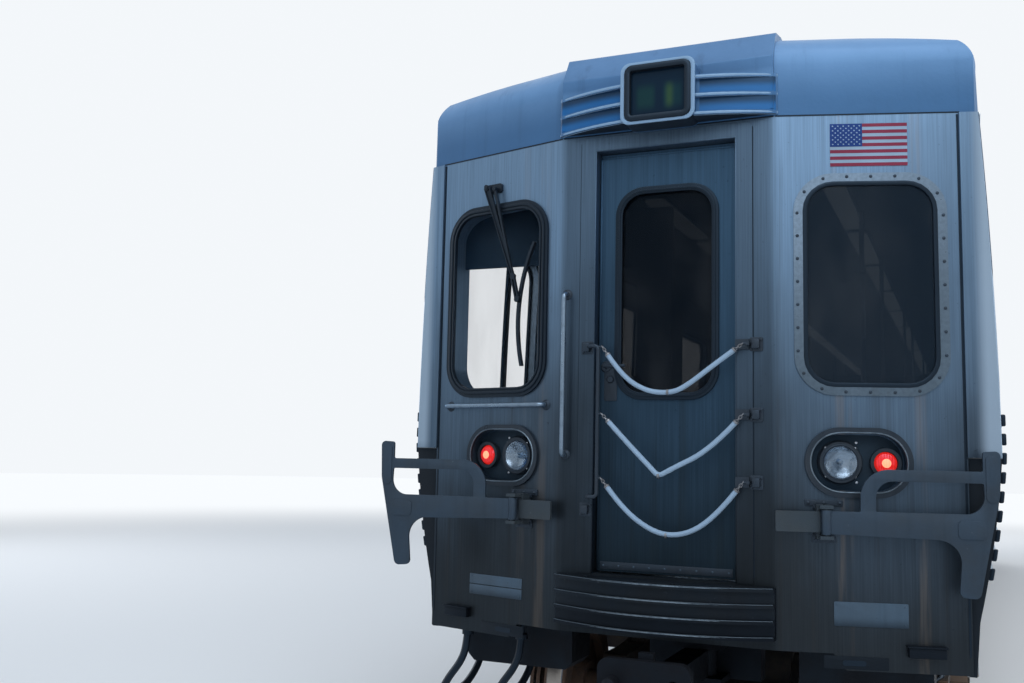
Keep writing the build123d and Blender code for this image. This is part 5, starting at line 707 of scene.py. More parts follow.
def stand(name: str, data: bpy.types.ID) -> bpy.types.Object:
    """Puts a new object in the scene.

    Args:
        name: Its name.
        data: Its data.

    Returns:
        The object.
    """
    made = bpy.data.objects.new(name, data)
    bpy.context.scene.collection.objects.link(made)
    return made


def settled(piece: bpy.types.Object) -> bpy.types.Mesh:
    """New mesh data with a piece's modifiers applied."""
    return bpy.data.meshes.new_from_object(piece.evaluated_get(bpy.context.evaluated_depsgraph_get()))


def block(size: Point, bevel: float = 0.0, segments: int = 2) -> Shape:
    """Box about the origin.

    Args:
        size: Its sizes.
        bevel: Rounding of its edges.
        segments: Facets across the rounding.

    Returns:
        The box.
    """
    part = bmesh.new()
    bmesh.ops.create_cube(part, size=1.0)
    bmesh.ops.scale(part, vec=Vector(size), verts=part.verts)
    return soften(part, bevel, segments)


def rod(radius: float, length: float, sides: int = 24, bevel: float = 0.0) -> Shape:
    """Bar along Z that starts at the origin.

    Args:
        radius: Its radius.
        length: Its length.
        sides: Facets round it.
        bevel: Rounding of its ends.

    Returns:
        The bar.
    """
    part = bmesh.new()
    bmesh.ops.create_cone(part, cap_ends=True, segments=sides, radius1=radius, radius2=radius, depth=length)
    bmesh.ops.translate(part, vec=(0.0, 0.0, length / 2), verts=part.verts)
    return soften(part, bevel, 2, max(28.0, 400.0 / sides))


def lathe(profile: Sequence[Point], steps: int = 32, closed: bool = False) -> Shape:
    """Shape turned about Z.

    Args:
        profile: Points as radius and height.
        steps: Facets round it.
        closed: Whether the profile's end joins its start.

    Returns:
        The turned mesh.
    """
    part = bmesh.new()
    points = [part.verts.new((radius, 0.0, height)) for radius, height in profile]
    pairs = list(zip(points, points[1:])) + ([(points[-1], points[0])] if closed else [])
    edges = [part.edges.new(pair) for pair in pairs]
    bmesh.ops.spin(part, geom=points + edges, cent=(0, 0, 0), axis=(0, 0, 1), angle=math.tau,
                   steps=steps, use_merge=True, use_duplicate=False)
    bmesh.ops.remove_doubles(part, verts=part.verts, dist=1e-6)
    bmesh.ops.recalc_face_normals(part, faces=part.faces)
    return part


def slab(width: float, height: float, radius: float, thickness: float, rim: float = 0.0, bevel: float = 0.0,
         corner: int = 6) -> Shape:
    """Plate in XY with rounded corners, from z 0 up.

    Args:
        width: Size along X.
        height: Size along Y.
        radius: Radius of its corners.
        thickness: Size along Z.
        rim: Width of the ring that is left, or 0 for a whole plate.
        bevel: Rounding of its edges.
        corner: Facets in each corner.

    Returns:
        The plate's mesh.
    """
    part = bmesh.new()
    bmesh.ops.create_grid(part, x_segments=1, y_segments=1, size=0.5)
    bmesh.ops.scale(part, vec=(width, height, 1.0), verts=part.verts)
    if radius:
        bmesh.ops.bevel(part, geom=part.verts[:], offset=radius, offset_type="OFFSET", affect="VERTICES",
                        segments=corner, profile=0.5, material=-1)
    if rim:
        inner = part.faces[:]
        bmesh.ops.inset_individual(part, faces=inner, thickness=rim, use_even_offset=True)
        bmesh.ops.delete(part, geom=inner, context="FACES")
    return soften(thicken(part, thickness), bevel, 2, 50.0)


def bolt(radius: float, height: float) -> Shape:
    """Hexagon head on a washer, standing on z 0.

    Args:
        radius: Radius of the head.
        height: Height of the head.

    Returns:
        The bolt.
    """
    part = rod(radius, height, 6, height * 0.15)
    washer = as_mesh(rod(radius * 1.35, height * 0.25, 12))
    part.from_mesh(washer)
    bpy.data.meshes.remove(washer)
    return part


def screw(radius: float, height: float) -> Shape:
    """Low domed screw head, standing on z 0."""
    return lathe(((radius, 0), (radius * 0.92, height * 0.5), (radius * 0.5, height * 0.95), (0, height)), 12)


def pipe(points: Sequence[Point], radius: float, fillet: float = 0.0, closed: bool = False,
         sides: int = 3, fine: int = 6) -> Shape:
    """Round bar along points.

    Args:
        points: Its route.
        radius: Its radius.
        fillet: How far before and after each corner the bend starts, or 0 for one smooth line.
        closed: Whether it ends where it starts.
        sides: Facets in a quarter of its section.
        fine: Steps between points of the route.

    Returns:
        The bar's mesh.
    """
    route = [Vector(p) for p in points]
    if fillet:
        bent = [route[0]]
        for before, corner, after in zip(route, route[1:], route[2:]):
            bent += [corner + (before - corner).normalized() * fillet, corner,
                     corner + (after - corner).normalized() * fillet]
        route = bent + [route[-1]]
    curve = bpy.data.curves.new("route", "CURVE")
    curve.dimensions = "3D"
    curve.bevel_depth = radius
    curve.bevel_resolution = sides
    curve.resolution_u = fine
    curve.use_fill_caps = True
    spline = curve.splines.new("NURBS")
    spline.points.add(len(route) - 1)
    for point, place in zip(spline.points, route):
        point.co = (*place, 1.0)
    spline.use_cyclic_u = closed
    spline.order_u = 3
    spline.use_endpoint_u = not closed
    holder = bpy.data.objects.new("route", curve)
    data = bpy.data.meshes.new_from_object(holder)
    part = bmesh.new()
    part.from_mesh(data)
    bpy.data.objects.remove(holder)
    bpy.data.curves.remove(curve)
    bpy.data.meshes.remove(data)
    bmesh.ops.remove_doubles(part, verts=part.verts, dist=1e-6)
    return part


def round_edge(width: float, height: float, radius: float, count: int) -> list[Pair]:
    """Places spaced evenly along a rounded rectangle about the origin.

    Args:
        width: Size along X.
        height: Size along Y.
        radius: Radius of its corners.
        count: How many places.

    Returns:
        The places as X and Y.
    """
    flat_x, flat_y, arc = width / 2 - radius, height / 2 - radius, math.pi * radius / 2
    legs = [(flat_x, flat_y), (flat_y, flat_x)] * 2
    total = sum(2 * half + arc for _, half in legs)
    places = []
    for number in range(count):
        run = total * number / count
        for quarter, (reach, half) in enumerate(legs):
            if run <= 2 * half + arc:
                break
            run -= 2 * half + arc
        x, y = reach + radius, run - half
        if run > 2 * half:
            bend = (run - 2 * half) / radius
            x, y = reach + radius * math.cos(bend), half + radius * math.sin(bend)
        cos, sin = math.cos(quarter * math.pi / 2), math.sin(quarter * math.pi / 2)
        places.append((x * cos - y * sin, x * sin + y * cos))
    return places


def wedge(width: float, height: float, depth: float) -> Shape:
    """Louvre blade that leans out towards its lower edge.

    Args:
        width: Its length.
        height: Its height.
        depth: How far it stands out.

    Returns:
        The blade.
    """
    part = block((width, height, depth))
    upper = [v for v in part.verts if v.co.y > 0 and v.co.z > 0]
    bmesh.ops.translate(part, vec=(0, 0, 0.002 - depth), verts=upper)
    bmesh.ops.translate(part, vec=(0, 0, depth / 2), verts=part.verts)
    return part


def at(x: float, y: float, z: float, face: Point = (0, 0, 1), turn: float = 0.0) -> Matrix:
    """Place whose Z looks along face, turned about it.

    Args:
        x: Place across the car.
        y: Place along the car.
        z: Height over the origin.
        face: Direction of the part's own Z.
        turn: Turn about that direction, in degrees.

    Returns:
        The place's matrix, with the part's Y as near to upright as it can be.
    """
    normal = Vector(face).normalized()
    up = Vector((0, 0, 1)) if abs(normal.z) < 0.95 else Vector((0, 1, 0))
    right = up.cross(normal).normalized()
    upright = normal.cross(right)
    turned = Matrix((right, upright, normal)).transposed().to_4x4()
    return Matrix.Translation((x, y, z)) @ turned @ Matrix.Rotation(math.radians(turn), 4, "Z")


def on_panel(side: int, along: float, height: float, out: float = 0.0, turn: float = 0.0) -> Matrix:
    """Place on a raked cab end panel.

    Args:
        side: 1 at +X and -1 at -X.
        along: Distance outwards from the door pillar's edge.
        height: Height over the floor.
        out: Distance in front of the panel.
        turn: Turn about the panel's normal, in degrees.

    Returns:
        The place's matrix, with Z out of the panel and Y up.
    """
    normal = Vector((side * RAKE_SIN, -RAKE_COS, 0.0))
    x = side * (PILLAR_X + along * RAKE_COS) + normal.x * out
    y = END_Y + along * RAKE_SIN + normal.y * out
    return at(x, y, FLOOR + height, normal, turn)


def circle_through(first: Point, middle: Point, last: Point) -> tuple[float, float, float]:
    """Circle through three points.

    Args:
        first: One point.
        middle: The next.
        last: The third.

    Returns:
        Its centre's two coordinates and its radius.
    """
    (ax, ay), (bx, by), (cx, cy) = first, middle, last
    a2, b2, c2 = ax * ax + ay * ay, bx * bx + by * by, cx * cx + cy * cy
    d = 2 * (ax * (by - cy) + bx * (cy - ay) + cx * (ay - by))
    x = (a2 * (by - cy) + b2 * (cy - ay) + c2 * (ay - by)) / d
    y = (a2 * (cx - bx) + b2 * (ax - cx) + c2 * (bx - ax)) / d
    return x, y, math.hypot(ax - x, ay - y)


LOWER_ARC = circle_through((1.285, -0.12), (1.345, 0.2), (1.385, 0.56))
UPPER_ARC = circle_through((1.385, 0.56), (1.368, 1.3), (1.329, 2.05))


def bowed(half: float, end_y: float, bow: float, start: float, stop: float, count: int) -> list[Pair]:
    """Places on a bowed front, seen from above.

    Args:
        half: Half width of the whole bow.
        end_y: Place of its ends along the car.
        bow: How far its middle lies in front of its ends.
        start: Where the places start across the car.
        stop: Where they stop.
        count: How many places.

    Returns:
        The places as X and Y.
    """
    _, middle, radius = circle_through((-half, end_y), (0.0, end_y - bow), (half, end_y))
    across = [start + (stop - start) * number / (count - 1) for number in range(count)]
    return [(x, middle - math.sqrt(radius**2 - x * x)) for x in across]


def skin_x(height: float) -> float:
    """Half width of the side's skin.

    Args:
        height: Height over the floor.

    Returns:
        Distance of the skin from the middle.
    """
    if height <= -0.12:
        return 1.268 + (height + 0.345) / 0.225 * 0.017
    x, z, radius = LOWER_ARC if height <= 0.56 else UPPER_ARC
    return x + math.sqrt(radius**2 - (height - z) ** 2)


def wrap(part: Shape, side: int, y: float, height: float, out: float = 0.0, cuts: int = 0) -> Shape:
    """Lays a flat part on a side's curved skin.

    Args:
        part: The part, with X along the car, Y up and Z out of the skin.
        side: 1 at +X and -1 at -X.
        y: Its place along the car.
        height: Its height over the floor.
        out: Distance in front of the skin.
        cuts: Cuts across its upright edges, so that they bend.

    Returns:
        The same part in its place.
    """
    if cuts:
        bendable(part, cuts)
    for vertex in part.verts:
        along, up, proud = vertex.co
        x = skin_x(height + up) + out + proud
        vertex.co = (side * x, y + side * along, FLOOR + height + up)
    return part


def on_side(side: int, y: float, height: float, out: float = 0.0) -> Matrix:
    """Place on a side's skin.

    Args:
        side: 1 at +X and -1 at -X.
        y: Its place along the car.
        height: Its height over the floor.
        out: Distance in front of the skin.

    Returns:
        The place's matrix, with Z out of the skin and Y up.
    """
    slope = (skin_x(height + 0.02) - skin_x(height - 0.02)) / 0.04
    normal = Vector((side, 0.0, -slope)).normalized()
    x = side * skin_x(height)
    return at(x + normal.x * out, y, FLOOR + height + normal.z * out, normal)


def on_end(way: int, x: float, height: float, out: float = 0.0) -> Matrix:
    """Place on the flat middle of the cab end, way -1, or the rear end, way 1, that looks outwards."""
    return at(x, (END_Y if way < 0 else REAR_Y) + out * way, FLOOR + height, (0, way, 0))


def round_place(place: Matrix, radius: float, count: int, out: float, start: float = 0.0) -> list[Matrix]:
    """Places evenly round another, the first turned by start in degrees, and out along its Z."""
    turns = (math.radians(start) + math.tau * number / count for number in range(count))
    return [place @ Matrix.Translation((radius * math.cos(a), radius * math.sin(a), out)) for a in turns]


class Mould:
    """A piece in the making, gathered from shaped parts."""

    def __init__(self) -> None:
        """Starts empty."""
        self.mesh = bmesh.new()

    def put(self, part: Shape, *places: Matrix) -> Mould:
        """Adds a part and frees it.

        Args:
            part: The part.
            places: Where it is put, or none to leave it where it is.

        Returns:
            The piece itself.
        """
        data = as_mesh(part)
        for place in places or (Matrix.Identity(4),):
            data.transform(place)
            if place.is_negative:
                data.flip_normals()
            self.mesh.from_mesh(data)
            if place.is_negative:
                data.flip_normals()
            data.transform(place.inverted())
        bpy.data.meshes.remove(data)
        return self

    def show(self, name: str, finish: Finish, body: str = CARBODY, smooth: float = 34.0) -> bpy.types.Object:
        """Makes the piece an object that rides on a body.

        Args:
            name: The piece's name.
            finish: Its finish.
            body: The body that it moves with.
            smooth: Greatest angle, in degrees, that is shaded smooth.

        Returns:
            The piece's object.
        """
        data = as_mesh(self.mesh, name)
        data.materials.append(finish.material())
        data.shade_smooth()
        data.set_sharp_from_angle(angle=math.radians(smooth))
        piece = stand(name, data)
        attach(piece, body)
        logging.info("%s: %d faces on %s", name, len(data.polygons), body)
        return piece


def merged(node: str) -> Shape:
    """A CAD node's mesh with its triangles joined.

    Args:
        node: The node.

    Returns:
        A copy of its mesh.
    """
    part = bmesh.new()
    part.from_mesh(frame["nodes"][node].data)
    bmesh.ops.remove_doubles(part, verts=part.verts, dist=WELD)
    return part


def tallness(group: Iterable[bmesh.types.BMFace]) -> float:
    """Height of a group of faces."""
    heights = [v.co.z for f in group for v in f.verts]
    return max(heights) - min(heights)


def islands(source: Shape) -> list[set[bmesh.types.BMFace]]:
    """Connected groups of faces.

    Args:
        source: The mesh.

    Returns:
        The groups, tallest first, and those of one height in the mesh's order.
    """
    left, groups = set(source.faces), []
    for first in source.faces:
        if first not in left:
            continue
        left.remove(first)
        group, edge = set(), [first]
        while edge:
            face = edge.pop()
            group.add(face)
            near = {other for e in face.edges for other in e.link_faces} & left
            left -= near
            edge += near
        groups.append(group)
    return sorted(groups, key=tallness, reverse=True)


def cut_out(source: Shape, faces: Iterable[bmesh.types.BMFace]) -> Shape:
    """Copies some of a mesh's faces.

    Args:
        source: The mesh.
        faces: The faces.

    Returns:
        The copy.
    """
    source.faces.index_update()
    wanted = {f.index for f in faces}
    part = source.copy()
    bmesh.ops.delete(part, geom=[f for f in part.faces if f.index not in wanted], context="FACES")
    return part


def recast(node: str, name: str, finishes: Sequence[Finish], bevel: float = 0.0) -> None:
    """Copies a CAD node as pieces that stand for it, one for each of its first solids and one for the rest.

    Args:
        node: The node.
        name: Start of the pieces' names.
        finishes: Finish of each piece; the last one covers all the solids that are left.
        bevel: Rounding of the pieces' sharp edges.
    """
    source, pieces = merged(node), []
    groups = islands(source)
    for number, finish in enumerate(finishes):
        kept = groups[number:] if number == len(finishes) - 1 else groups[number : number + 1]
        part = cut_out(source, set().union(*kept))
        bmesh.ops.dissolve_limit(part, angle_limit=math.radians(0.5), verts=part.verts, edges=part.edges)
        soften(part, bevel, 2, 40.0)
        bmesh.ops.recalc_face_normals(part, faces=part.faces)
        pieces.append(Mould().put(part).show(f"{name}_{number + 1}", finish, frame["nodes"][node]["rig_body"]))
    source.free()
    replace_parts(pieces[0], node)


# The car


@dataclass
class Studio:
    """Floor, soft light and camera.

    The camera's angles are in degrees, and its focal length is in pixels of the photograph. The floor fades
    into the backdrop between the two distances of fade. A lamp has a name, place, aim, width, power and colour.
    """

    eye: tuple[float, float, float] = (1.267, -12.715, 1.649)
    yaw: float = -23.838
    pitch: float = 6.286
    roll: float = 1.261
    focal_pixels: float = 1040.0
    picture_width: float = 1024.0
    floor_tone: Tone = (0.8, 0.805, 0.81)
    fade: Pair = (10.0, 24.0)
    backdrop_tone: Tone = (0.9, 0.93, 0.96)
    sky_tone: Tone = (0.78, 0.88, 1.0)
    sky_strength: float = 0.55
    lamps: tuple[tuple[str, Point, Point, float, float, Tone], ...] = (
        ("sky_panel", (2.0, -13.0, 9.0), (0.0, -7.0, 1.8), 9.0, 620.0, (0.86, 0.93, 1.0)),
        ("side_panel", (12.0, -2.0, 7.5), (0.0, 0.0, 1.8), 12.0, 700.0, (1.0, 0.98, 0.95)),
        ("far_side_panel", (-13.0, -3.0, 7.5), (0.0, 0.0, 1.8), 12.0, 520.0, (0.95, 0.97, 1.0)),
        ("far_end_panel", (-2.0, 15.0, 7.0), (0.0, 7.0, 1.8), 8.0, 420.0, (1.0, 1.0, 1.0)),
    )

    def build(self) -> None:
        """Makes the camera, the floor, the world and the lamps."""
        self.add_camera()
        self.add_floor()
        self.add_world()
        self.add_lamps()

    def add_camera(self) -> None:
        """Places the camera where the photographer stood."""
        yaw, pitch, roll = (math.radians(a) for a in (self.yaw, self.pitch, self.roll))
        ahead = Vector((math.sin(yaw) * math.cos(pitch), math.cos(yaw) * math.cos(pitch), math.sin(pitch)))
        right = Vector((math.cos(yaw), -math.sin(yaw), 0.0))
        above = right.cross(ahead)
        tilted_right = right * math.cos(roll) + above * math.sin(roll)
        tilted_up = tilted_right.cross(ahead)
        data = bpy.data.cameras.new("camera")
        data.sensor_width = 36.0
        data.lens = 36.0 * self.focal_pixels / self.picture_width
        data.clip_end = 200.0
        camera = stand("camera", data)
        turned = Matrix((tilted_right, tilted_up, -ahead)).transposed().to_4x4()
        camera.matrix_world = Matrix.Translation(self.eye) @ turned
        bpy.context.scene.camera = camera

    def add_floor(self) -> None:
        """Lays the pale floor, which glows like the backdrop far out."""
        w = Wiring("studio_floor")
        w.set("Specular IOR Level", 0.1)
        x, y = w.axis("X"), w.axis("Y")
        reach = w.math("SQRT", w.math("ADD", w.both(x, x), w.both(y, y)))
        far = w.span(reach, *self.fade)
        w.paint(w.mix(far, self.floor_tone, (0.0, 0.0, 0.0)), 0.8)
        w.set("Emission Color", self.backdrop_tone)
        w.set("Emission Strength", far)
        part = bmesh.new()
        bmesh.ops.create_circle(part, cap_ends=True, segments=64, radius=60.0)
        floor = stand("studio_floor", as_mesh(part, "studio_floor"))
        floor.data.materials.append(w.material)

    def add_world(self) -> None:
        """Makes the world's soft light, and the pale background behind it."""
        world = bpy.data.worlds.new("studio_sky")
        world.use_nodes = True
        bpy.context.scene.world = world
        nodes, links = world.node_tree.nodes, world.node_tree.links
        seen, mixed = nodes.new("ShaderNodeLightPath"), nodes.new("ShaderNodeMixShader")
        light, backdrop = nodes["Background"], nodes.new("ShaderNodeBackground")
        for panel, tone, strength in ((light, self.sky_tone, self.sky_strength), (backdrop, self.backdrop_tone, 1.0)):
            panel.inputs["Color"].default_value = (*tone, 1.0)
            panel.inputs["Strength"].default_value = strength
        share = seen.outputs["Is Camera Ray"]
        for ray in ("Is Glossy Ray", "Is Transmission Ray"):
            either = nodes.new("ShaderNodeMath")
            either.operation = "MAXIMUM"
            links.new(share, either.inputs[0])
            links.new(seen.outputs[ray], either.inputs[1])
            share = either.outputs[0]
        for number, source in enumerate((share, light.outputs[0], backdrop.outputs[0])):
            links.new(source, mixed.inputs[number])
        links.new(mixed.outputs[0], nodes["World Output"].inputs["Surface"])

    def add_lamps(self) -> None:
        """Hangs the soft lamps."""
        for name, place, aim, size, power, tone in self.lamps:
            data = bpy.data.lights.new(name, "AREA")
            data.shape = "DISK"
            data.size, data.energy, data.color = size, power, tone
            turned = (Vector(aim) - Vector(place)).to_track_quat("-Z", "Y").to_matrix().to_4x4()
            stand(name, data).matrix_world = Matrix.Translation(place) @ turned


@dataclass
class EndPanels:
    """What is fixed to the two raked panels of the cab end, placed along the panel and over the floor."""

    window_along: float = 0.398
    frame_size: Pair = (0.612, 0.942)
    frame_screws: int = 28
    flag_middle: Pair = (0.399, 1.9105)
    flag_size: Pair = (0.326, 0.191)
    plate_size: Pair = (0.33, 0.1)

    def build(self) -> None:
        """Makes the panels' fittings."""
        self.dress_windows()
        self.dress_seams()
        self.fix_flag()
        self.fix_plates()
        self.fix_rails()

    def dress_windows(self) -> None:
        """Screws round the bolted frame, and the rubbers in both windows."""
        centre = (self.window_along, END_WINDOW_HEIGHT)
        screws = [on_panel(1, centre[0] + x, centre[1] + y, 0.0068)
                  for x, y in round_edge(*self.frame_size, 0.16, self.frame_screws)]
        Mould().put(screw(0.0075, 0.004), *screws).show("frame_screws", DARK_STEEL)
        inner = slab(0.566, 0.902, 0.13, 0.02, 0.02, 0.004)
        Mould().put(inner, on_panel(1, *centre, -0.01)).show("right_window_rubber", RUBBER)
        lips = Mould()
        for width, height, radius, rim in ((*self.frame_size, 0.15, 0.014), (0.572, 0.902, 0.134, 0.01)):
            lips.put(slab(width, height, radius, 0.006, rim, 0.0025), on_panel(-1, *centre, 0.0125))
        lips.show("windscreen_lips", RUBBER)

    def dress_seams(self) -> None:
        """Dark joints between the panels, the corner covers and the cap."""
        seams = Mould()
        for side in SIDES:
            seams.put(block((0.009, 2.3, 0.004)), on_panel(side, 0.772, 0.89))
            seams.put(block((0.004, 0.003, 1.985)), at(side * 0.405, END_Y - 0.0005, FLOOR + 1.02))
            seams.put(block((0.78, 0.006, 0.004)), on_panel(side, 0.392, 2.049))
        seams.put(block((0.995, 0.004, 0.006)), at(0.0, END_Y, FLOOR + 2.049))
        seams.show("end_seams", RUBBER)

    def fix_flag(self) -> None:
        """Lays the flag's stripes, canton and stars on the right panel."""
        width, height = self.flag_size
        along, up = self.flag_middle
        stripe, sheet = height / 13, 0.0012
        wide, tall = width * 0.42, stripe * 7
        left, top = along - width / 2, up + height / 2
        Mould().put(block((width, height, sheet)), on_panel(1, along, up, sheet)).show("flag_field", FLAG_WHITE)
        rows = [on_panel(1, along, top - stripe * (number + 0.5), 1.5 * sheet) for number in range(0, 13, 2)]
        Mould().put(block((width, stripe, sheet)), *rows).show("flag_stripes", FLAG_RED)
        corner = on_panel(1, left + wide / 2, top - tall / 2, 2 * sheet)
        Mould().put(block((wide, tall, sheet)), corner).show("flag_canton", FLAG_BLUE)
        stars = Mould()
        for row in range(9):
            odd = row % 2
            for column in range(6 - odd):
                x = left + wide * (column + 0.5 + 0.5 * odd) / 6
                stars.put(self.star(0.0046), on_panel(1, x, top - tall * (row + 1) / 10, 2.5 * sheet))
        stars.show("flag_stars", FLAG_WHITE)

    def star(self, radius: float) -> Shape:
        """Flat star with five points.

        Args:
            radius: Its radius.

        Returns:
            The star.
        """
        part = bmesh.new()
        bmesh.ops.create_circle(part, cap_ends=True, segments=10, radius=radius)
        part.verts.ensure_lookup_table()
        bmesh.ops.scale(part, vec=(0.42, 0.42, 1.0), verts=[v for v in part.verts if v.index % 2])
        return thicken(part, 0.0008)

    def fix_plates(self) -> None:
        """Blank plates, step pads and the flaps' slots low on the panels."""
        plates, rivets, pads, slots, flaps = (Mould() for _ in range(5))
        width, height = self.plate_size
        plates.put(slab(width - 0.03, height, 0.006, 0.003, 0.0, 0.0008), on_panel(1, 0.38, -0.105))
        for up in (-0.08, -0.131):
            plates.put(slab(width, 0.047, 0.004, 0.003, 0.0, 0.0008), on_panel(-1, 0.365, up))
        for side, middle, reach in ((-1, 0.365, 0.15), (1, 0.38, 0.1365)):
            for x, y in product((-reach, reach), (-0.143, -0.067)):
                rivets.put(screw(0.0045, 0.002), on_panel(side, middle + x, y, 0.003))
            pads.put(block((0.15, 0.044, 0.034), 0.005), on_panel(side, 0.598, -0.247, 0.015))
            pads.put(block((0.16, 0.007, 0.042), 0.002), on_panel(side, 0.598, -0.224, 0.019))
            flaps.put(slab(0.262, 0.052, 0.005, 0.003, 0.0, 0.001), on_panel(side, 0.318, -0.303))
            slots.put(slab(0.095, 0.022, 0.01, 0.0015), on_panel(side, 0.31, -0.304, 0.0025))
        plates.show("blank_plates", PLATE)
        rivets.show("plate_rivets", PLATE)
        pads.show("step_pads", DARK_STEEL)
        slots.show("flap_slots", RUBBER)
        flaps.show("flap_plates", BRACKET)

    def fix_rails(self) -> None:
        """Round flanges and collars at the grab rails' feet."""
        flange = ((0.0, 0.016), (0.0135, 0.016), (0.0145, 0.01), (0.023, 0.005), (0.026, 0.0), (0.0, 0.0))
        feet = [on_panel(-1, along, 0.766) for along in (0.075, 0.69)]
        for up in (0.532, 1.286):
            feet += [on_end(way, x, up) for way, x in ((-1, -0.468), (1, -0.468), (1, 0.468))]
        Mould().put(lathe(flange, 24), *feet).show("rail_flanges", DARK_STEEL)


@dataclass
class EndLamps:
    """Head and tail lamps in their oval bezels, placed along the panel and over the floor.

    Their outlines, as radius and height over the recess plate's face, are those of the headlamp's rim, reflector,
    bulb shade and lens, and of the tail lamp's rim, lens and bright heart.
    """

    along: float = 0.338
    height: float = 0.525
    head_along: float = 0.268
    tail_along: float = 0.455
    face: float = -0.0485
    head: tuple[tuple[Point, ...], ...] = (
        ((0.07, 0.0), (0.094, 0.0), (0.094, 0.014), (0.088, 0.022), (0.079, 0.03), (0.073, 0.032), (0.069, 0.028)),
        ((0.0, 0.001), (0.018, 0.002), (0.04, 0.008), (0.058, 0.017), (0.0685, 0.027)),
        ((0.0, 0.026), (0.008, 0.024), (0.011, 0.016), (0.012, 0.002), (0.0, 0.002)),
        ((0.0, 0.042), (0.03, 0.04), (0.055, 0.035), (0.0695, 0.028), (0.0695, 0.024), (0.054, 0.031), (0.03, 0.036),
         (0.0, 0.038)),
    )
    tail: tuple[tuple[Point, ...], ...] = (
        ((0.048, 0.0), (0.062, 0.0), (0.062, 0.016), (0.057, 0.026), (0.05, 0.028), (0.048, 0.02)),
        ((0.0, 0.04), (0.022, 0.038), (0.04, 0.031), (0.0475, 0.02), (0.0475, 0.004), (0.0, 0.004)),
        ((0.0, 0.0435), (0.01, 0.0425), (0.019, 0.039), (0.019, 0.037), (0.0, 0.037)),
    )

    def build(self) -> None:
        """Makes the recess plates, the lamps' rings, reflectors and lenses."""
        plates, screws, rims, bowls, lenses, reds, hearts, beads = (Mould() for _ in range(8))
        low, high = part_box("lamp_bezels")
        for side in SIDES:
            # Painted highlights: two pale rings on each bezel's edges.
            for half, out in (((high.z - low.z) / 2 - 0.004, 0.01), (0.126, 0.014)):
                outline = round_edge(0.15 + 2 * half, 2 * half, half, 28)
                line = [on_panel(side, self.along + x, self.height + y, out).translation for x, y in outline]
                beads.put(pipe(line, 0.0034, closed=True, sides=1, fine=2))
            plate = slab(0.386, 0.236, 0.117, 0.003, 0.0, 0.001, 10)
            plates.put(plate, on_panel(side, self.along, self.height, self.face - 0.003))
            for x, y in ((-0.158, 0.0), (0.0, 0.085), (0.0, -0.085), (0.158, 0.03)):
                screws.put(screw(0.006, 0.003), on_panel(side, self.along + x, self.height + y, self.face))
            head, tail = (on_panel(side, x, self.height, self.face) for x in (self.head_along, self.tail_along))
            screws.put(screw(0.005, 0.003), *round_place(head, 0.0865, 4, 0.0235, 45.0))
            rims.put(lathe(self.head[0], 40, True), head).put(lathe(self.tail[0], 32, True), tail)
            bowls.put(lathe(self.head[1], 40), head).put(lathe(self.head[2], 20), head)
            lenses.put(lathe(self.head[3], 40), head)
            reds.put(lathe(self.tail[1], 32), tail)
            hearts.put(lathe(self.tail[2], 20), tail)
        plates.show("lamp_plates", RECESS)
        screws.show("lamp_screws", RAIL)
        rims.show("lamp_rims", DARK_STEEL)
        bowls.show("lamp_reflectors", REFLECTOR)
        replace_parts(lenses.show("headlamp_lenses", LAMP_GLASS), "headlamps")
        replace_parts(reds.show("tail_lenses", RED_LENS), "tail_lamps")
        hearts.show("tail_hearts", RED_HEART)
        beads.show("bezel_beads", EDGE_HIGHLIGHT)


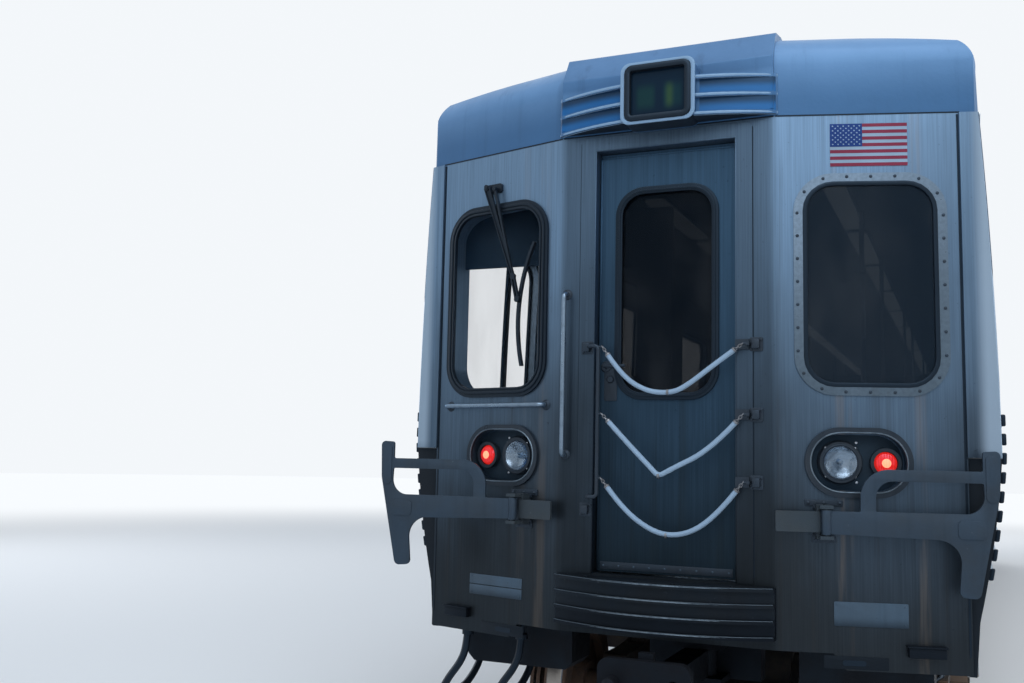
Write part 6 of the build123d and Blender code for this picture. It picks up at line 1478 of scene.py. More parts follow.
@dataclass
class EndDoors:
    """Gasket, lever, plates and screws of the two end doors, whose faces lie a depth behind the ends."""

    depth: float = 0.046
    window: Pair = (0.44, 0.95)
    window_height: float = 1.29
    lever_height: float = 0.945

    def build(self) -> None:
        """Makes the fittings of both doors."""
        for name, way in (("cab", -1), ("rear", 1)):
            recast(f"{name}_end_door", f"{name}_end_door", (END_DOOR_STEEL, DOOR_GLASS))
            self.dress(name, way)

    def dress(self, name: str, way: int) -> None:
        """Makes one door's fittings.

        Args:
            name: Start of their names and of the body's name.
            way: -1 at the cab end and 1 at the rear end.
        """
        body, back = f"{name}_door", -self.depth
        ring = Mould()
        for grow, radius, depth, rim, bevel, out in ((0.05, 0.135, 0.012, 0.034, 0.004, -0.002),
                                                     (0.02, 0.12, 0.006, 0.01, 0.002, 0.009)):
            part = slab(self.window[0] + grow, self.window[1] + grow, radius, depth, rim, bevel, 8)
            ring.put(part, on_end(way, 0.0, self.window_height, back + out))
        ring.show(f"{name}_door_rubber", RUBBER, body)
        lock = Mould().put(slab(0.062, 0.15, 0.008, 0.004, 0.0, 0.0012), on_end(way, 0.263 * way, 0.861, back))
        lock.put(lathe(((0, 0.012), (0.013, 0.01), (0.017, 0.004), (0.017, 0), (0, 0)), 24),
                 on_end(way, 0.263 * way, 0.885, back + 0.004))
        lever = [on_end(way, x * way, self.lever_height, back + out).translation
                 for x, out in ((0.284, 0.0), (0.284, 0.048), (0.18, 0.048))]
        lock.put(pipe(lever, 0.008, 0.02))
        lock.put(lathe(((0, 0.01), (0.022, 0.008), (0.028, 0), (0, 0)), 24),
                 on_end(way, 0.284 * way, self.lever_height, back))
        lock.show(f"{name}_door_lock", DARK_STEEL, body)
        kick = Mould().put(block((0.61, 0.034, 0.004), 0.001), on_end(way, 0.0, 0.034, back + 0.001))
        kick.show(f"{name}_kick_strip", DARK_STEEL, body)
        row = [on_end(way, -0.288 + 0.072 * number, 0.034, back + 0.003) for number in range(9)]
        Mould().put(screw(0.0045, 0.0025), *row).show(f"{name}_kick_screws", PLATE, body)
        for piece, rider, finish, half, width, tall, top, out in (
            ("door_edges", body, END_DOOR_STEEL, 0.318, 0.01, 1.93, (0.64, 1.944), back + 0.001),
            ("portal_bead", CARBODY, END_STEEL, 0.3305, 0.0045, 1.96, (0.662, 1.9705), 0.006),
        ):
            uprights = (on_end(way, x, 0.98, out) for x in (-half, half))
            edge = Mould().put(block((width, tall, 0.005), 0.0015), *uprights)
            edge.put(block((top[0], width, 0.005), 0.0015), on_end(way, 0.0, top[1], out))
            edge.show(f"{name}_{piece}", finish, rider)


@dataclass
class Chains:
    """Safety chains in pale sleeves and their brackets' foot plates, both as X and height over the floor."""

    runs: tuple[tuple[Pair, ...], ...] = (
        ((-0.275, 1.03), (-0.18, 0.895), (-0.07, 0.826), (0.034, 0.815),
         (0.105, 0.836), (0.245, 0.942), (0.368, 1.03)),
        ((-0.275, 0.722), (-0.15, 0.59), (-0.045, 0.486), (-0.006, 0.445),
         (0.045, 0.476), (0.225, 0.566), (0.368, 0.722)),
        ((-0.275, 0.43), (-0.18, 0.31), (-0.075, 0.226), (0.03, 0.186),
         (0.15, 0.208), (0.265, 0.3), (0.368, 0.43)),
    )
    out: float = 0.045
    sleeve_radius: float = 0.0115
    plates: tuple[Pair, ...] = ((0.418, 1.03), (0.418, 0.722), (0.418, 0.43), (-0.362, 1.03), (-0.362, 0.285))

    def build(self) -> None:
        """Hangs the sleeves, with links at their ends and a shackle at the lowest place."""
        sleeves, links, plates = Mould(), Mould(), Mould()
        upright = Matrix.Rotation(math.pi / 2, 4, "Y")
        collar = ((0.0, 0.004), (0.0135, 0.004), (0.0135, -0.004), (0.0, -0.004))
        shackle = ((0.009, 0.006), (0.0135, 0.005), (0.0135, -0.005), (0.009, -0.006))
        for run in self.runs:
            route = [Vector((x, END_Y - self.out, FLOOR + up)) for x, up in run]
            for end, near in ((0, 1), (-1, -2)):
                start, way = route[end].copy(), (route[near] - route[end]).normalized()
                for number in range(4):
                    links.put(self.link(), self.along(start + way * (0.004 + 0.013 * number), way, 90 * number))
                route[end] = start + way * 0.046
                links.put(lathe(collar, 16), self.along(route[end], way) @ upright)
            sleeves.put(pipe(route, self.sleeve_radius))
            lowest = self.along(route[3] + Vector((0.0, 0.0, 0.004)), Vector((1.0, 0.0, 0.0)))
            links.put(lathe(shackle, 16, True), lowest @ upright)
        for x, up in self.plates:
            plates.put(slab(0.058, 0.062, 0.008, 0.007, 0.0, 0.002), on_end(-1, x, up))
            plates.put(block((0.034, 0.026, 0.04), 0.005), at(x, END_Y - 0.018, FLOOR + up))
            plates.put(bolt(0.006, 0.005), *(on_end(-1, x + shift, up + shift, 0.007) for shift in (-0.021, 0.021)))
        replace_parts(sleeves.show("chain_sleeves", SLEEVE), "door_chains")
        links.show("chain_links", LINKS)
        plates.show("chain_plates", DARK_STEEL)

    def link(self) -> Shape:
        """One oval link that lies along X.

        Returns:
            The link.
        """
        half, radius = 0.0055, 0.006
        points = ((half, radius, 0), (half + radius, 0, 0), (half, -radius, 0),
                  (-half, -radius, 0), (-half - radius, 0, 0), (-half, radius, 0))
        return pipe(points, 0.0021, closed=True, sides=1, fine=3)

    def along(self, place: Vector, way: Vector, turn: float = 0.0) -> Matrix:
        """Place of a link on a chain.

        Args:
            place: Its middle.
            way: The chain's direction there.
            turn: Turn about that direction, in degrees.

        Returns:
            The place's matrix, with X along the chain.
        """
        turned = way.to_track_quat("X", "Z").to_matrix().to_4x4()
        return Matrix.Translation(place) @ turned @ Matrix.Rotation(math.radians(turn), 4, "X")


@dataclass
class Hood:
    """Rims of the sign's hood, which bow out to its nose, and the sign's frame and bezel."""

    ribs: tuple[float, ...] = (2.065, 2.15, 2.235)
    half_width: float = 0.508
    nose: float = 0.1215
    sign_half: float = 0.166

    def build(self) -> None:
        """Makes the rims, the pale frame and the glossy bezel."""
        low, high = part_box("destination_sign")
        middle, frame_out = (low.z + high.z) / 2 - FLOOR, 0.129
        rims = Mould()
        for up, side in product(self.ribs, SIDES):
            bow = bowed(self.half_width, END_Y - 0.004, self.nose - 0.004, side * self.sign_half, side * 0.5, 7)
            route = [(x, y, FLOOR + up) for x, y in bow] + [(side * 0.51, END_Y + 0.004, FLOOR + up)]
            rims.put(pipe(route, 0.0098, sides=3, fine=3))
        rims.put(slab(0.348, 0.292, 0.044, 0.01, 0.02, 0.004, 8), on_end(-1, 0.0, middle, frame_out - 0.005))
        rims.show("hood_rims", CAP_RIM)
        bezel = slab(high.x - low.x + 0.022, high.z - low.z + 0.022, 0.04, 0.034, 0.03, 0.009, 8)
        Mould().put(bezel, on_end(-1, 0.0, middle, frame_out - 0.021)).show("sign_bezel", BLACK)


@dataclass
class Anticlimber:
    """Pale strips of painted highlight on the edges, and bolts, of the cab end's anticlimber, whose ribs stand out by
    depth and bow in the middle.
    """

    tops: tuple[float, ...] = (-0.01, -0.0767, -0.1433, -0.21)
    half_width: float = 0.49
    depth: float = 0.0475
    bow: float = 0.134

    def build(self) -> None:
        """Lays a bright line of painted highlight along each rib's upper edge, and bolts behind it."""
        edges, bolts = Mould(), Mould()
        bow = bowed(self.half_width, END_Y - self.depth, self.bow, -self.half_width, self.half_width, 13)
        for top in self.tops:
            edges.put(pipe([(x, y, FLOOR + top - 0.003) for x, y in bow], 0.0052, sides=2, fine=3))
            bolts.put(bolt(0.009, 0.006), *(at(bow[n][0], bow[n][1] + 0.045, FLOOR + top) for n in (2, 5, 7, 10)))
        edges.show("anticlimber_edges", EDGE_HIGHLIGHT)
        bolts.show("anticlimber_bolts", CLIMBER)


@dataclass
class Gates:
    """Eased edges of the two gates, and the bolts and plates of their brackets.

    A bolt has a place along the panel and a height, and a plate has size, height, thickness and screws.
    """

    bolts: tuple[Pair, ...] = ((0.155, 0.335), (0.155, 0.215), (0.225, 0.335), (0.225, 0.215))
    plates: tuple[tuple[Pair, float, float, tuple[float, ...]], ...] = (
        ((0.158, 0.028), 0.352, 0.007, (0.128, 0.193, 0.258)),
        ((0.1, 0.024), 0.198, 0.006, (0.16, 0.226)),
    )

    def build(self) -> None:
        """Eases the gates' edges and dresses the brackets."""
        for hand in ("left", "right"):
            recast(f"gate_arm_{hand}", f"gate_{hand}", (GATE,), 0.0035)
        bolts = Mould()
        for side in SIDES:
            bolts.put(bolt(0.008, 0.007), *(on_panel(side, *place, 0.004, 20) for place in self.bolts))
            for size, up, out, screws in self.plates:
                bolts.put(slab(*size, 0.004, out, 0.0, 0.002), on_panel(side, 0.193, up))
                bolts.put(screw(0.0075, 0.005), *(on_panel(side, along, up, out) for along in screws))
        bolts.show("bracket_bolts", DARK_STEEL)


@dataclass
class EndTrim:
    """Bent conduits, rear window rubbers, dark blocks of painted shade on the ribs' ends and curved corner skins.

    The conduits' bends count X from each one's place, and the ribs are lowest height, distance and number.
    """

    conduits: tuple[float, ...] = (-1.05, -0.76)
    bends: tuple[tuple[float, float, float], ...] = (
        (0.0, -7.93, 0.84), (0.0, -7.94, 0.73), (-0.02, -7.95, 0.64), (-0.1, -7.95, 0.54), (-0.15, -7.92, 0.46),
        (-0.14, -7.84, 0.44), (-0.1, -7.72, 0.47), (-0.06, -7.6, 0.62), (-0.05, -7.55, 0.9),
    )
    rear_window: Pair = (0.42, 0.93)
    ribs: tuple[float, float, int] = (0.075, 0.08, 9)
    rib_ends: Pair = (-7.879, 7.99)
    cover: Pair = (0.556, 2.046)
    seam: float = 1.2505

    def build(self) -> None:
        """Makes the corner skins, the conduits, the rubbers and the shaded rib ends."""
        for side, word in zip(SIDES, ("left", "right")):
            Mould().put(self.corner_skin(side)).show(f"corner_skin_{word}", END_STEEL)
        conduits, rubbers, caps = Mould(), Mould(), Mould()
        for x in self.conduits:
            conduits.put(pipe([(x + shift, y, z) for shift, y, z in self.bends], 0.019, fine=5))
            conduits.put(lathe(((0.0, 0.0), (0.03, 0.0), (0.03, 0.022), (0.023, 0.03), (0.0, 0.03)), 20),
                         at(x, -7.932, 0.765))
        for side, (rim, size, out) in product(SIDES, ((0.022, 0.052, 0.0), (0.012, 0.012, -0.006))):
            rubbers.put(slab(self.rear_window[0] + size, self.rear_window[1] + size, 0.125, 0.01, rim, 0.003, 8),
                        on_end(1, side * 0.79, END_WINDOW_HEIGHT, out))
        first, pitch, count = self.ribs
        # Painted shade: a dark block covers each side rib's end.
        for side, number, y in product(SIDES, range(count), self.rib_ends):
            caps.put(wrap(block((0.02, 0.05, 0.02), 0.006), side, y, first + pitch * number, 0.009))
        conduits.show("end_conduits", BLACK)
        rubbers.show("rear_window_rubbers", RUBBER)
        caps.show("shaded_rib_ends", RUBBER)

    def corner_skin(self, side: int) -> Shape:
        """Raked steel skin from a corner's seam out to the side's curve, with a rounded outer edge.

        Args:
            side: 1 at +X and -1 at -X.

        Returns:
            The skin in its place.
        """
        low, high = self.cover
        part = bendable(block((1.0, high - low, 0.012)), 14)
        for vertex in part.verts:
            up = vertex.co.y + (low + high) / 2
            x = self.seam + (skin_x(up) + 0.0005 - self.seam) * (vertex.co.x + 0.5)
            out = vertex.co.z + 0.005
            y = END_Y + (x - PILLAR_X) * RAKE_SIN / RAKE_COS - RAKE_COS * out
            vertex.co = (side * (x + RAKE_SIN * out), y, FLOOR + up)
        bmesh.ops.recalc_face_normals(part, faces=part.faces)
        outer = [e for e in part.edges if all(abs(v.co.x) > 1.3 and v.co.y < -7.9 for v in e.verts)
                 and e.calc_face_angle(0.0) > 1.0 and abs(e.verts[0].co.z - e.verts[1].co.z) > 0.01]
        bmesh.ops.bevel(part, geom=outer, offset=0.0095, offset_type="OFFSET", affect="EDGES", segments=4,
                        profile=0.5, material=-1)
        return part


@dataclass
class Inside:
    """Ceiling lights, the cab visor and the padded cushions.

    A cushion starts smaller than its place on every side by shrink, rises by up to swell while it is simulated, and
    keeps a share of its faces.
    """

    lights: tuple[float, ...] = (-5.8, -4.4, -3.0, -1.6, -0.2, 1.2, 2.6, 4.0, 5.4, 6.8)
    light_x: float = 0.55
    ceiling: float = 2.18
    voxel: float = 0.008
    swell: float = 0.012
    shrink: float = 0.009
    share: float = 0.12
    frames: int = 20

    def build(self) -> None:
        """Makes the lights, the visor and the cushions."""
        lights, frames, visor = Mould(), Mould(), Mould()
        for y, side in product(self.lights, SIDES):
            place = at(side * self.light_x, y, FLOOR + self.ceiling, (0, 0, -1))
            lights.put(slab(0.13, 1.22, 0.03, 0.024, 0.0, 0.008), place)
            frames.put(slab(0.17, 1.26, 0.04, 0.008, 0.022, 0.002), place)
        lights.show("ceiling_lights", BULB)
        frames.show("light_frames", RAIL)
        for side in SIDES:
            visor.put(wrap(block((0.06, 0.92, 0.018), 0.004), side, -6.93, 1.28, -0.036, 8))
        visor.put(block((0.56, 0.012, 0.32), 0.004), at(-0.87, -7.87, FLOOR + 1.65))
        visor.put(pipe([(x, -7.86, FLOOR + 1.8) for x in (-1.14, -0.87, -0.6)], 0.01))
        visor.show("cab_visor", VISOR)
        self.pad_seats()

    def pad_seats(self) -> None:
        """Puts a padded cushion in the place of each of the CAD's."""
        source = merged("seat_cushions")
        blanks: dict[tuple[float, ...], tuple[bpy.types.Object, int]] = {}
        places = []
        for group in islands(source):
            corners = [v.co for f in group for v in f.verts]
            low, high = (Vector(pick(c[i] for c in corners) for i in range(3)) for pick in (min, max))
            key, centre = tuple(round(edge, 2) for edge in high - low), (low + high) / 2
            if key not in blanks:
                blanks[key] = (self.blank(cut_out(source, group), centre, high - low), 1 if centre.x > 0 else -1)
            places.append((key, centre))
        source.free()
        swollen = self.blow_up([piece for piece, _ in blanks.values()])
        pieces = []
        for number, (key, centre) in enumerate(places, start=1):
            blank, sense = blanks[key]
            place = Matrix.Translation(centre) @ Matrix.Diagonal((sense if centre.x > 0 else -sense, 1.0, 1.0, 1.0))
            pad = bmesh.new()
            pad.from_mesh(swollen[blank.name])
            piece = Mould().put(pad, place).put(self.welt(swollen[blank.name], key), place)
            pieces.append(piece.show(f"cushion_{number:02d}", CLOTH, smooth=60.0))
        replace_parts(pieces[0], "seat_cushions")
        for blank, _ in blanks.values():
            bpy.data.objects.remove(blank)

    def blank(self, part: Shape, centre: Vector, size: Vector) -> bpy.types.Object:
        """Makes one cushion's solid a little smaller, about the origin, and remeshes it finely.

        Args:
            part: The solid, which is freed.
            centre: Its middle.
            size: Its size.

        Returns:
            The object.
        """
        bmesh.ops.translate(part, vec=-centre, verts=part.verts)
        bmesh.ops.scale(part, vec=Vector((edge - 2 * self.shrink) / edge for edge in size), verts=part.verts)
        piece = stand("blank", as_mesh(part, "blank"))
        fine = piece.modifiers.new("fine", "REMESH")
        fine.mode = "VOXEL"
        fine.voxel_size = self.voxel
        piece.data = settled(piece)
        piece.modifiers.clear()
        return piece

    def blow_up(self, blanks: Sequence[bpy.types.Object]) -> dict[str, bpy.types.Mesh]:
        """Lets the blanks swell as cloth under pressure, and thins out their faces.

        Args:
            blanks: The remeshed cushions.

        Returns:
            The swollen mesh of each blank, by its name.
        """
        scene = bpy.context.scene
        for piece in blanks:
            cloth = piece.modifiers.new("cloth", "CLOTH")
            cloth.settings.use_pressure = True
            cloth.settings.uniform_pressure_force = 4.0
            cloth.settings.effector_weights.gravity = 0.0
            cloth.point_cache.frame_end = self.frames
        for number in range(1, self.frames + 1):
            scene.frame_set(number)
        swollen = {}
        for piece in blanks:
            data = settled(piece)
            rises = [after.co - before.co for after, before in zip(data.vertices, piece.data.vertices)]
            share = min(1.0, self.swell / max(max(rise.length for rise in rises), 1e-6))
            for after, before, rise in zip(data.vertices, piece.data.vertices, rises):
                after.co = before.co + rise * share
            piece.modifiers.clear()
            piece.data = data
            piece.modifiers.new("thin", "DECIMATE").ratio = self.share
            bpy.context.view_layer.update()
            swollen[piece.name] = settled(piece)
            logging.info("%s: %d faces", piece.name, len(swollen[piece.name].polygons))
        scene.frame_set(1)
        return swollen

    def welt(self, pad: bpy.types.Mesh, size: Sequence[float]) -> Shape:
        """Piping that lies on a cushion round its free face.

        Args:
            pad: The cushion.
            size: Its size.

        Returns:
            The piping.
        """
        tree = BVHTree.FromPolygons([v.co for v in pad.vertices], [list(f.vertices) for f in pad.polygons])
        thin = min(range(3), key=lambda i: size[i])
        first, second = (i for i in range(3) if i != thin)
        route = []
        for x, y in round_edge(size[first] - 0.03, size[second] - 0.03, 0.03, 40):
            probe = Vector((0.0, 0.0, 0.0))
            probe[first], probe[second] = x, y
            probe[thin] = size[thin] / 2 * (-1 if thin != 2 else 1)
            route.append(tree.find_nearest(probe)[0])
        return pipe(route, 0.0035, closed=True, sides=1, fine=2)


@dataclass
class Sides:
    """Leaves, windows, doorways and trim of the two side walls."""

    leaf_window: Pair = (0.42, 0.94)
    leaf_offset: float = 0.3175
    leaf_inset: float = 0.022
    leaf_middle: float = 1.29
    window_height: float = 0.94
    window_middle: float = 1.28

    def build(self) -> None:
        """Makes the pieces of both sides."""
        for number, centre in enumerate(DOOR_CENTRES, start=1):
            for (side, word), (way, hand) in product(((1, "right"), (-1, "left")), ((-1, "front"), (1, "rear"))):
                self.dress_leaf(f"door_{number}_{word}_{hand}", side, centre, way)
        self.dress_windows()
        self.dress_doorways()
        self.dress_trim()

    def dress_leaf(self, body: str, side: int, centre: float, way: int) -> None:
        """Parts a leaf from its pane, and gives it frame, rubber and seal.

        Args:
            body: The leaf's body.
            side: 1 at +X and -1 at -X.
            centre: Middle of its doorway.
            way: 1 for the leaf towards +Y and -1 for the other.
        """
        recast(f"{body}_leaf", body, (DOOR_STEEL, TINTED))
        y, edge = centre + way * self.leaf_offset, centre + way * 0.0145
        width, height = self.leaf_window
        ring = slab(width + 0.056, height + 0.056, 0.1, 0.004, 0.03, 0.0015, 6)
        frame_part = Mould().put(wrap(ring, side, y, self.leaf_middle, 0.0005 - self.leaf_inset))
        frame_part.show(f"{body}_frame", FRAME_STEEL, body)
        ring = slab(width + 0.002, height + 0.002, 0.076, 0.014, 0.012, 0.003, 6)
        rubber = Mould().put(wrap(ring, side, y, self.leaf_middle, -0.013 - self.leaf_inset))
        rubber.put(wrap(block((0.022, 1.93, 0.01), 0.003), side, edge, 0.985, -0.001 - self.leaf_inset, 16))
        rubber.show(f"{body}_rubbers", RUBBER, body)

    def dress_windows(self) -> None:
        """Rubber round each side window's pane."""
        rubbers = Mould()
        for side, (y, width) in product(SIDES, SIDE_WINDOWS):
            ring = slab(width + 0.002, self.window_height + 0.002, 0.111, 0.02, 0.016, 0.004, 6)
            rubbers.put(wrap(ring, side, y, self.window_middle, -0.017))
        rubbers.show("side_window_rubbers", RUBBER)

    def dress_doorways(self) -> None:
        """Bead, drip strip and ribbed sill of each doorway."""
        beads, sills = Mould(), Mould()
        for side, centre in product(SIDES, DOOR_CENTRES):
            beads.put(wrap(slab(1.318, 1.998, 0.118, 0.006, 0.018, 0.002, 8), side, centre, 0.975, 0.0108))
            beads.put(wrap(block((1.5, 0.012, 0.016), 0.003), side, centre, 2.03, 0.006))
            for up in (-0.008, -0.018, -0.028):
                sills.put(wrap(block((1.26, 0.005, 0.03), 0.001), side, centre, up, 0.01))
            sills.put(wrap(block((1.3, 0.04, 0.014), 0.003), side, centre, -0.02, 0.014))
        beads.show("doorway_beads", SIDE_STEEL)
        sills.show("doorway_sills", DARK_STEEL)

    def dress_trim(self) -> None:
        """Seams, rails, side signs, speakers and signal lamps."""
        seams, rails, signs, glass, speakers, lamps = (Mould() for _ in range(6))
        for side in SIDES:
            for y in (-6.15, -3.55, -1.2, 1.2, 3.55, 6.15):
                seams.put(wrap(block((0.003, 1.2, 0.003)), side, y, 1.42, -0.0007, 10))
                seams.put(wrap(block((0.004, 0.27, 0.003)), side, y, -0.21, -0.0007, 4))
            seams.put(wrap(block((15.9, 0.004, 0.003)), side, 0.06, -0.118, -0.0005))
            rails.put(wrap(block((15.9, 0.014, 0.012), 0.004), side, 0.06, 2.046, 0.003))
            rails.put(wrap(block((15.9, 0.01, 0.007), 0.003), side, 0.06, -0.338, 0.002))
            for y in (-2.405, 2.405):
                signs.put(wrap(slab(0.86, 0.14, 0.068, 0.008, 0.022, 0.003, 8), side, y, 1.905))
                glass.put(wrap(slab(0.82, 0.1, 0.05, 0.005, 0.0, 0.0, 8), side, y, 1.905, -0.001))
            for y in (-6.37, 6.37):
                self.add_speaker(speakers, on_side(side, y, 1.62, -0.001))
            cap = lathe(((0.0, 0.022), (0.01, 0.02), (0.017, 0.013), (0.02, 0.003), (0.024, 0.0), (0.0, 0.0)), 20)
            lamps.put(cap, *(on_side(side, 0.92 + 0.06 * number, 1.93) for number in range(3)))
        seams.show("side_seams", RUBBER)
        rails.show("side_rails", SIDE_STEEL)
        signs.show("side_sign_frames", FRAME_STEEL)
        glass.show("side_sign_glass", SIGN_GLASS)
        speakers.show("speakers", FRAME_STEEL)
        lamps.show("signal_lamps", AMBER)

    def add_speaker(self, speakers: Mould, place: Matrix) -> None:
        """Adds a round speaker with its dots.

        Args:
            speakers: The piece that it belongs to.
            place: Its place.
        """
        rim = ((0.034, 0.0), (0.052, 0.0), (0.052, 0.004), (0.046, 0.008), (0.034, 0.008))
        speakers.put(lathe(rim, 28, True), place)
        speakers.put(lathe(((0.0, 0.004), (0.034, 0.004), (0.034, 0.0), (0.0, 0.0)), 28), place)
        for radius, count in ((0.01, 6), (0.021, 12)):
            speakers.put(rod(0.0025, 0.002, 8), *round_place(place, radius, count, 0.003))


@dataclass
class RoofTop:
    """Joints, hinges and the dark gap of the roof fairing, which widens downwards, with the roof's seams."""

    top: float = 2.56
    low: float = 2.4
    top_half: float = 0.61
    low_half: float = 0.76
    joint_pitch: float = 1.91

    def build(self) -> None:
        """Makes the roof's pieces."""
        joints, hinges, gap, seams = (Mould() for _ in range(4))
        slope = Vector((self.low_half - self.top_half, 0.0, self.low - self.top))
        middle, height = (self.top_half + self.low_half) / 2, FLOOR + (self.top + self.low) / 2
        for number in range(-2, 4):
            y = self.joint_pitch * (number - 0.5)
            joints.put(block((2 * self.top_half, 0.05, 0.008), 0.002), at(0.0, y, FLOOR + self.top + 0.001))
            for side in SIDES:
                face = Vector((-slope.z * side, 0.0, slope.x))
                joints.put(block((0.05, slope.length, 0.008), 0.002), at(side * middle, y, height, face))
                for shift in (-0.45, 0.45):
                    place = at(side * (self.low_half - 0.035), y + shift, FLOOR + self.low + 0.04, face)
                    hinges.put(block((0.07, 0.075, 0.01), 0.003), place)
                    heads = (place @ Matrix.Translation((x, 0.018, 0.004)) for x in (0.018, -0.018))
                    hinges.put(bolt(0.008, 0.008), *heads)
        for side in SIDES:
            gap.put(block((0.012, 11.6, 0.018)), at(side * (self.low_half + 0.002), 0.0, FLOOR + 2.437))
            seams.put(block((0.006, 15.4, 0.008), 0.002), at(side * 1.02, 0.3, FLOOR + 2.4186))
        for y, side in product((-5.2, -2.6, 0.0, 2.6, 5.2, 7.3), SIDES):
            seams.put(block((0.44, 0.03, 0.006), 0.002), at(side * 1.01, y, FLOOR + 2.4195, (side * 0.08, 0, 1)))
        joints.show("fairing_joints", FAIRING)
        hinges.show("fairing_hinges", DARK_STEEL)
        gap.show("fairing_gap", RUBBER)
        seams.show("roof_seams", ROOF_STEEL)


@dataclass
class Bogie:
    """Springs, brakes, motors' ribs and pipes of one bogie, and the caps of its axles, front one first."""

    body: str
    centre: float
    axles: tuple[str, str]

    def build(self) -> None:
        """Makes the bogie's pieces."""
        self.dress_springs()
        self.dress_brakes()
        self.dress_frame()
        self.dress_axles()

    def dress_springs(self) -> None:
        """Rubber bellows under the bolster."""
        profile = ((0.189, 0.002), (0.202, 0.006), (0.2105, 0.017), (0.2075, 0.028), (0.2105, 0.039), (0.202, 0.05),
                   (0.189, 0.054))
        bellows = Mould().put(lathe(profile, 40, True), *(at(side * 0.57, self.centre, 0.597) for side in SIDES))
        bellows.show(f"{self.body}_bellows", RUBBER, self.body)

    def outwards(self, side: int, x: float, along: float, z: float) -> Matrix:
        """Place on one side of the bogie that looks away from its middle."""
        return at(side * x, self.centre + along, z, (side, 0, 0))

    def dress_brakes(self) -> None:
        """Cylinders, pads, bolts and pipes of the calipers."""
        iron, pipes, bolts = Mould(), Mould(), Mould()
        disc = AXLE_Z + 0.01
        for side in SIDES:
            for way in SIDES:
                for up, shift in product((-0.048, 0.048), (-0.05, 0.05)):
                    along = way * (HALF_BASE - 0.262 + 0.03) + shift
                    bolts.put(bolt(0.01, 0.01), self.outwards(side, 1.0415, along, disc + up))
                cap = lathe(((0.0, 0.01), (0.02, 0.009), (0.03, 0.004), (0.032, 0.0), (0.0, 0.0)), 24)
                iron.put(cap, self.outwards(side, 1.092, way * 0.69, disc))
                route = ((1.046, 0.69, AXLE_Z + 0.052), (1.046, 0.69, AXLE_Z + 0.122), (1.085, 0.63, 0.528),
                         (1.095, 0.56, 0.527))
                pipes.put(pipe([(side * x, self.centre + way * y, z) for x, y, z in route], 0.009, 0.02))
            pipes.put(pipe([(side * 1.095, self.centre + y, 0.526) for y in (-0.57, -0.2, 0.2, 0.57)], 0.011))
            route = ((0.66, 0.535), (0.78, 0.535), (0.98, 0.53), (1.05, 0.53))
            pipes.put(pipe([(side * x, self.centre + 0.06, z) for x, z in route], 0.012))
            bolts.put(bolt(0.012, 0.012), *(self.outwards(side, 1.215, y, 0.41) for y in (-0.16, -0.05, 0.05, 0.16)))
            bolts.put(bolt(0.011, 0.012), *(at(side * 1.19, self.centre + y, 0.328) for y in (-0.07, 0.07)))
        iron.show(f"{self.body}_cylinders", BRAKE, self.body)
        pipes.show(f"{self.body}_pipes", DARK_STEEL, self.body)
        bolts.show(f"{self.body}_bolts", CASTING, self.body)

    def dress_frame(self) -> None:
        """Journal covers, lifting eyes, motor ribs and weld plates."""
        covers, ribs = Mould(), Mould()
        cover = ((0.079, 0.0), (0.128, 0.0), (0.128, 0.008), (0.118, 0.014), (0.084, 0.016), (0.079, 0.012))
        rib = ((0.189, -0.008), (0.199, -0.006), (0.199, 0.006), (0.189, 0.008))
        for side in SIDES:
            for way in SIDES:
                place = self.outwards(side, 0.635, way * HALF_BASE, AXLE_Z)
                covers.put(lathe(cover, 36, True), place)
                covers.put(bolt(0.01, 0.01), *round_place(place, 0.106, 6, 0.012))
                eye = at(side * 0.57, self.centre + way * 0.72, 0.6, (0, 1, 0))
                covers.put(slab(0.1, 0.07, 0.03, 0.014, 0.02, 0.004), eye)
            covers.put(slab(0.16, 0.1, 0.02, 0.01, 0.0, 0.003), self.outwards(side, 0.636, 0.0, 0.49))
        for (way, first), number in product(((-1, -0.3), (1, 0.1)), range(5)):
            ribs.put(lathe(rib, 40, True), at(first + 0.05 * number, self.centre + way * 0.59, 0.43, (1, 0, 0)))
        covers.show(f"{self.body}_covers", CASTING, self.body)
        ribs.show(f"{self.body}_motor_ribs", MOTOR, self.body)

    def dress_axles(self) -> None:
        """Caps and bolts on the axles' ends."""
        cap = ((0.0, 0.014), (0.03, 0.014), (0.034, 0.009), (0.07, 0.008), (0.078, 0.0), (0.0, 0.0))
        for axle, way in zip(self.axles, SIDES):
            caps = Mould()
            for side in SIDES:
                place = self.outwards(side, 1.0575, way * HALF_BASE, AXLE_Z)
                caps.put(lathe(cap, 36), place).put(bolt(0.009, 0.009), *round_place(place, 0.055, 6, 0.008))
            caps.show(f"{axle}_caps", CASTING, axle)


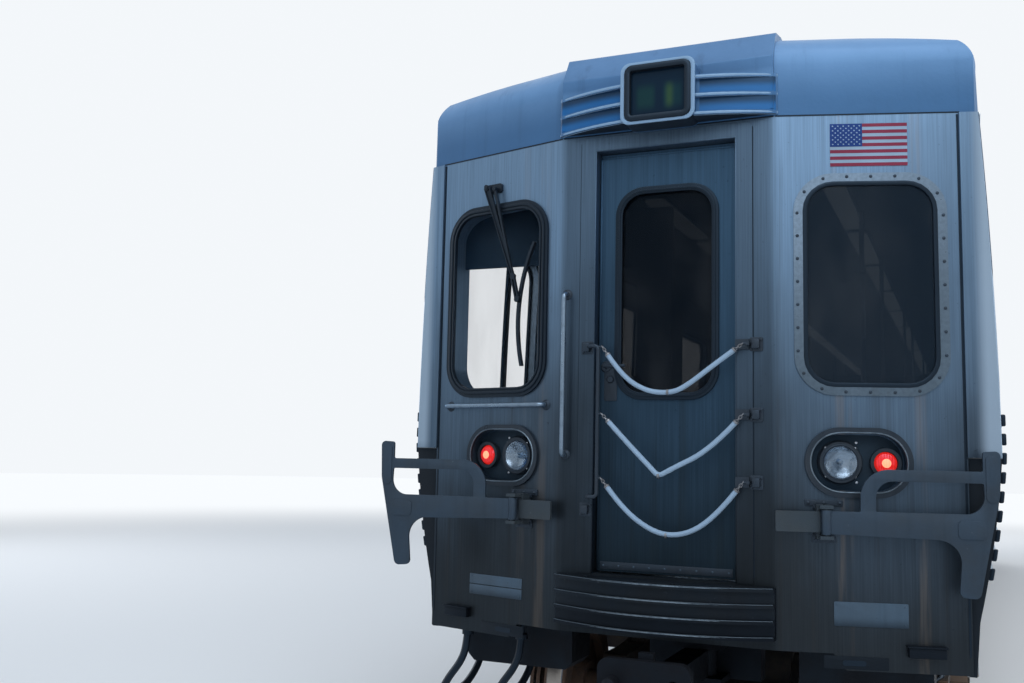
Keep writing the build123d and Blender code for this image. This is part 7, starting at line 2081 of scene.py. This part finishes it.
@dataclass
class Underfloor:
    """Doors, louvres, latches, straps, reservoirs and pipes below the floor.

    A box is centre x, centre y, width, length and drop below the hanger, with louvres if its number is in lattice.
    A reservoir is its front end along the car, and a pipe is its X and height.
    """

    boxes: tuple[tuple[float, ...], ...] = (
        (-0.76, -2.45, 0.82, 1.5, 0.43),
        (0.76, -2.65, 0.78, 1.1, 0.4),
        (0.76, -1.15, 0.76, 1.3, 0.47),
        (-0.76, -0.45, 0.78, 1.5, 0.42),
        (0.74, 0.65, 0.8, 1.5, 0.44),
        (-0.76, 1.25, 0.76, 1.2, 0.38),
        (0.76, 2.45, 0.76, 1.4, 0.43),
        (-0.76, 2.75, 0.8, 1.1, 0.46),
    )
    hanger: float = 0.948
    chamfer: float = 0.034
    lattice: tuple[int, ...] = (1, 3, 6)
    reservoirs: tuple[float, ...] = (-2.9, -1.3, 0.6, 2.1)
    pipes: tuple[Pair, ...] = ((0.318, 0.925), (-0.318, 0.925), (0.318, 0.893))

    def build(self) -> None:
        """Makes the pieces below the floor."""
        doors, louvres, latches, straps = (Mould() for _ in range(4))
        for number, (x, y, width, length, drop) in enumerate(self.boxes):
            side = 1 if x > 0 else -1
            face, middle, bottom = x + side * width / 2, self.hanger - drop / 2, self.hanger - drop
            leaves = 2 if length > 1.25 else 1
            wide = (length - 0.1) / leaves - 0.02
            for leaf in range(leaves):
                centre = y + (leaf - (leaves - 1) / 2) * (wide + 0.02)
                place = at(face, centre, middle - 0.01, (side, 0, 0))
                doors.put(slab(wide, drop - 0.09, 0.02, 0.01, 0.0, 0.003), place)
                rim = slab(wide - 0.05, drop - 0.14, 0.015, 0.005, 0.012, 0.001)
                doors.put(rim, place @ Matrix.Translation((0, 0, 0.01)))
                if number in self.lattice:
                    rows = (place @ Matrix.Translation((0, (row - 3) * 0.036, 0.01)) for row in range(7))
                    louvres.put(wedge(wide * 0.62, 0.022, 0.016), *rows)
                for shift, (size, up) in product((-0.3, 0.3), (((0.05, 0.028, 0.014), 0.075 - drop / 2),
                                                                ((0.07, 0.02, 0.012), drop / 2 - 0.07))):
                    latches.put(block(size, 0.004), place @ Matrix.Translation((shift * wide, up, size[2])))
            for along in (y - 0.36 * length, y + 0.36 * length):
                straps.put(block((width - 2 * self.chamfer, 0.05, 0.006), 0.002), at(x, along, bottom - 0.002))
                straps.put(block((0.05, drop + 0.06 - self.chamfer, 0.008), 0.002),
                           at(face - side * 0.002, along, middle + 0.03 + self.chamfer / 2, (side, 0, 0)))
                inset = self.chamfer / 2 - 0.001
                straps.put(block((0.05, self.chamfer * 1.5, 0.007), 0.002),
                           at(face - side * inset, along, bottom + inset, (side, 0, -1)))
                straps.put(bolt(0.012, 0.012), at(face + side * 0.001, along, self.hanger + 0.035, (side, 0, 0)))
        doors.show("equipment_doors", EQUIPMENT)
        louvres.show("equipment_louvres", EQUIPMENT)
        latches.show("equipment_latches", DARK_STEEL)
        straps.show("equipment_straps", CASTING)
        self.hang_reservoirs()

    def hang_reservoirs(self) -> None:
        """Straps and drain cocks of the air reservoirs, and the pipes along the sills."""
        straps, pipes = Mould(), Mould()
        band = ((0.118, -0.02), (0.124, -0.02), (0.124, 0.02), (0.118, 0.02))
        cock = ((0.0, 0.0), (0.016, 0.0), (0.018, 0.006), (0.012, 0.022), (0.0, 0.022))
        for y in self.reservoirs:
            for shift in (0.22, 0.78):
                straps.put(lathe(band, 32, True), at(0.0, y + shift, 0.745, (0, 1, 0)))
                straps.put(bolt(0.011, 0.01), *(at(x, y + shift, 0.892, (0, 0, -1)) for x in (-0.27, 0.27)))
            pipes.put(pipe(((0.0, y + 0.5, 0.628), (0.0, y + 0.5, 0.6), (0.03, y + 0.5, 0.585)), 0.008, 0.01))
            straps.put(lathe(cock, 16), at(0.0, y + 0.5, 0.606))
        for x, z in self.pipes:
            pipes.put(pipe([(x, y, z) for y in (-4.4, -1.0, 1.5, 4.4)], 0.013, 0.1))
        straps.show("reservoir_straps", DARK_STEEL)
        pipes.show("air_pipes", DARK_STEEL)


@dataclass
class Shell:
    """The solids that stay as they are, with each finish's nodes; the door leaves have the finish of door steel."""

    smooth_angle: float = 30.0
    finishes: tuple[tuple[Finish, str], ...] = (
        (DECK, "underframe"), (SIDE_STEEL, "side_wall_left side_wall_right"), (TINTED, "side_windows"),
        (FRAME_STEEL, "side_window_frames bolted_window_frame"), (ROOF_STEEL, "roof"), (FAIRING, "roof_fairing"),
        (END_STEEL, "cab_end_wall corner_covers rear_end_wall"), (END_DOOR_STEEL, "cab_end_door rear_end_door"),
        (END_GLASS, "end_windows"), (RUBBER, "windscreen_gasket"), (BLACK, "wiper"), (BEZEL, "lamp_bezels"),
        (LAMP_GLASS, "headlamps"), (RED_LENS, "tail_lamps"), (CAP, "cab_end_cap"), (SIGN_FACE, "destination_sign"),
        (CLIMBER, "anticlimbers"), (GATE, "gate_arm_left gate_arm_right"), (BRACKET, "gate_brackets"),
        (END_RAIL, "grab_rails"), (DARK_STEEL, "chain_brackets"), (SLEEVE, "door_chains"), (BENCH_SHELL, "benches"),
        (CLOTH, "seat_cushions"), (RAIL, "stanchions"), (PANEL, "cab_partition"), (CONSOLE, "cab_console cab_seat"),
        (EQUIPMENT, "underfloor_equipment"), (COUPLER, "coupler_yokes coupler_front coupler_rear"),
        (CASTING, "bogie_frame_front bogie_frame_rear"), (MOTOR, "traction_motors_front traction_motors_rear"),
        (BRAKE, "brake_gear_front brake_gear_rear"), (WHEEL, "wheelset_1 wheelset_2 wheelset_3 wheelset_4"),
    )

    def dress(self) -> None:
        """Gives each node its finish, and smooth shading to what is turned."""
        chosen = {name: finish for finish, names in self.finishes for name in names.split()}
        for name, node in frame["nodes"].items():
            finish = chosen.get(name, DOOR_STEEL)
            for slot in node.material_slots:
                slot.material = finish.material()
            node.modifiers.new("ease", "NODES").node_group = self.shading()
            logging.info("%s: %s", name, finish.name)

    def shading(self) -> bpy.types.NodeTree:
        """Nodes that join a solid's loose triangles and shade its turned faces smooth.

        Returns:
            The group of nodes, made the first time.
        """
        if "ease" in bpy.data.node_groups:
            return bpy.data.node_groups["ease"]
        group = bpy.data.node_groups.new("ease", "GeometryNodeTree")
        for way in ("INPUT", "OUTPUT"):
            group.interface.new_socket("Geometry", in_out=way, socket_type="NodeSocketGeometry")
        start, end = group.nodes.new("NodeGroupInput"), group.nodes.new("NodeGroupOutput")
        joined = group.nodes.new("GeometryNodeMergeByDistance")
        joined.inputs["Distance"].default_value = WELD
        faces = group.nodes.new("GeometryNodeSetShadeSmooth")
        edges = group.nodes.new("GeometryNodeSetShadeSmooth")
        edges.domain = "EDGE"
        angle = group.nodes.new("GeometryNodeInputMeshEdgeAngle")
        gentle = group.nodes.new("FunctionNodeCompare")
        gentle.operation = "LESS_THAN"
        gentle.inputs[1].default_value = math.radians(self.smooth_angle)
        group.links.new(start.outputs[0], joined.inputs["Geometry"])
        group.links.new(joined.outputs[0], faces.inputs["Geometry"])
        group.links.new(faces.outputs[0], edges.inputs["Geometry"])
        group.links.new(angle.outputs["Unsigned Angle"], gentle.inputs[0])
        group.links.new(gentle.outputs[0], edges.inputs["Shade Smooth"])
        group.links.new(edges.outputs[0], end.inputs[0])
        return group


def main() -> None:
    """Builds the studio and the car's looks in order."""
    logging.basicConfig(level=logging.INFO, format="%(message)s")
    bpy.context.scene.view_settings.view_transform = "Standard"
    Studio().build()
    Shell().dress()
    EndPanels().build()
    EndLamps().build()
    EndDoors().build()
    Chains().build()
    Hood().build()
    Anticlimber().build()
    Gates().build()
    EndTrim().build()
    Sides().build()
    RoofTop().build()
    Bogie("bogie_front", -BOGIE_Y, ("axle_1", "axle_2")).build()
    Bogie("bogie_rear", BOGIE_Y, ("axle_3", "axle_4")).build()
    Underfloor().build()
    Inside().build()


if __name__ == "__main__":
    main()
